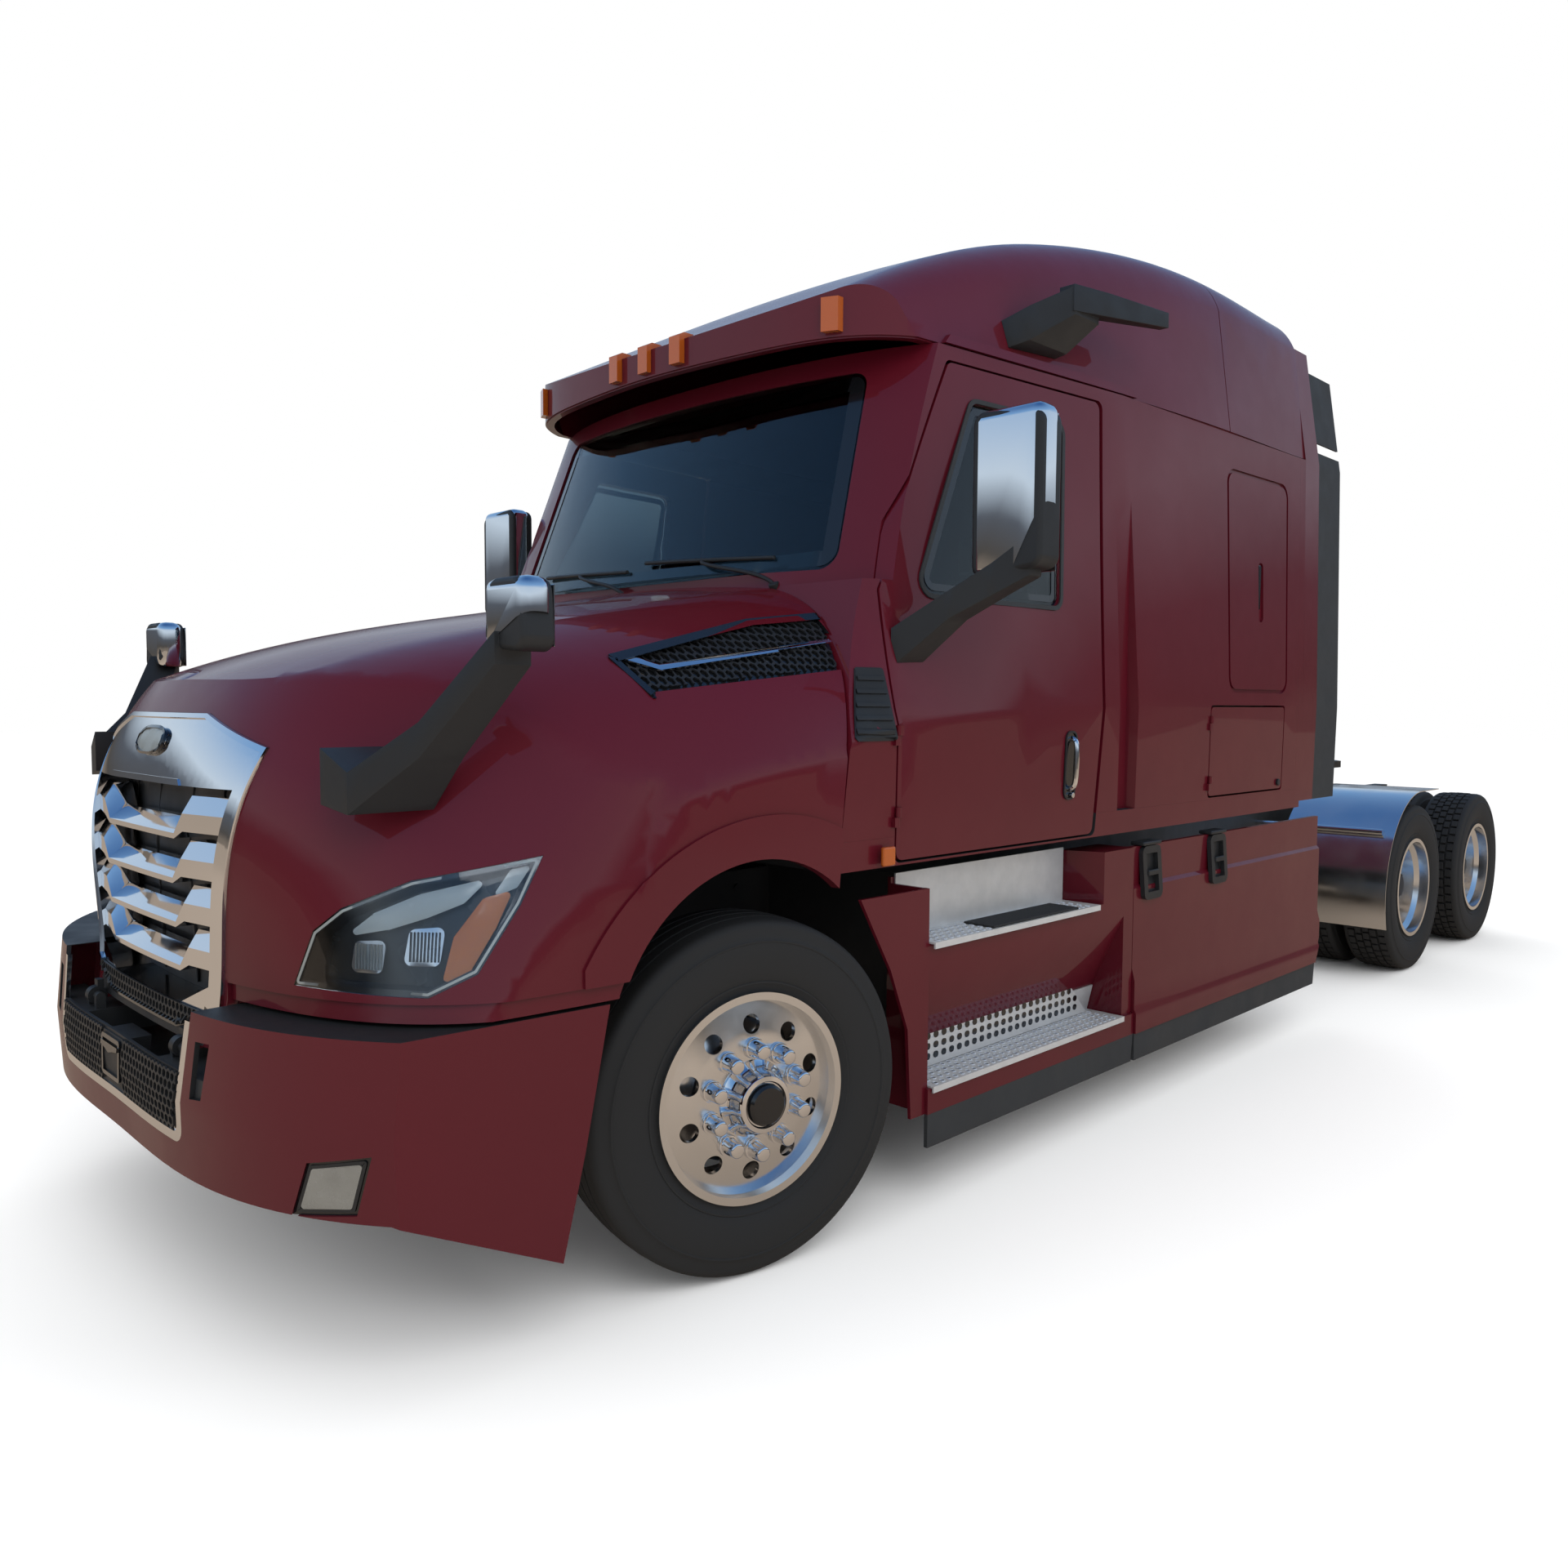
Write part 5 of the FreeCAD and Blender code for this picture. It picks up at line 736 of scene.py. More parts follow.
def arc(start: Point, bulge: Point, end: Point, steps: int) -> list[Point]:
    """Find points along the circle through three plane points.

    Args:
        start: The first point.
        bulge: A point between both ends.
        end: The last point.
        steps: Steps from the first to the last.

    Returns:
        The points, with both ends.
    """
    (ax, ay), (bx, by), (cx, cy) = start, bulge, end
    d = 2 * (ax * (by - cy) + bx * (cy - ay) + cx * (ay - by))
    ux = ((ax ** 2 + ay ** 2) * (by - cy) + (bx ** 2 + by ** 2) * (cy - ay)
          + (cx ** 2 + cy ** 2) * (ay - by)) / d
    uy = ((ax ** 2 + ay ** 2) * (cx - bx) + (bx ** 2 + by ** 2) * (ax - cx)
          + (cx ** 2 + cy ** 2) * (bx - ax)) / d
    radius = math.hypot(ax - ux, ay - uy)
    first, through, last = (math.atan2(y - uy, x - ux) for x, y in ((ax, ay), (bx, by), (cx, cy)))
    turn = (last - first) % (2 * math.pi)
    if (through - first) % (2 * math.pi) > turn:
        turn -= 2 * math.pi
    angles = [first + turn * k / steps for k in range(steps + 1)]
    return [(ux + radius * math.cos(angle), uy + radius * math.sin(angle)) for angle in angles]


def rounded(outline: Outline, radius: float, steps: int = 5) -> list[Point]:
    """Round each corner of a closed outline.

    Args:
        outline: The outline's corners.
        radius: The corners' radius, made less where a side is short.
        steps: Steps round a corner.

    Returns:
        The rounded outline.
    """
    longest_share, straight = 0.45, math.radians(88)
    found = []
    for index, place in enumerate(outline):
        corner = Vector(place)
        before = Vector(outline[index - 1]) - corner
        after = Vector(outline[(index + 1) % len(outline)]) - corner
        half = before.angle(after) / 2
        reach = min(radius / math.tan(half), before.length * longest_share, after.length * longest_share)
        fit = reach * math.tan(half)
        before.normalize()
        after.normalize()
        middle = corner + (before + after).normalized() * (fit / math.sin(half) - fit)
        found.extend(arc(corner + before * reach, middle, corner + after * reach, steps)
                     if half < straight else [tuple(corner)])
    return found


def box_of(low_u: float, low_v: float, high_u: float, high_v: float) -> list[Point]:
    """Return the outline of an upright rectangle from two corners."""
    return [(low_u, low_v), (high_u, low_v), (high_u, high_v), (low_u, high_v)]


def sides_of(outline: Outline) -> list[tuple[Vector, Vector]]:
    """Return the ends of each side of a closed outline."""
    corners = [Vector(place) for place in outline]
    return list(zip(corners, corners[1:] + corners[:1]))


def dense(outline: Outline, step: float) -> list[Point]:
    """Set points along a closed outline.

    Args:
        outline: The outline.
        step: The most that two points are apart.

    Returns:
        The outline with more points.
    """
    found = []
    for a, b in sides_of(outline):
        pieces = max(1, math.ceil((b - a).length / step))
        found.extend(tuple(a.lerp(b, k / pieces)) for k in range(pieces))
    return found


def middle_of(outline: Outline) -> Vector:
    """Return the mean of an outline's corners."""
    return sum((Vector(place) for place in outline), Vector((0, 0))) / len(outline)


def outer_normal(a: Vector, b: Vector, middle: Vector) -> Vector:
    """Find the way out of an outline across one side.

    Args:
        a: The side's first end.
        b: Its other end.
        middle: A point within the outline.

    Returns:
        The side's normal away from that point.
    """
    normal = Vector((b.y - a.y, a.x - b.x)).normalized()
    return normal if normal.dot(a - middle) >= 0 else -normal


def grown(outline: Outline, reach: float) -> list[Point]:
    """Move each side of a convex outline outwards.

    Args:
        outline: The outline.
        reach: How far, or less than nothing for inwards.

    Returns:
        The larger or smaller outline.
    """
    parallel = 1e-6
    middle = middle_of(outline)
    sides = sides_of(outline)
    found = []
    for index, (here, after) in enumerate(sides):
        lines = [(a + outer_normal(a, b, middle) * reach, (b - a).normalized())
                 for a, b in (sides[index - 1], (here, after))]
        (p, u), (q, v) = lines
        cross = u.x * v.y - u.y * v.x
        along = ((q - p).x * v.y - (q - p).y * v.x) / cross if abs(cross) > parallel else (here - p).dot(u)
        found.append(tuple(p + u * along))
    return found


def inside(point: Point, outline: Outline) -> bool:
    """Say whether a plane point lies in a convex outline.

    Args:
        point: The point.
        outline: The outline.

    Returns:
        Whether it is on the same side of every edge.
    """
    sides = [(b.x - a.x) * (point[1] - a.y) - (b.y - a.y) * (point[0] - a.x) > 0
             for a, b in sides_of(outline)]
    return all(sides) or not any(sides)


def honeycomb(name: str, outline: Outline, pitch: float, wall: float) -> Piece:
    """Model a flat honeycomb in the XZ plane, trimmed to a convex outline.

    Args:
        name: The piece's name.
        outline: Points of the outline, in order.
        pitch: The distance between the cells' middles.
        wall: The thickness of the walls between cells.

    Returns:
        The honeycomb, without thickness.
    """
    low, high = ([end(place[k] for place in outline) for k in (0, 1)] for end in (min, max))
    rise = pitch * math.sqrt(3)
    deselect_all()
    bpy.ops.mesh.primitive_circle_add(vertices=6, radius=pitch / math.sqrt(3), fill_type="NGON",
                                      location=(low[0], 0, low[1]), rotation=(math.radians(90), 0, 0))
    piece = fresh(name)
    settle(piece)
    with editing(piece):
        bpy.ops.mesh.inset(thickness=wall / 2)
        bpy.ops.mesh.delete(type="FACE")
    repeated(piece, math.ceil((high[0] - low[0]) / pitch) + 2, (pitch, 0, 0), True)
    repeated(piece, 2, (-pitch / 2, 0, rise / 2), True)
    repeated(piece, math.ceil((high[1] - low[1]) / rise) + 1, (0, 0, rise), True)
    middle = middle_of(outline)
    for a, b in sides_of(outline):
        normal = outer_normal(a, b, middle)
        trimmed(piece, (a.x, 0, a.y), (normal.x, 0, normal.y))
    return piece


class Side(Enum):
    """The way that laid-on trim faces: where it is pressed from, its turn in degrees and its direction."""

    FLANK = ((3.0, FRONT_AXLE_Y, 0.0), 90.0, (1, 0, 0))
    NOSE = ((0.0, -8.0, 0.0), 0.0, (0, -1, 0))
    LAMP = ((2.0, FRONT_AXLE_Y - 2.0, 0.0), 45.0, (1, -1, 0))

    def start(self) -> Matrix:
        """Return the place that a flat piece of the XZ plane is pressed from."""
        place, degrees, _ = self.value
        return Matrix.Translation(place) @ Matrix.Rotation(math.radians(degrees), 4, "Z")

    def outwards(self) -> Vector:
        """Return the direction that the trim faces."""
        return Vector(self.value[2])


def laid_on(piece: Piece, node: str, side: Side, offset: float, thickness: float) -> Piece:
    """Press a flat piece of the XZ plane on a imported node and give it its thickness.

    Args:
        piece: The flat piece.
        node: The node that it lies on.
        side: The way it faces.
        offset: Its height over the node's surface.
        thickness: Its thickness.

    Returns:
        The same piece.
    """
    piece.matrix_world = side.start()
    modify(piece, "SHRINKWRAP", target=frame["nodes"][node], wrap_method="PROJECT", use_project_y=True,
           use_negative_direction=False, use_positive_direction=True, wrap_mode="ABOVE_SURFACE",
           offset=offset)
    drop_missed(piece)
    settle(piece)
    total = sum((face.normal * face.area for face in piece.data.polygons), Vector((0, 0, 0)))
    if total.dot(side.outwards()) < 0:
        with editing(piece):
            bpy.ops.mesh.flip_normals()
    modify(piece, "SOLIDIFY", thickness=thickness, offset=1.0)
    smooth(piece)
    return piece


def drop_missed(piece: Piece) -> None:
    """Delete the corners of a pressed piece that met nothing and stayed in its own plane.

    Args:
        piece: The pressed piece, before its move is put into its mesh.
    """
    unmoved = 0.1 * MM
    pick(piece, "vertices", lambda corner: abs(corner.co.y) < unmoved)
    with editing(piece, whole=False):
        bpy.ops.mesh.delete(type="VERT")


def skin(name: str, outline: Outline, node: str, side: Side, offset: float, thickness: float,
         width: float = 0.0, corner: float = 0.0, step: float = 0.03) -> Piece:
    """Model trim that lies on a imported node: a sheet, or a border where a width is given.

    Args:
        name: The piece's name.
        outline: Plane points: (x, z) on the nose, (station, z) on the flank, (along, z) on a lamp.
        node: The node that it lies on.
        side: The way it faces.
        offset: Its height over the node's surface.
        thickness: Its thickness.
        width: The width of a border, or nothing for a whole sheet.
        corner: The radius of its outline's corners.
        step: The most that its outline's points are apart.

    Returns:
        The trim.
    """
    sheet_margin = 0.002
    points = dense(rounded(outline, corner) if corner else list(outline), step)
    piece = drawn(name, points, True, dimensions="2D", fill_mode="FRONT")
    with editing(piece):
        bpy.ops.mesh.remove_doubles(threshold=MERGE)
        bpy.ops.mesh.dissolve_limited(angle_limit=0.01)
        bpy.ops.mesh.inset(thickness=width or sheet_margin, use_boundary=True)
        if width:
            bpy.ops.mesh.delete(type="FACE")
        else:
            bpy.ops.mesh.quads_convert_to_tris()
            bpy.ops.mesh.subdivide(number_cuts=2)
    moved(piece, Matrix.Rotation(math.radians(90), 4, "X"))
    return laid_on(piece, node, side, offset, thickness)


def dress(piece: Piece, finish: Finish, body: str) -> Piece:
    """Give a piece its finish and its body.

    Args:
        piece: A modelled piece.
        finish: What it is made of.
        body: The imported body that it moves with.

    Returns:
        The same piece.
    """
    piece.data.materials.clear()
    piece.data.materials.append(finish.material())
    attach(piece, body)
    log.info("%s rides on %s", piece.name, body)
    return piece


def both_sides(piece: Piece, finish: Finish, body: str) -> None:
    """Dress a piece of the left side and its mirror image.

    Args:
        piece: The left piece.
        finish: What both are made of.
        body: The body that they move with, with SIDE for left or right in its name.
    """
    name = piece.name
    twin = across(piece, f"{name}_right")
    piece.name = piece.data.name = f"{name}_left"
    dress(piece, finish, body.replace("SIDE", "left"))
    dress(twin, finish, body.replace("SIDE", "right"))


def paint_faces(node: str, finish: Finish, wanted: FaceTest) -> None:
    """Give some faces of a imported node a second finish.

    Args:
        node: The node's name.
        finish: The second finish.
        wanted: Says from a face's middle, normal and corners whether it takes that finish.
    """
    mesh = frame["nodes"][node].data
    mesh.materials.append(finish.material())
    index = len(mesh.materials) - 1
    for face in mesh.polygons:
        if wanted(face.center, face.normal, [mesh.vertices[k].co for k in face.vertices]):
            face.material_index = index


def between(x_low: float = -1.0, x_high: float = 9.0, z_low: float = -1.0, z_high: float = 9.0) -> FaceTest:
    """Make a test of whether all of a face lies in a band, the same on both sides of the truck.

    Args:
        x_low: The band's near limit from the truck's middle.
        x_high: Its far limit.
        z_low: Its lowest height.
        z_high: Its greatest height.

    Returns:
        The test for paint_faces.
    """
    return lambda centre, normal, corners: all(
        x_low < abs(p.x) < x_high and z_low < p.z < z_high for p in corners)


@dataclass
class PaintShop:
    """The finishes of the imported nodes, by the words that their names begin with."""

    finishes: tuple[tuple[Finish, tuple[str, ...]], ...] = (
        (CAB_PAINT, ("hood_shell", "bumper", "cab", "door", "luggage", "sleeper", "roof", "side_skirts",
                     "side_extenders", "step_fairings")),
        (BLACK_TRIM, ("hood_mirrors", "door_mirror", "camera_arms", "grille_back", "bumper_grille")),
        (CHROME, ("grille_surround", "grille_bars")), (GLOSS_BLACK, ("headlamps",)),
        (CLEAR_LENS, ("headlamp_lenses",)), (AMBER_LENS, ("small_lamps",)),
        (WINDSCREEN_GLASS, ("windscreen",)), (DOOR_GLASS, ("door_glass",)),
        (SEAL_RUBBER, ("rubber_edges",)), (TYRE_RUBBER, ("tyre",)),
        (POLISHED_ALLOY, ("rim", "quarter")), (BRUSHED_ALLOY, ("fuel",)), (STEP_ALLOY, ("steps",)),
        (TREAD_PLATE, ("deck",)), (FRAME_PAINT, ("chassis_frame", "frame_brackets", "axles")),
        (CAST_IRON, ("leaf", "knuckle", "tie_rod")), (COUPLING_STEEL, ("coupling",)),
        (ENGINE_PAINT, ("engine",)), (RADIATOR_FINS, ("radiator",)), (CABIN_LINER, ("cab_floor",)),
        (DASH_PLASTIC, ("dashboard",)), (WHEEL_LEATHER, ("steering_wheel",)), (SEAT_FABRIC, ("seats",)),
        (BUNK_FABRIC, ("bunk",)))
    eased: tuple[str, ...] = ("hood_mirrors", "door_mirror", "camera_arms")
    ease_radius: float = 0.012
    ease_angle: float = 25.0
    edge_angle: float = 30.0
    tail_y: float = 3.0
    fog_top: float = 0.7

    def dress_nodes(self) -> None:
        """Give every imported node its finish, with the longest word that fits its name."""
        starts = {start: finish for finish, names in self.finishes for start in names}
        for name, node in sorted(frame["nodes"].items()):
            finish = starts[max((start for start in starts if name.startswith(start)), key=len)]
            node.data.materials.clear()
            node.data.materials.append(finish.material())
            log.info("node %s: %s", name, finish.name)
            self.round_off(node)
        self.colour_lamps()

    def round_off(self, node: Piece) -> None:
        """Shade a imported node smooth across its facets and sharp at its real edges.

        Args:
            node: The node, which keeps the modifiers unapplied.
        """
        select_only(node)
        bpy.ops.mesh.customdata_custom_splitnormals_clear()
        node.data.polygons.foreach_set("use_smooth", [True] * len(node.data.polygons))
        node.modifiers.new("weld", "WELD").merge_threshold = MERGE
        if node.name.startswith(self.eased):
            ease = node.modifiers.new("ease", "BEVEL")
            ease.width = self.ease_radius
            ease.segments = 3
            ease.limit_method = "ANGLE"
            ease.angle_limit = math.radians(self.ease_angle)
        node.modifiers.new("split", "EDGE_SPLIT").split_angle = math.radians(self.edge_angle)

    def colour_lamps(self) -> None:
        """Give the tail lamps and the fog lamps their own lenses."""
        paint_faces("small_lamps", RED_LENS, lambda c, n, corners: c.y > self.tail_y)
        paint_faces("small_lamps", GLOSS_BLACK, lambda c, n, corners: c.z < self.fog_top and c.y < 0.0)


@dataclass(frozen=True)
class SoftBox:
    """One square soft light, with its place and target as (x, station, z), its size and its watts."""

    name: str
    place: Spot
    target: Spot
    size: float
    watts: float

    def hang(self) -> None:
        """Hang the light and aim it, unseen in the truck's gloss."""
        data = bpy.data.lights.new(self.name, "AREA")
        data.size = self.size
        data.energy = self.watts
        lamp = bpy.data.objects.new(self.name, data)
        lamp.visible_glossy = False
        bpy.context.scene.collection.objects.link(lamp)
        place, target = (Vector(place_of(spot)) for spot in (self.place, self.target))
        turn = (target - place).to_track_quat("-Z", "Y").to_matrix().to_4x4()
        lamp.matrix_world = Matrix.Translation(place) @ turn


@dataclass
class Studio:
    """The pale floor, the soft lights and the camera at the photograph's angle."""

    eye: Spot = (3.480, -2.284, 1.607)
    azimuth: float = 44.832
    pitch: float = -3.418
    roll: float = 0.328
    lens: float = 26.91
    sensor: float = 36.0
    shift_x: float = 0.001
    shift_y: float = -0.007
    floor_half: float = 60.0
    floor_drop: float = 0.0005
    floor_roughness: float = 0.9
    floor_colour: str = "#FDFDFD"
    ground_colour: str = "#A39485"
    sky_colour: str = "#F8F9FA"
    sky_strength: float = 1.12
    gloss_strength: float = 1.3
    sky_stops: tuple[tuple[float, str], ...] = ((0.0, "#6B6259"), (1.0, "#2F5488"), (0.03, "#45423F"),
                                                (0.12, "#4B5058"), (0.22, "#B4C2CF"), (0.5, "#6C93BE"))
    lamps: tuple[SoftBox, ...] = (
        SoftBox("key_lamp", (8.5, -3.5, 9.0), (0.4, 1.0, 1.4), 7.0, 420.0),
        SoftBox("side_lamp", (10.0, 5.5, 6.0), (0.8, 3.5, 1.8), 4.0, 150.0),
        SoftBox("front_lamp", (-3.5, -9.0, 6.0), (0.0, -1.0, 1.2), 4.0, 120.0),
        SoftBox("back_lamp", (-7.0, 9.0, 7.0), (0.0, 3.0, 1.8), 5.0, 120.0))

    def build(self) -> None:
        """Make the camera, the floor, the world and the lamps."""
        self.place_camera()
        self.lay_floor()
        self.light_world()
        for lamp in self.lamps:
            lamp.hang()
        bpy.context.scene.view_settings.view_transform = "Standard"

    def place_camera(self) -> None:
        """Stand the camera where the photographer stood."""
        turn, dip, lean = (math.radians(a) for a in (self.azimuth, self.pitch, self.roll))
        ahead = Vector((-math.sin(turn) * math.cos(dip), math.cos(turn) * math.cos(dip), math.sin(dip)))
        level = Vector((math.cos(turn), math.sin(turn), 0))
        rise = level.cross(ahead)
        right = level * math.cos(lean) + rise * math.sin(lean)
        up = rise * math.cos(lean) - level * math.sin(lean)
        data = bpy.data.cameras.new("camera")
        data.lens = self.lens
        data.sensor_width = self.sensor
        data.shift_x = self.shift_x
        data.shift_y = self.shift_y
        data.clip_start = 0.05
        data.clip_end = 200.0
        camera = bpy.data.objects.new("camera", data)
        bpy.context.scene.collection.objects.link(camera)
        axes = Matrix((right, up, -ahead)).transposed().to_4x4()
        camera.matrix_world = Matrix.Translation(place_of(self.eye)) @ axes
        bpy.context.scene.camera = camera

    def mixed(self, tree: Tree, ray: str, otherwise: bpy.types.NodeSocket, hit: bpy.types.NodeSocket
              ) -> bpy.types.NodeSocket:
        """Mix two shaders by the kind of ray that meets them.

        Args:
            tree: The node tree.
            ray: The Light Path output that says the kind.
            otherwise: The shader for all other rays.
            hit: The shader for such a ray.

        Returns:
            The mixed shader.
        """
        path = add_node(tree, "ShaderNodeLightPath")
        return add_node(tree, "ShaderNodeMixShader", links={0: path.outputs[ray], 1: otherwise, 2: hit}
                        ).outputs["Shader"]

    def lay_floor(self) -> None:
        """Lay the floor that is white behind the truck, keeps its shadow and looks darker in gloss."""
        deselect_all()
        bpy.ops.mesh.primitive_plane_add(size=2 * self.floor_half, location=(0, 0, -self.floor_drop))
        floor = fresh("studio_floor")
        settle(floor)
        made = bpy.data.materials.new("pale_floor_paint")
        tree = empty_tree(made)
        seen, mirrored = (add_node(tree, "ShaderNodeBsdfPrincipled", {
            "Base Color": linear(colour), "Roughness": self.floor_roughness, "Specular IOR Level": 0.0}
            ).outputs["BSDF"] for colour in (self.floor_colour, self.ground_colour))
        shown = self.mixed(tree, "Is Glossy Ray", seen, mirrored)
        add_node(tree, "ShaderNodeOutputMaterial", links={"Surface": shown})
        floor.data.materials.append(made)

    def light_world(self) -> None:
        """Light the truck evenly, with a sky in its gloss that darkens upwards and white behind it."""
        world = bpy.data.worlds.new("studio_sky")
        bpy.context.scene.world = world
        tree = empty_tree(world)
        place = add_node(tree, "ShaderNodeTexCoord").outputs["Generated"]
        height = add_node(tree, "ShaderNodeSeparateXYZ", links={"Vector": place}).outputs["Z"]
        ramp = add_node(tree, "ShaderNodeValToRGB", links={"Fac": height})
        found = ramp.color_ramp.elements
        for index, (stop, colour) in enumerate(self.sky_stops):
            element = found[index] if index < 2 else found.new(stop)
            element.position = stop
            element.color = linear(colour)
        gloss = add_node(tree, "ShaderNodeBackground", {"Strength": self.gloss_strength},
                         {"Color": ramp.outputs["Color"]})
        even = add_node(tree, "ShaderNodeBackground", {"Color": linear(self.sky_colour),
                                                       "Strength": self.sky_strength})
        seen = add_node(tree, "ShaderNodeBackground", {"Color": (1, 1, 1, 1), "Strength": 1.0})
        lit = self.mixed(tree, "Is Glossy Ray", even.outputs["Background"], gloss.outputs["Background"])
        shown = self.mixed(tree, "Is Camera Ray", lit, seen.outputs["Background"])
        add_node(tree, "ShaderNodeOutputWorld", links={"Surface": shown})


def joint(name: str) -> dict[str, Any]:
    """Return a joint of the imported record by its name."""
    return next(found for found in frame["joints"] if found["name"] == name)


@dataclass
class Tyre:
    """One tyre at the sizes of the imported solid, with its tread and mouldings."""

    radius: float = 0.506
    half_width: float = 0.1375
    bead_x: float = 0.1115
    seat_radius: float = 0.2988
    bead_radius: float = 0.2865
    belly_radius: float = 0.396
    shoulder_low: Point = (0.1295, 0.472)
    shoulder_high: Point = (0.1235, 0.492)
    tread_edge: Point = (0.1035, 0.5)
    ring_places: tuple[int, ...] = (0, 8)
    ring_half: float = 0.004
    ring_height: float = 0.0022
    groove_depth: float = 0.014
    groove_width: float = 0.010
    groove_foot: float = 0.6
    groove_places: tuple[float, ...] = (-0.068, -0.024, 0.024, 0.068)
    rib_width: float = 0.022
    blocks_round: int = 54
    block_rows: tuple[tuple[float, float, float], ...] = (
        (-0.102, 0.036, 0.0), (-0.058, 0.034, 0.5), (-0.0175, 0.034, 0.2), (0.0235, 0.034, 0.7),
        (0.066, 0.036, 0.5))
    block_share: float = 0.39
    block_depth: float = 0.018
    block_inset: float = 0.0003
    block_edge: float = 0.0025
    steps: int = 120

    def side(self) -> list[Point]:
        """Draw one sidewall with its moulded rings.

        Returns:
            Points from the bead to the tread's edge.
        """
        seat = (self.bead_x, self.seat_radius)
        wall = arc(seat, (self.half_width, self.belly_radius), self.shoulder_low, steps=12)
        shoulder = arc(self.shoulder_low, self.shoulder_high, self.tread_edge, steps=4)
        half, height = self.ring_half, self.ring_height
        found = [(self.bead_x, self.bead_radius), seat, wall[1]]
        for index, (x, r) in enumerate(wall[2:]):
            if index in self.ring_places:
                found += [(x + 0.0005, r - half), (x + height, r - half / 2), (x + height, r + half / 2),
                          (x, r + half)]
            else:
                found.append((x, r))
        return found + shoulder[1:]

    def crown_at(self, x: float) -> float:
        """Return the tread's radius at a place across it."""
        edge_x, edge_radius = self.tread_edge
        return self.radius - (self.radius - edge_radius) * (x / edge_x) ** 2

    def grooved(self, crown: list[Point]) -> list[Point]:
        """Cut the grooves of a steer tyre.

        Args:
            crown: Points across the plain tread, from left to right.

        Returns:
            The tread's points with the grooves.
        """
        half = self.groove_width / 2
        clear = half + 0.002
        found = []
        for place in sorted(self.groove_places, reverse=True):
            found += [(x, r) for x, r in crown if place + self.rib_width > x > place + clear]
            top = self.crown_at(place)
            foot = top - self.groove_depth
            found += [(place + half, top), (place + half * self.groove_foot, foot),
                      (place - half * self.groove_foot, foot), (place - half, top)]
        return found + [(x, r) for x, r in crown if self.groove_places[0] - 0.008 > x > -0.1]

    def profile(self, grooves: bool) -> list[Point]:
        """Draw the whole cross section.

        Args:
            grooves: Whether the tread is grooved, or plain and low under blocks.

        Returns:
            The points round the section.
        """
        right = self.side()
        edge_x, edge_radius = self.tread_edge
        crown = arc(self.tread_edge, (0.0, self.radius), (-edge_x, edge_radius), steps=40)
        tread = self.grooved(crown) if grooves else [(x, r - self.groove_depth) for x, r in crown[1:-1]]
        return right + tread + [(-x, r) for x, r in reversed(right)]

    def drive_tyre(self) -> Piece:
        """Model a drive tyre with staggered blocks on its carcass.

        Returns:
            The tyre about the X axis at the origin.
        """
        carcass = lathe("drive_tyre", self.profile(False), self.steps)
        half_pitch = math.pi * self.radius / self.blocks_round
        reach = 2 * half_pitch * self.block_share
        blocks = []
        for start, width, stagger in self.block_rows:
            top = self.crown_at(start + width / 2)
            lug = brick("block", (start, -reach, top - self.block_depth),
                        (start + width, reach, top - self.block_inset), self.block_edge, segments=1)
            turn = stagger * 2 * math.pi / self.blocks_round
            blocks.append(moved(lug, Matrix.Rotation(turn, 4, "X")))
        row = joined("tread_blocks", blocks)
        ringed(row, self.blocks_round)
        smooth(row, angle=30.0)
        return joined("drive_tyre", [carcass, row])

    def build(self) -> None:
        """Fit tyres on every wheel in place of the plain solids."""
        self.fit_steer_tyres()
        self.fit_drive_tyres()

    def fit_steer_tyres(self) -> None:
        """Fit the two steer tyres on their turned axes."""
        pattern = lathe("steer_tyre", self.profile(True), self.steps)
        for side, _ in SIDES:
            spin = joint(f"spin_front_{side}")
            turn = math.atan2(spin["axis"][1], spin["axis"][0])
            piece = moved(copied(pattern, f"steer_tyre_{side}"),
                          Matrix.Translation(Vector(spin["pos_m"])) @ Matrix.Rotation(turn, 4, "Z"))
            dress(piece, TYRE_RUBBER, f"front_wheel_{side}")
            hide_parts(f"tyre_front_{side}")
        dropped(pattern)

    def fit_drive_tyres(self) -> None:
        """Fit the eight drive tyres, two on each hub."""
        pattern = self.drive_tyre()
        for number in (1, 2):
            for side, _ in SIDES:
                node = f"tyres_drive_{number}_{side}"
                low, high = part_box(node)
                spin = joint(f"spin_drive_{number}_{side}")["pos_m"]
                for end, x in (("near", low.x + self.half_width), ("far", high.x - self.half_width)):
                    piece = moved(copied(pattern, f"drive_tyre_{number}_{side}_{end}"),
                                  Matrix.Translation((x, spin[1], spin[2])))
                    dress(piece, TYRE_RUBBER, f"drive_wheels_{number}_{side}")
                    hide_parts(node)
        dropped(pattern)


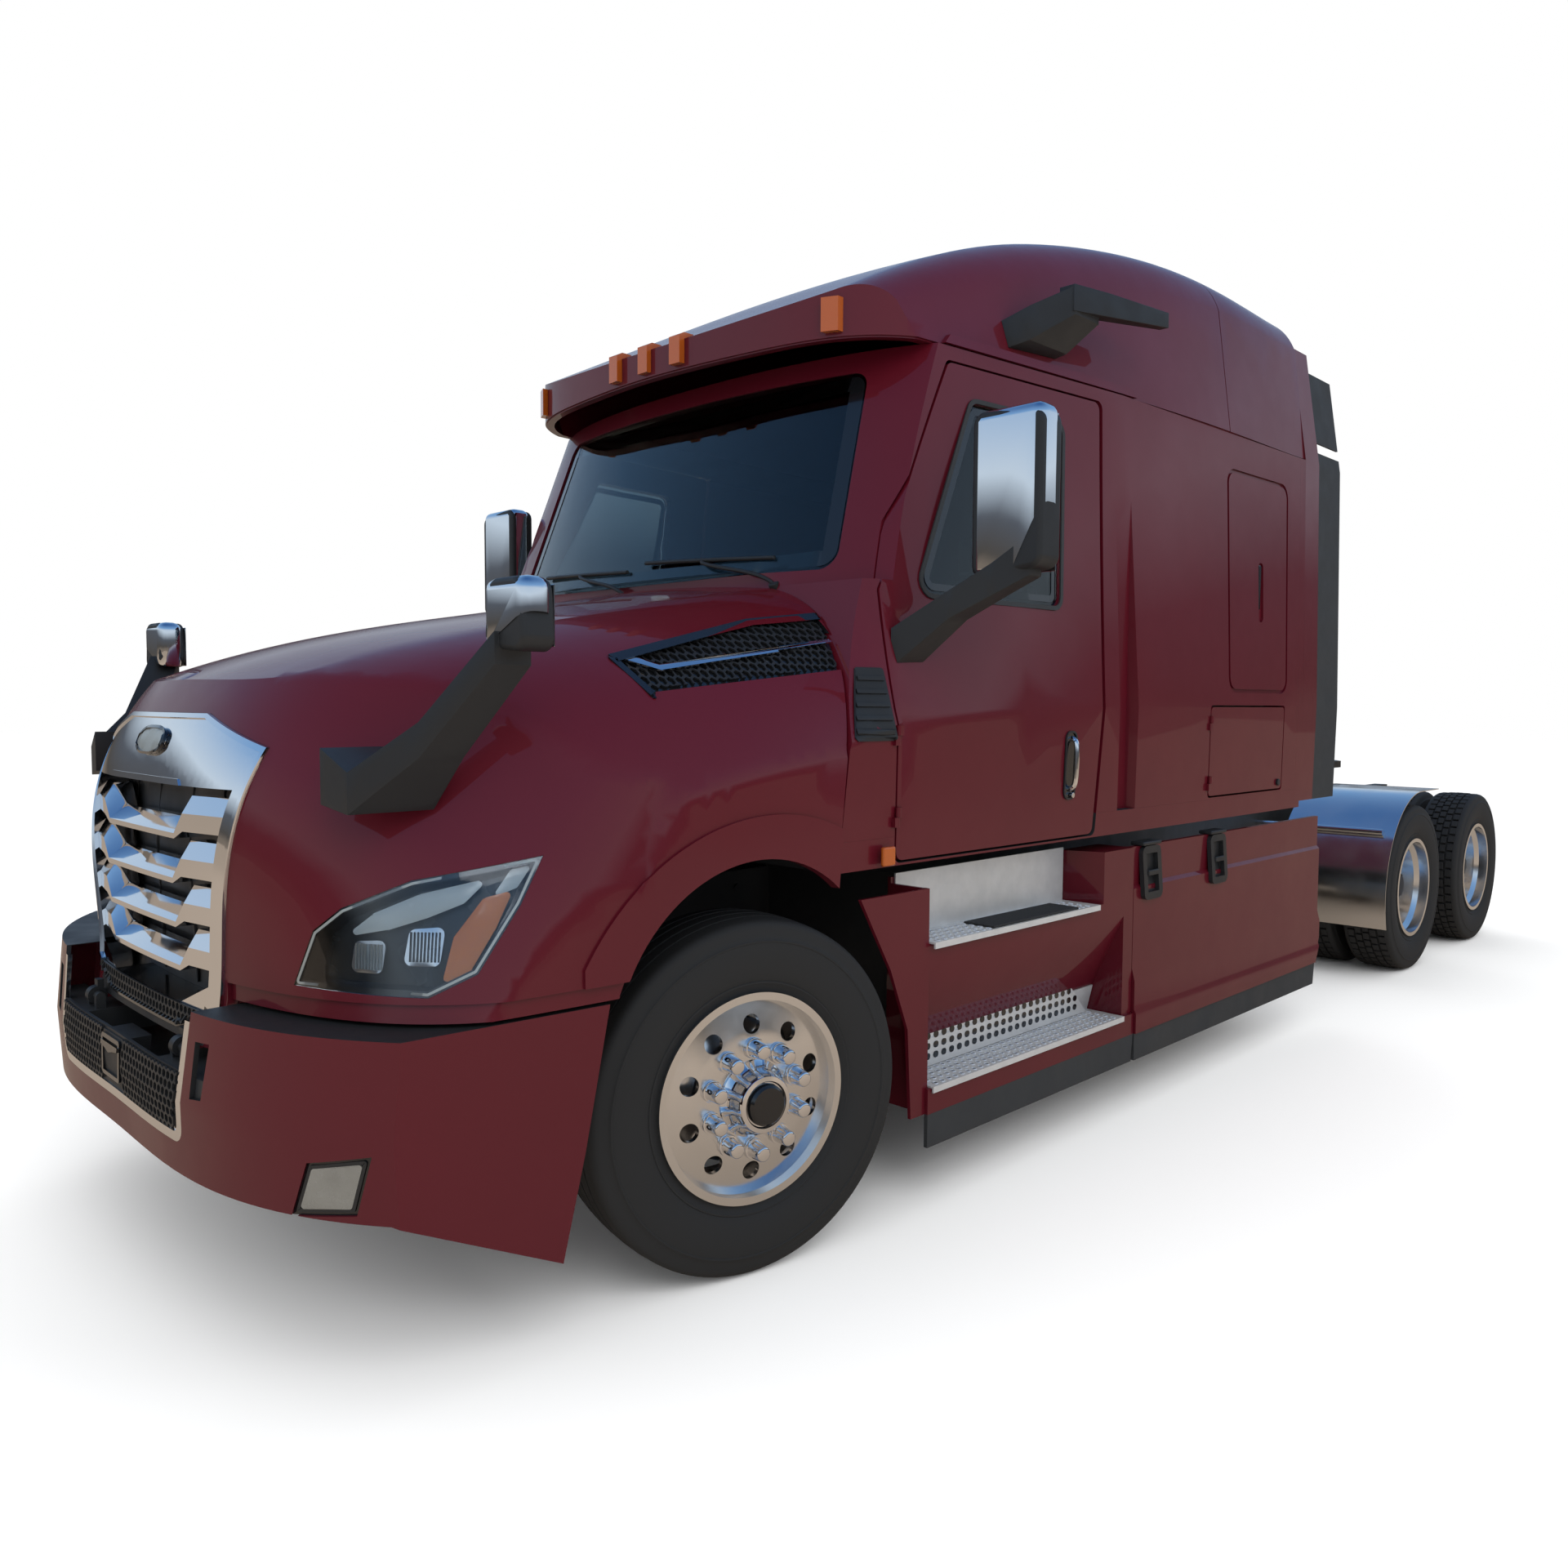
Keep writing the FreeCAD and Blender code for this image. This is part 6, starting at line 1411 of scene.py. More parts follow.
@dataclass
class WheelTrim:
    """Nut covers, hubs and caps on the polished rims."""

    nuts: int = 10
    nut_circle: float = 0.1429
    nut_radius: float = 0.0262
    nut_taper: float = 0.8
    nut_edge: float = 0.006
    front_cover_length: float = 0.062
    drive_cover_length: float = 0.05
    skirt_share: float = 1.15
    skirt_height: float = 0.012
    front_face_x: float = 0.1155
    drive_face_x: float = 0.917
    flange_x: float = 1.102
    hub: tuple[Point, ...] = ((-0.02, 0.0), (-0.02, 0.112), (0.006, 0.108), (0.012, 0.098), (0.03, 0.088),
                              (0.058, 0.084), (0.068, 0.078), (0.07, 0.066), (0.064, 0.062), (0.064, 0.0))
    cap: tuple[Point, ...] = ((0.06, 0.0), (0.06, 0.06), (0.078, 0.057), (0.084, 0.05), (0.086, 0.0))
    flange: tuple[Point, ...] = ((0.0, 0.0), (0.0, 0.094), (0.008, 0.092), (0.012, 0.07), (0.03, 0.062),
                                 (0.034, 0.05), (0.034, 0.0))
    flange_bolts: int = 8
    bolt_circle: float = 0.08
    steps: int = 48

    def nut_covers(self, name: str, length: float) -> Piece:
        """Model a ring of tall tapered nut covers on a face across the X axis.

        Args:
            name: The piece's name.
            length: How far the covers stand out.

        Returns:
            The ring.
        """
        cover = barrel("cover", (length / 2, 0, self.nut_circle), (1, 0, 0), self.nut_radius, length,
                       sides=24, end_radius=self.nut_radius * self.nut_taper)
        skirt = barrel("skirt", (self.skirt_height / 2, 0, self.nut_circle), (1, 0, 0),
                       self.nut_radius * self.skirt_share, self.skirt_height, bevel=0.002, sides=24)
        soften(cover, self.nut_edge, segments=3)
        ring = joined(name, [cover, skirt])
        ringed(ring, self.nuts)
        smooth(ring)
        return ring

    def build(self) -> None:
        """Trim the front and the drive wheels."""
        self.trim_front()
        self.trim_drive()

    def trim_front(self) -> None:
        """Trim the steered wheels on their turned axes."""
        covers = self.nut_covers("front_nut_covers", self.front_cover_length)
        hub = lathe("hub", self.hub, self.steps, closed=False)
        cap = lathe("cap", self.cap, self.steps, closed=False)
        for side, sign in SIDES:
            spin = joint(f"spin_front_{side}")
            turn = math.atan2(spin["axis"][1], spin["axis"][0]) + (0 if sign > 0 else math.pi)
            place = (Matrix.Translation(Vector(spin["pos_m"])) @ Matrix.Rotation(turn, 4, "Z")
                     @ Matrix.Translation((self.front_face_x, 0, 0)))
            for pattern, finish in ((covers, CHROME), (hub, CHROME), (cap, GLOSS_BLACK)):
                piece = moved(copied(pattern, f"{pattern.name}_{side}"), place)
                dress(piece, finish, f"front_wheel_{side}")
        dropped(covers, hub, cap)

    def trim_drive(self) -> None:
        """Trim the drive hubs with nuts on the dished face and an axle flange."""
        covers = self.nut_covers("drive_nut_covers", self.drive_cover_length)
        flange = lathe("flange", self.flange, self.steps, closed=False)
        bolt = barrel("bolt", (0.012, 0, self.bolt_circle), (1, 0, 0), radius=0.009, length=0.016,
                      bevel=0.0015, sides=6)
        ringed(bolt, self.flange_bolts)
        flange = joined("axle_flange", [flange, bolt])
        smooth(flange)
        for number in (1, 2):
            for side, sign in SIDES:
                spin = joint(f"spin_drive_{number}_{side}")["pos_m"]
                turn = Matrix.Rotation(0 if sign > 0 else math.pi, 4, "Z")
                for pattern, finish, x in ((covers, CHROME, self.drive_face_x),
                                           (flange, CAST_IRON, self.flange_x)):
                    piece = moved(copied(pattern, f"{pattern.name}_{number}_{side}"),
                                  Matrix.Translation((sign * x, spin[1], spin[2])) @ turn)
                    dress(piece, finish, f"drive_wheels_{number}_{side}")
        dropped(covers, flange)


@dataclass
class Nose:
    """Honeycombs, seams and dark edges round the grille and the bumper's opening; the bumper's and hood's dark
    edges are painted shade.
    """

    cell: float = 0.025
    cell_wall: float = 0.0065
    mesh_lift: float = 0.0015
    mesh_depth: float = 0.006
    lip: tuple[Point, ...] = ((-0.425, 0.772), (0.425, 0.772), (0.432, 0.826), (-0.432, 0.826))
    opening: tuple[Point, ...] = ((0.088, 0.562), (0.462, 0.562), (0.486, 0.708), (0.088, 0.708))
    seam_places: tuple[float, ...] = (0.13, 0.34)
    seam_half: float = 0.004
    seam_low: float = 0.84
    seam_high: float = 1.38
    sensor: tuple[Point, ...] = ((-0.074, 0.585), (0.074, 0.585), (0.078, 0.698), (-0.078, 0.698))
    sensor_wing: tuple[Point, ...] = ((-0.07, 0.668), (-0.03, 0.662), (0.0, 0.655), (0.03, 0.662),
                                      (0.07, 0.668), (0.07, 0.68), (-0.07, 0.68))
    badge_half_wide: float = 0.098
    badge_half_high: float = 0.034
    badge_z: float = 1.496
    badge_squareness: float = 0.6
    badge_points: int = 32
    tray: Box = ((-0.48, -1.322, 0.594), (0.48, -1.10, 0.600))
    fog_lamp: tuple[Point, ...] = ((-0.245, 0.450), (-0.200, 0.580), (-0.040, 0.610), (-0.080, 0.470))

    def build(self) -> None:
        """Fit the honeycombs, the panel's seams and the bumper's lamps."""
        self.paint()
        self.fit_lip()
        self.fit_bumper_mesh()
        self.fit_panel()
        self.fit_sensor()
        self.fit_tray()
        self.fit_badge()
        self.fit_fog_lamps()

    def paint(self) -> None:
        """Give the grille's foot and the bumper's border their own finishes, and paint black as painted shade the
        bumper's top edge, hook slots and opening walls and the hood's underside.
        """
        border_x, border_slope, opening_top, opening_foot = 0.502, 0.14, 0.86, 0.5585
        paint_faces("grille_surround", GLOSS_BLACK, between(x_high=0.44, z_high=0.84))
        paint_faces("bumper_grille", CHROME, lambda c, n, corners: n.y < 0.5 and all(
            abs(p.x) > border_x - border_slope * (opening_top - p.z) or p.z < opening_foot for p in corners))
        # painted shade: the bumper's upward faces under the hood turn black, as the shadowed gap between hood and
        # bumper
        paint_faces("bumper", BLACK_TRIM, lambda c, n, corners: n.z > 0.75 and c.z > 0.84)
        # painted shade: the faces in the tow-hook slots turn black, as the shade inside the slots
        paint_faces("bumper", BLACK_TRIM, between(x_low=0.545, x_high=0.635, z_low=0.65, z_high=0.806))
        paint_faces("hood_shell", BLACK_TRIM, between(x_high=0.46, z_high=0.83))
        # painted shade: the bumper's faces round its middle opening that don't face forward turn black, as the
        # shade inside the opening
        within = between(x_high=0.56)
        paint_faces("bumper", BLACK_TRIM, lambda c, n, corners: n.y > -0.5 and within(c, n, corners))
        paint_faces("cab_floor", CAB_PAINT, lambda c, n, corners: abs(n.x) > 0.7 and abs(c.x) > 1.1)
        # painted shade: the hood's low downward faces turn black, as the shade under its edge
        paint_faces("hood_shell", BLACK_TRIM, lambda c, n, corners: n.z < -0.6 and c.z < 0.93)

    def fit_lip(self) -> None:
        """Fit the honeycomb on the grille's foot."""
        strip = honeycomb("lip_honeycomb", self.lip, self.cell, self.cell_wall)
        laid_on(strip, "grille_surround", Side.NOSE, self.mesh_lift, self.mesh_depth)
        dress(strip, BLACK_TRIM, "hood")

    def fit_bumper_mesh(self) -> None:
        """Fit the honeycomb on the dark sheet in the bumper's opening, on both sides of the sensor."""
        for name, sign in SIDES:
            outline = [(sign * x, z) for x, z in self.opening]
            sheet = honeycomb(f"bumper_honeycomb_{name}", outline, self.cell, self.cell_wall)
            laid_on(sheet, "bumper_grille", Side.NOSE, self.mesh_lift, self.mesh_depth)
            dress(sheet, BLACK_TRIM, "chassis")

    def fit_panel(self) -> None:
        """Fit upright seams on the dark panel behind the bars."""
        seams = []
        for place in self.seam_places:
            for x in (place, -place):
                outline = box_of(x - self.seam_half, self.seam_low, x + self.seam_half, self.seam_high)
                seams.append(skin("seam", outline, "grille_back", Side.NOSE, offset=0.0005, thickness=0.005,
                                  step=0.06))
        dress(joined("panel_seams", seams), BLACK_TRIM, "hood")

    def fit_sensor(self) -> None:
        """Fit the raised bracket on the sensor's cover."""
        border = skin("sensor_border", self.sensor, "bumper_grille", Side.NOSE, offset=0.0005,
                      thickness=0.006, width=0.012, corner=0.012)
        brow = skin("sensor_brow", self.sensor_wing, "bumper_grille", Side.NOSE, offset=0.0005,
                    thickness=0.009, step=0.02)
        dress(joined("sensor_trim", [border, brow]), GLOSS_BLACK, "chassis")

    def badge_outline(self) -> list[Point]:
        """Draw the squarish oval of the badge.

        Returns:
            Its points on the nose.
        """
        found = []
        for k in range(self.badge_points):
            angle = 2 * math.pi * k / self.badge_points
            u, v = (math.copysign(abs(part) ** self.badge_squareness, part)
                    for part in (math.cos(angle), math.sin(angle)))
            found.append((self.badge_half_wide * u, self.badge_z + self.badge_half_high * v))
        return found

    def fit_badge(self) -> None:
        """Fit the bare oval plate in its dark rim on the grille's brow."""
        oval = self.badge_outline()
        plain = skin("badge_plate", oval, "grille_surround", Side.NOSE, offset=0.0005, thickness=0.006)
        dress(plain, LAMP_RIM, "hood")
        rim = skin("badge_rim", grown(oval, 0.001), "grille_surround", Side.NOSE, offset=0.0008,
                   thickness=0.0095, width=0.007)
        dress(rim, GLOSS_BLACK, "hood")

    def fit_tray(self) -> None:
        """Fit the dark tray that closes the bumper's opening from below."""
        tray = block("bumper_tray", self.tray, bevel=0.002, segments=1)
        dress(tray, BLACK_TRIM, "chassis")

    def fit_fog_lamps(self) -> None:
        """Fit a dark gasket and a ribbed reflector face on each fog lamp."""
        gasket = skin("fog_gasket", grown(self.fog_lamp, -0.0078), "small_lamps", Side.LAMP, offset=0.0006,
                      thickness=0.003, width=0.008, corner=0.006)
        both_sides(gasket, BLACK_TRIM, "chassis")
        bowl = skin("fog_lens_face", grown(self.fog_lamp, -0.016), "small_lamps", Side.LAMP, offset=0.001,
                    thickness=0.003, corner=0.006)
        both_sides(bowl, FOG_LENS, "chassis")


@dataclass
class Headlamps:
    """What shows through the headlamps' clear lenses."""

    rim: tuple[Point, ...] = ((-0.290, 0.940), (-0.240, 1.070), (-0.170, 1.125), (-0.007, 1.190),
                              (0.283, 1.240), (0.240, 1.130), (0.156, 0.980), (0.049, 0.930))
    bar: tuple[Point, ...] = ((-0.165, 1.062), (-0.10, 1.112), (0.01, 1.158), (0.165, 1.192),
                              (0.115, 1.142), (0.03, 1.112), (-0.06, 1.082))
    turn_lamp: tuple[Point, ...] = ((0.075, 0.962), (0.135, 0.985), (0.19, 1.085), (0.222, 1.165),
                                    (0.16, 1.15), (0.095, 1.06))
    tip: tuple[Point, ...] = ((0.175, 1.15), (0.232, 1.172), (0.262, 1.222), (0.215, 1.214))
    outer: tuple[float, float, float, float] = (0.022, 1.045, 0.05, 0.044)
    inner: tuple[float, float, float, float] = (-0.118, 1.018, 0.046, 0.038)
    ribs: int = 9
    rib_width: float = 0.004

    def lay(self, name: str, outline: Outline, offset: float, thickness: float, **shape: float) -> Piece:
        """Model a piece that follows the left lens.

        Args:
            name: The piece's name.
            outline: Points along the lens and up.
            offset: Its height over the lens, or less than nothing for behind it.
            thickness: Its thickness.
            shape: A border's width, the corners' radius and the step of the outline.

        Returns:
            The piece.
        """
        return skin(name, outline, "headlamp_lenses", Side.LAMP, offset, thickness, **shape)

    def build(self) -> None:
        """Fit rims, light bars, reflectors and amber corners in both headlamps."""
        rim = self.lay("headlamp_rim", grown(self.rim, -0.0045), offset=0.0004, thickness=0.002,
                       width=0.006, corner=0.008, step=0.02)
        both_sides(rim, LAMP_RIM, "hood")
        bezel = self.lay("headlamp_bezel", grown(self.rim, -0.02), offset=-0.055, thickness=0.003,
                         corner=0.02)
        both_sides(bezel, LAMP_GREY, "hood")
        light = self.lay("light_bar", self.bar, offset=-0.030, thickness=0.012, corner=0.006, step=0.02)
        both_sides(light, LIGHT_BAR, "hood")
        corner = self.lay("amber_corner", self.turn_lamp, offset=-0.026, thickness=0.012, corner=0.008,
                          step=0.02)
        both_sides(corner, TURN_LENS, "hood")
        tip = self.lay("clear_corner", self.tip, offset=-0.03, thickness=0.01, corner=0.006, step=0.02)
        both_sides(tip, LIGHT_BAR, "hood")
        self.fit_reflector("outer", self.outer, LAMP_GREY)
        self.fit_reflector("inner", self.inner, LAMP_RIM)

    def fit_reflector(self, name: str, place: tuple[float, float, float, float], ribs_finish: Finish) -> None:
        """Fit a bright bowl with upright ribs behind each lens.

        Args:
            name: Which of the two it is.
            place: Its middle along and up, half its width and half its height.
            ribs_finish: What its ribs are made of.
        """
        a, z, wide, high = place
        outline = [(a - wide, z - high), (a + wide * 0.8, z - high), (a + wide, z + high),
                   (a - wide * 0.75, z + high * 0.85)]
        bowl = self.lay(f"reflector_{name}", outline, offset=-0.046, thickness=0.008, corner=0.016,
                        step=0.02)
        ribs = []
        for k in range(self.ribs):
            x = a - wide * 0.7 + k * wide * 0.175
            ribs.append(self.lay("rib", box_of(x, z - high * 0.8, x + self.rib_width, z + high * 0.72),
                                 offset=-0.0385, thickness=0.004, step=0.05))
        both_sides(bowl, CHROME, "hood")
        both_sides(joined(f"reflector_ribs_{name}", ribs), ribs_finish, "hood")


@dataclass
class HoodTrim:
    """The vents let into the hood's flanks and the bright caps of its mirrors."""

    vent: tuple[Point, ...] = ((-0.335, 1.718), (-0.300, 1.634), (0.385, 1.712), (0.405, 1.868),
                               (0.180, 1.842))
    strip: tuple[Point, ...] = ((0.386, 1.797), (0.386, 1.776), (-0.225, 1.681), (-0.262, 1.694),
                                (-0.318, 1.712), (-0.312, 1.722), (-0.255, 1.713), (-0.222, 1.701))
    cell: float = 0.026
    cell_wall: float = 0.006
    mirror: tuple[float, float, float] = (1.180, -0.815, 1.800)
    cap_half: float = 0.0868
    cap_front: float = 0.0468
    cap_back: float = 0.035
    cap_cut: Spot = (0.01, 0.0, -0.03)
    cap_cut_normal: Spot = (0.42, 0, -0.9)
    glass_half: float = 0.07
    glass_front: float = 0.0445
    glass_back: float = 0.0475

    def build(self) -> None:
        """Fit the vents and the mirrors."""
        self.fit_vents()
        self.fit_mirrors()

    def fit_vents(self) -> None:
        """Fit each vent's frame, honeycomb and bright strip."""
        edge = grown(self.vent, 0.003)
        paint_faces("hood_shell", GLOSS_BLACK, lambda c, n, corners: all(
            inside((p.y - FRONT_AXLE_Y, p.z), edge) for p in corners))
        border = skin("vent_frame", grown(self.vent, 0.018), "hood_shell", Side.FLANK, offset=0.0005,
                      thickness=0.005, width=0.0205, corner=0.012)
        both_sides(border, GLOSS_BLACK, "hood")
        mesh = honeycomb("vent_honeycomb", grown(self.vent, -0.004), self.cell, self.cell_wall)
        laid_on(mesh, "hood_shell", Side.FLANK, offset=0.0012, thickness=0.006)
        both_sides(mesh, BLACK_TRIM, "hood")
        bright = skin("vent_strip", self.strip, "hood_shell", Side.FLANK, offset=0.012, thickness=0.006)
        both_sides(bright, CHROME, "hood")

    def fit_mirrors(self) -> None:
        """Fit a bright cap and a mirror glass on each hood mirror."""
        x, s, z = self.mirror
        half = self.cap_half
        cap = brick("hood_mirror_cap", (x - half, at(s) - self.cap_front, z - half),
                    (x + half, at(s) + self.cap_back, z + half), bevel=0.03, segments=4)
        trimmed(cap, Vector(place_of(self.mirror)) + Vector(self.cap_cut), self.cap_cut_normal)
        smooth(cap)
        both_sides(cap, CHROME, "hood")
        half = self.glass_half
        glass = brick("hood_mirror_glass", (x - half, at(s) + self.glass_front, z - half),
                      (x + half, at(s) + self.glass_back, z + half), bevel=0.0012, segments=1)
        both_sides(glass, MIRROR_GLASS, "hood")


@dataclass
class CabTrim:
    """Seals, handles, wipers, mirror caps and lamps on the cab."""

    window: tuple[Point, ...] = ((0.690, 1.960), (1.440, 1.960), (1.515, 2.625), (1.030, 2.625))
    screen: tuple[Point, ...] = ((-0.915, 2.040), (0.915, 2.040), (0.845, 2.725), (-0.845, 2.725))
    handle: tuple[Point, ...] = ((1.430, 1.262), (1.505, 1.262), (1.512, 1.512), (1.437, 1.512))
    pull: tuple[Spot, ...] = (
        (1.220, 1.468, 1.300), (1.240, 1.468, 1.306), (1.246, 1.470, 1.340), (1.247, 1.473, 1.400),
        (1.245, 1.476, 1.452), (1.238, 1.478, 1.480), (1.220, 1.478, 1.486))
    pull_radius: float = 0.0095
    lock: Spot = (1.2265, 1.480, 1.278)
    wipers: tuple[tuple[str, float, float], ...] = (("left", 0.70, 0.06), ("right", -0.02, -0.66))
    arm_radius: float = 0.007
    blade_radius: float = 0.0075
    mirror_cap: Box = ((1.2985, 0.7285, 1.9885), (1.5535, 0.835, 2.5065))
    mirror_cut: Spot = (1.44, 0.8, 1.99)
    mirror_cut_normal: Spot = (0.89, 0, -0.46)
    mirror_panes: tuple[Box, ...] = (((1.318, 0.8445, 2.15), (1.534, 0.8475, 2.485)),
                                     ((1.318, 0.8445, 2.012), (1.534, 0.8475, 2.135)))
    cowl: tuple[Point, ...] = ((0.300, 1.495), (0.480, 1.495), (0.480, 1.715), (0.382, 1.715))
    slat_heights: tuple[float, ...] = (1.515, 1.555, 1.595, 1.635, 1.675)
    slat_high: float = 0.012
    slat_front: float = 0.315
    slat_slant: float = 0.08
    slat_back: float = 0.472
    marker: Box = ((1.2235, 0.405, 1.118), (1.2375, 0.462, 1.176))
    luggage_latch: Spot = (1.2285, 3.325, 1.245)
    locker_latch: Box = ((1.198, 3.089, 2.0), (1.206, 3.121, 2.25))

    def build(self) -> None:
        """Fit every piece of the cab's trim."""
        self.fit_seals()
        self.fit_handles()
        self.fit_wipers()
        self.fit_mirror_caps()
        self.fit_cowl()
        self.fit_lockers()

    def fit_seals(self) -> None:
        """Fit the windscreen's black border and the door windows' double seals."""
        border = skin("screen_border", grown(self.screen, -0.012), "windscreen", Side.NOSE, offset=0.0006,
                      thickness=0.0016, width=0.052, corner=0.05)
        dress(border, GLOSS_BLACK, "chassis")
        outer = skin("window_seal", grown(self.window, 0.016), "door_left", Side.FLANK, offset=0.0004,
                     thickness=0.006, width=0.0155, corner=0.055)
        both_sides(outer, SEAL_RUBBER, "door_SIDE_body")
        inner = skin("window_band", grown(self.window, -0.013), "door_glass_left", Side.FLANK,
                     offset=0.0006, thickness=0.0016, width=0.024, corner=0.04)
        both_sides(inner, GLOSS_BLACK, "door_SIDE_body")

    def fit_handles(self) -> None:
        """Fit a pull handle in a dark recess on each door."""
        recess = skin("handle_recess", self.handle, "door_left", Side.FLANK, offset=0.0003,
                      thickness=0.0015, corner=0.03)
        both_sides(recess, GLOSS_BLACK, "door_SIDE_body")
        rim = skin("handle_rim", self.handle, "door_left", Side.FLANK, offset=0.0004, thickness=0.006,
                   width=0.007, corner=0.03)
        both_sides(rim, BLACK_TRIM, "door_SIDE_body")
        pull = tube("pull", [place_of(spot) for spot in self.pull], self.pull_radius)
        lock = barrel("lock", place_of(self.lock), (1, 0, 0), radius=0.010, length=0.012, bevel=0.0015,
                      sides=20)
        both_sides(joined("door_pull", [pull, lock]), CHROME, "door_SIDE_body")

    def before_glass(self, x: float, z: float, gap: float, height: float, shift: float = 0.0
                     ) -> tuple[float, float, float]:
        """Find a point ahead of the windscreen.

        Args:
            x: Where across the truck the glass is met.
            z: The height where it is met.
            gap: How far ahead of the glass the point lies.
            height: The point's own height.
            shift: How far the point lies to the left of that place.

        Returns:
            The point.
        """
        foot_s, foot_z, rake, bow = 0.436, 2.06, 0.37, 0.135
        return (x + shift, at(foot_s + (z - foot_z) * rake + bow * x * x) - gap, height)

    def fit_wipers(self) -> None:
        """Fit two parked wipers at the windscreen's foot."""
        for name, pivot, tip in self.wipers:
            middle = (pivot + tip) / 2
            arm = tube("arm", [self.before_glass(pivot, 1.99, 0.006, 1.995),
                               self.before_glass(pivot, 2.02, 0.03, 2.03, -0.02),
                               self.before_glass(middle, 2.09, 0.035, 2.085),
                               self.before_glass(middle, 2.1, 0.022, 2.098, -0.02)], self.arm_radius)
            spread = [pivot - 0.03 - k * (pivot - tip - 0.03) / 4 for k in range(5)]
            blade = tube("blade", [self.before_glass(x, 2.098, 0.012, 2.092 + 0.006 * k)
                                   for k, x in enumerate(spread)], self.blade_radius)
            boss = barrel("boss", self.before_glass(pivot, 1.99, 0.004, 1.992), (0, -0.5, 0.86),
                          radius=0.019, length=0.03, bevel=0.004, sides=20)
            dress(joined(f"wiper_{name}", [arm, blade, boss]), BLACK_TRIM, "chassis")

    def fit_mirror_caps(self) -> None:
        """Fit a bright cap and two mirror glasses on each door mirror."""
        cap = block("door_mirror_cap", self.mirror_cap, bevel=0.035, segments=5)
        trimmed(cap, place_of(self.mirror_cut), self.mirror_cut_normal)
        smooth(cap)
        both_sides(cap, CHROME, "door_SIDE_body")
        panes = [block("pane", pane, bevel=0.0012, segments=1) for pane in self.mirror_panes]
        both_sides(joined("door_mirror_panes", panes), MIRROR_GLASS, "door_SIDE_body")

    def fit_cowl(self) -> None:
        """Fit the louvred panel behind the hood and the amber marker below it: black slats over a flat black panel
        that is painted shade of the recess.
        """
        # painted shade: the flat black panel stands for the shadowed recess behind the hood; the slats on it are
        # real black louvres
        panel = skin("cowl_panel", self.cowl, "cab_front", Side.FLANK, offset=0.0006, thickness=0.004,
                     corner=0.01)
        slats = []
        for k, z in enumerate(self.slat_heights):
            front = self.slat_front + self.slat_slant * k / len(self.slat_heights)
            slats.append(skin("slat", box_of(front, z, self.slat_back, z + self.slat_high), "cab_front",
                              Side.FLANK, offset=0.005, thickness=0.006, step=0.05))
        both_sides(joined("cowl_louvre", [panel] + slats), BLACK_TRIM, "chassis")
        lamp = block("side_marker", self.marker, bevel=0.005)
        both_sides(lamp, AMBER_LENS, "chassis")

    def fit_lockers(self) -> None:
        """Fit a latch on each luggage door and in each side locker's slot."""
        knob = barrel("luggage_latch", place_of(self.luggage_latch), (1, 0, 0), radius=0.016,
                      length=0.010, bevel=0.002, sides=24)
        both_sides(knob, BLACK_TRIM, "luggage_SIDE_body")
        pad = block("locker_latch", self.locker_latch, bevel=0.004)
        both_sides(pad, GLOSS_BLACK, "chassis")


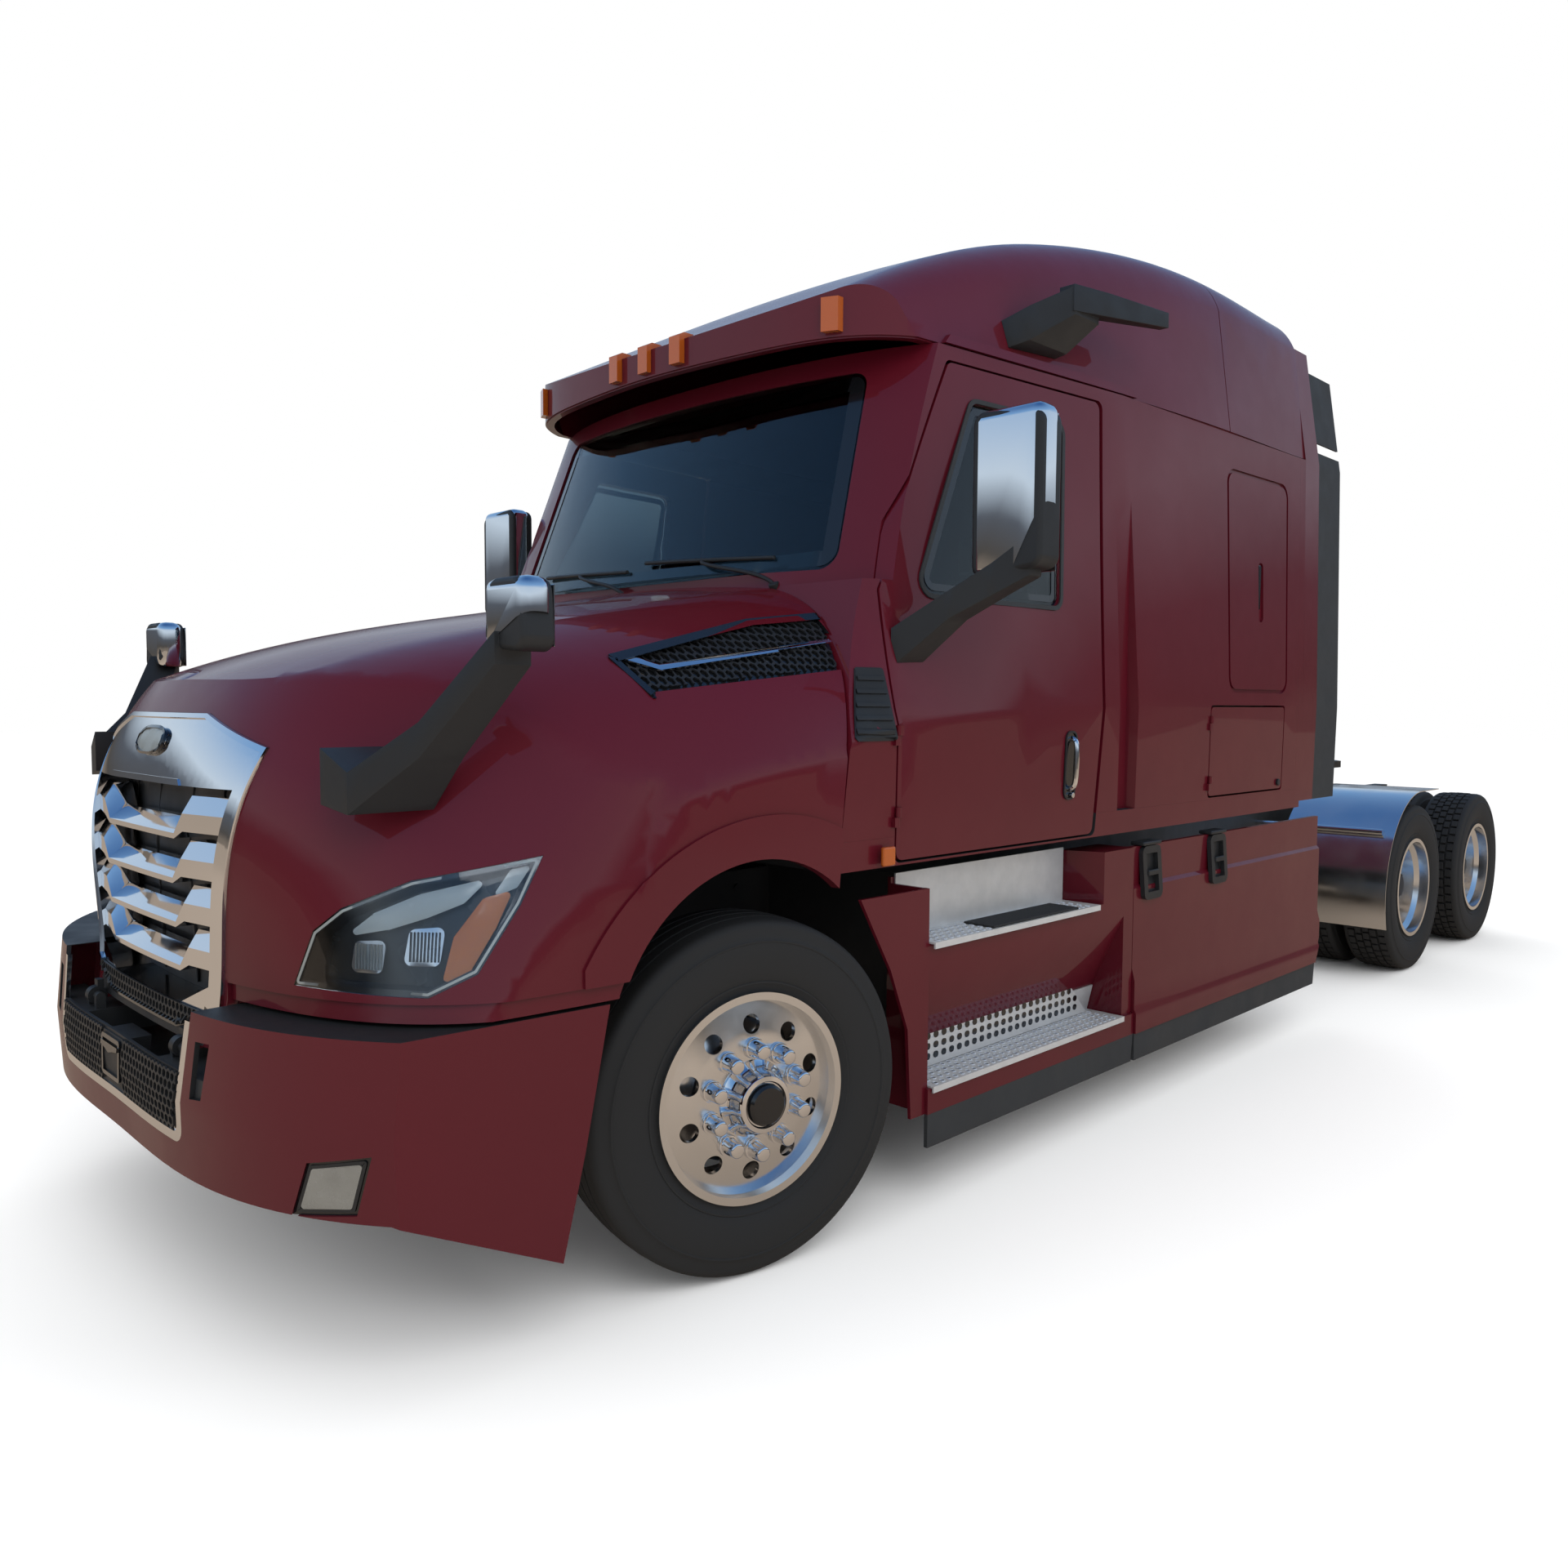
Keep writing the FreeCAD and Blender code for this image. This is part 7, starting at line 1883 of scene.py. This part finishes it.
@dataclass
class StepTrim:
    """Punched treads, the grit mat and the latches on the skirts."""

    pitch: float = 0.035
    button_radius: float = 0.0115
    button_height: float = 0.0034
    button_taper: float = 0.8
    button_wall: float = 0.002
    button_sink: float = 0.0028
    hole_share: float = 0.58
    hole_thickness: float = 0.0012
    tread_x: float = 1.136
    tread_front: float = 0.650
    tread_rows: int = 4
    upper_level: float = 0.860
    upper_rear: float = 1.625
    lower_level: float = 0.400
    lower_rear: float = 1.822
    mat: Box = ((1.128, 0.96, 0.8602), (1.254, 1.50, 0.868))
    toe_plate: tuple[Point, ...] = ((0.680, 0.402), (1.790, 0.402), (1.640, 0.556), (0.760, 0.556))
    toe_x: float = 1.1195
    toe_holes_x: float = 1.1212
    toe_thickness: float = 0.002
    toe_rows: int = 4
    toe_pitch: float = 0.044
    toe_rise: float = 0.034
    toe_first: Point = (0.725, 0.424)
    toe_hole: Point = (0.026, 0.022)
    toe_hole_corner: float = 0.0105
    toe_count: int = 23
    latch_stations: tuple[float, ...] = (2.06, 2.66)

    def build(self) -> None:
        """Fit treads, mats and latches on both sides."""
        self.fit_tread("upper", self.upper_level, self.upper_rear)
        self.fit_tread("lower", self.lower_level, self.lower_rear)
        mat = block("step_mat", self.mat, bevel=0.003, segments=1)
        both_sides(mat, GRIT_MAT, "chassis")
        self.fit_toe_holes()
        self.fit_latches()

    def fit_tread(self, name: str, level: float, rear: float) -> None:
        """Fit raised punched holes over one tread, each with a black disc of painted shade in its opening.

        Args:
            name: Which tread it is.
            level: The height of its top.
            rear: The station of its rear end.
        """
        count = int((rear - self.tread_front) / self.pitch)
        y = at(self.tread_front) + self.pitch / 2
        ring = barrel("ring", (self.tread_x, y, level + 0.0012), (0, 0, 1), self.button_radius,
                      self.button_height, sides=10, end_radius=self.button_radius * self.button_taper)
        pick(ring, "polygons", lambda face: face.normal.z > 0.9)
        with editing(ring, whole=False):
            bpy.ops.mesh.inset(thickness=self.button_wall)
            bpy.ops.transform.translate(value=(0, 0, -self.button_sink))
        # painted shade: a thin black disc in each button stands for the dark seen through the hole
        hole = barrel("hole", (self.tread_x, y, level + self.hole_thickness / 2), (0, 0, 1),
                      self.button_radius * self.hole_share, self.hole_thickness, sides=10)
        for piece in (ring, hole):
            repeated(piece, count, (0, self.pitch, 0))
            repeated(piece, self.tread_rows, (self.pitch, 0, 0))
        ring.name, hole.name = f"{name}_tread_rings", f"{name}_tread_holes"
        both_sides(ring, STEP_ALLOY, "chassis")
        both_sides(hole, GLOSS_BLACK, "chassis")

    def fit_toe_holes(self) -> None:
        """Fit the punched plate behind the lower step and its rows of larger holes, which are black plates of
        painted shade.
        """
        sheet = plate("toe_plate", self.toe_plate, self.toe_thickness, self.toe_x)
        both_sides(sheet, STEP_ALLOY, "chassis")
        rows = []
        (first_s, first_z), (wide, high) = self.toe_first, self.toe_hole
        for row in range(self.toe_rows):
            s = first_s + (row % 2 + row) * self.toe_pitch / 2
            z = first_z + self.toe_rise * row
            outline = rounded(box_of(s, z, s + wide, z + high), self.toe_hole_corner, 3)
            # painted shade: each larger hole is a black plate, as the dark seen through it
            holes = plate("toe_holes", outline, self.toe_thickness, self.toe_holes_x)
            repeated(holes, self.toe_count - row, (0, self.toe_pitch, 0))
            rows.append(holes)
        both_sides(joined("toe_holes", rows), GLOSS_BLACK, "chassis")

    def fit_latches(self) -> None:
        """Fit two hooked latches over each skirt's top edge."""
        latches = []
        for s in self.latch_stations:
            loop = skin("loop", box_of(s - 0.075, 0.835, s + 0.075, 1.048), "side_skirts", Side.FLANK,
                        offset=0.0005, thickness=0.018, width=0.03, corner=0.03)
            # painted shade: a black sheet fills each loop's opening, as the shade seen through it
            window = skin("window", box_of(s - 0.05, 0.86, s + 0.05, 1.03), "side_skirts", Side.FLANK,
                          offset=0.0003, thickness=0.002)
            hook = block("hook", ((1.19, s - 0.075, 1.0505), (1.250, s + 0.075, 1.066)), bevel=0.005)
            grip = block("grip", ((1.247, s - 0.042, 0.93), (1.258, s + 0.042, 0.952)), bevel=0.004)
            latches += [loop, window, hook, grip]
        both_sides(joined("skirt_latches", latches), BLACK_TRIM, "chassis")


@dataclass
class Cabin:
    """Upholstery and instruments that show through the glass.

    Each seat part is given by its name, half its width, its front and rear station, its foot, its top and
    its crown.
    """

    seat_x: float = 0.560
    seat_parts: tuple[tuple[str, float, float, float, float, float, float], ...] = (
        ("cushion", 0.24, 1.345, 1.81, 1.478, 1.592, 0.10),
        ("back", 0.235, 1.80, 1.905, 1.58, 2.12, 0.10),
        ("head", 0.13, 1.825, 1.915, 2.135, 2.32, 0.12))
    bunk_base_top: float = 1.56
    mattress_gap: Spot = (0.02, 0.015, 0.004)
    mattress_foot: float = 1.562
    cushion_edge: float = 0.03
    seat_fill: float = 0.8
    mattress_fill: float = 0.85
    instrument_hood: Box = ((0.36, 0.70, 1.90), (0.78, 0.93, 1.972))
    display: Box = ((-0.12, 0.90, 1.78), (0.16, 0.972, 1.925))
    vent_places: tuple[float, ...] = (-0.78, -0.3, 0.25, 0.86)
    vent_half: float = 0.05

    def build(self) -> None:
        """Fit seats, mattress and dashboard details."""
        self.fit_seats()
        self.fit_bunk()
        self.fit_dashboard()

    def cushion(self, name: str, low: Place, high: Place, crown: float) -> Piece:
        """Model a crowned cushion with pulled-in sides between two corners.

        Args:
            name: The piece's name.
            low: Its lowest corner.
            high: Its highest corner.
            crown: How far it is blown up towards a ball.

        Returns:
            The cushion.
        """
        pad = brick(name, low, high, self.cushion_edge, segments=3)
        with editing(pad):
            bpy.ops.mesh.subdivide(number_cuts=3)
        modify(pad, "CAST", factor=crown, cast_type="SPHERE", use_radius_as_size=True)
        modify(pad, "SMOOTH", factor=0.5, iterations=4)
        smooth(pad, angle=60.0)
        return pad

    def fit_seats(self) -> None:
        """Fit two sprung seats with cushions, backs and headrests."""
        for side, sign in SIDES:
            x = sign * self.seat_x
            base = block(f"seat_base_{side}", ((x - 0.18, 1.42, 1.2005), (x + 0.18, 1.76, 1.44)),
                         bevel=0.02)
            tray = block("tray", ((x - 0.24, 1.36, 1.44), (x + 0.24, 1.84, 1.475)), bevel=0.012)
            whole = dress(joined(f"seat_base_{side}", [base, tray]), BLACK_TRIM, "chassis")
            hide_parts("seats")
            pieces = [self.cushion(f"seat_{part}_{side}", (x - half, at(front), low),
                                   (x + half, at(back), high), crown)
                      for part, half, front, back, low, high, crown in self.seat_parts]
            for piece in pieces:
                dress(piece, SEAT_FABRIC, "chassis")
                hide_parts("seats")

    def fit_bunk(self) -> None:
        """Fit the mattress on its plain base."""
        low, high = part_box("bunk")
        base = brick("bunk_base", (low.x, low.y, low.z + 0.0005), (high.x, high.y, self.bunk_base_top),
                     bevel=0.01)
        dress(base, CABIN_LINER, "chassis")
        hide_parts("bunk")
        gap_x, gap_y, gap_z = self.mattress_gap
        mattress = self.cushion("mattress", (low.x + gap_x, low.y + gap_y, self.mattress_foot),
                                (high.x - gap_x, high.y - gap_y, high.z - gap_z), crown=0.04)
        dress(mattress, BUNK_FABRIC, "chassis")
        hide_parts("bunk")

    def fit_dashboard(self) -> None:
        """Fit the instruments' hood, a dark display and air vents."""
        hood = block("instrument_hood", self.instrument_hood, bevel=0.02, segments=3)
        display = block("centre_display", self.display, bevel=0.008)
        dress(joined("dash_hoods", [hood, display]), DASH_PLASTIC, "chassis")
        vents = [block("vent", ((x - self.vent_half, 0.955, 1.80), (x + self.vent_half, 0.968, 1.86)),
                       bevel=0.004, segments=1) for x in self.vent_places]
        dress(joined("dash_vents", vents), GLOSS_BLACK, "chassis")


@dataclass
class ChassisTrim:
    """Splash plates behind the front wheels, bolts on the rails and brake cylinders on the drive axles.

    Each cylinder part is given by its name, its distance behind the axle, its radius, length and bevel, and
    its sides.
    """

    splash: Box = ((0.50, 0.646, 0.36), (1.085, 0.652, 1.06))
    first_bolt: Spot = (0.436, -0.95, 0.80)
    bolt_pitch: float = 0.25
    bolt_count: int = 33
    bolt_rise: float = 0.15
    drive_stations: tuple[float, float] = (5.480, 6.800)
    cylinder_x: float = 0.30
    cylinder_z: float = 0.60
    cylinder_parts: tuple[tuple[str, float, float, float, float, int], ...] = (
        ("can", 0.235, 0.072, 0.17, 0.012, 28), ("band", 0.235, 0.079, 0.016, 0.003, 28),
        ("rod", 0.125, 0.011, 0.06, 0.0, 12))

    def build(self) -> None:
        """Fit the splash plates, the bolts and the brake cylinders."""
        splash = block("wheel_splash", self.splash, bevel=0.002, segments=1)
        both_sides(splash, BLACK_TRIM, "chassis")
        bolt = barrel("bolt", place_of(self.first_bolt), (1, 0, 0), radius=0.012, length=0.009,
                      bevel=0.0012, sides=8)
        repeated(bolt, self.bolt_count, (0, self.bolt_pitch, 0))
        repeated(bolt, 2, (0, 0, self.bolt_rise))
        bolt.name = "rail_bolts"
        both_sides(bolt, CAST_IRON, "chassis")
        for number, station in enumerate(self.drive_stations, 1):
            self.fit_cylinder(number, station)

    def fit_cylinder(self, number: int, station: float) -> None:
        """Fit a brake cylinder with its clamp band and push rod on one drive axle, left and right.

        Args:
            number: The axle's number.
            station: The axle's station.
        """
        pieces = [barrel(name, (self.cylinder_x, at(station + behind), self.cylinder_z), (0, 1, 0), radius,
                         length, bevel, sides)
                  for name, behind, radius, length, bevel, sides in self.cylinder_parts]
        both_sides(joined(f"brake_cylinder_{number}", pieces), CAST_IRON, "chassis")


def main() -> None:
    """Build the dressed truck, one sub-assembly after another."""
    logging.basicConfig(level=logging.INFO, format="%(message)s")
    PaintShop().dress_nodes()
    for assembly in (Tyre(), WheelTrim(), Nose(), Headlamps(), HoodTrim(), CabTrim(), StepTrim(), Cabin(),
                     ChassisTrim()):
        log.info("building %s", type(assembly).__name__)
        assembly.build()
    Studio().build()
    deselect_all()


if __name__ == "__main__":
    main()
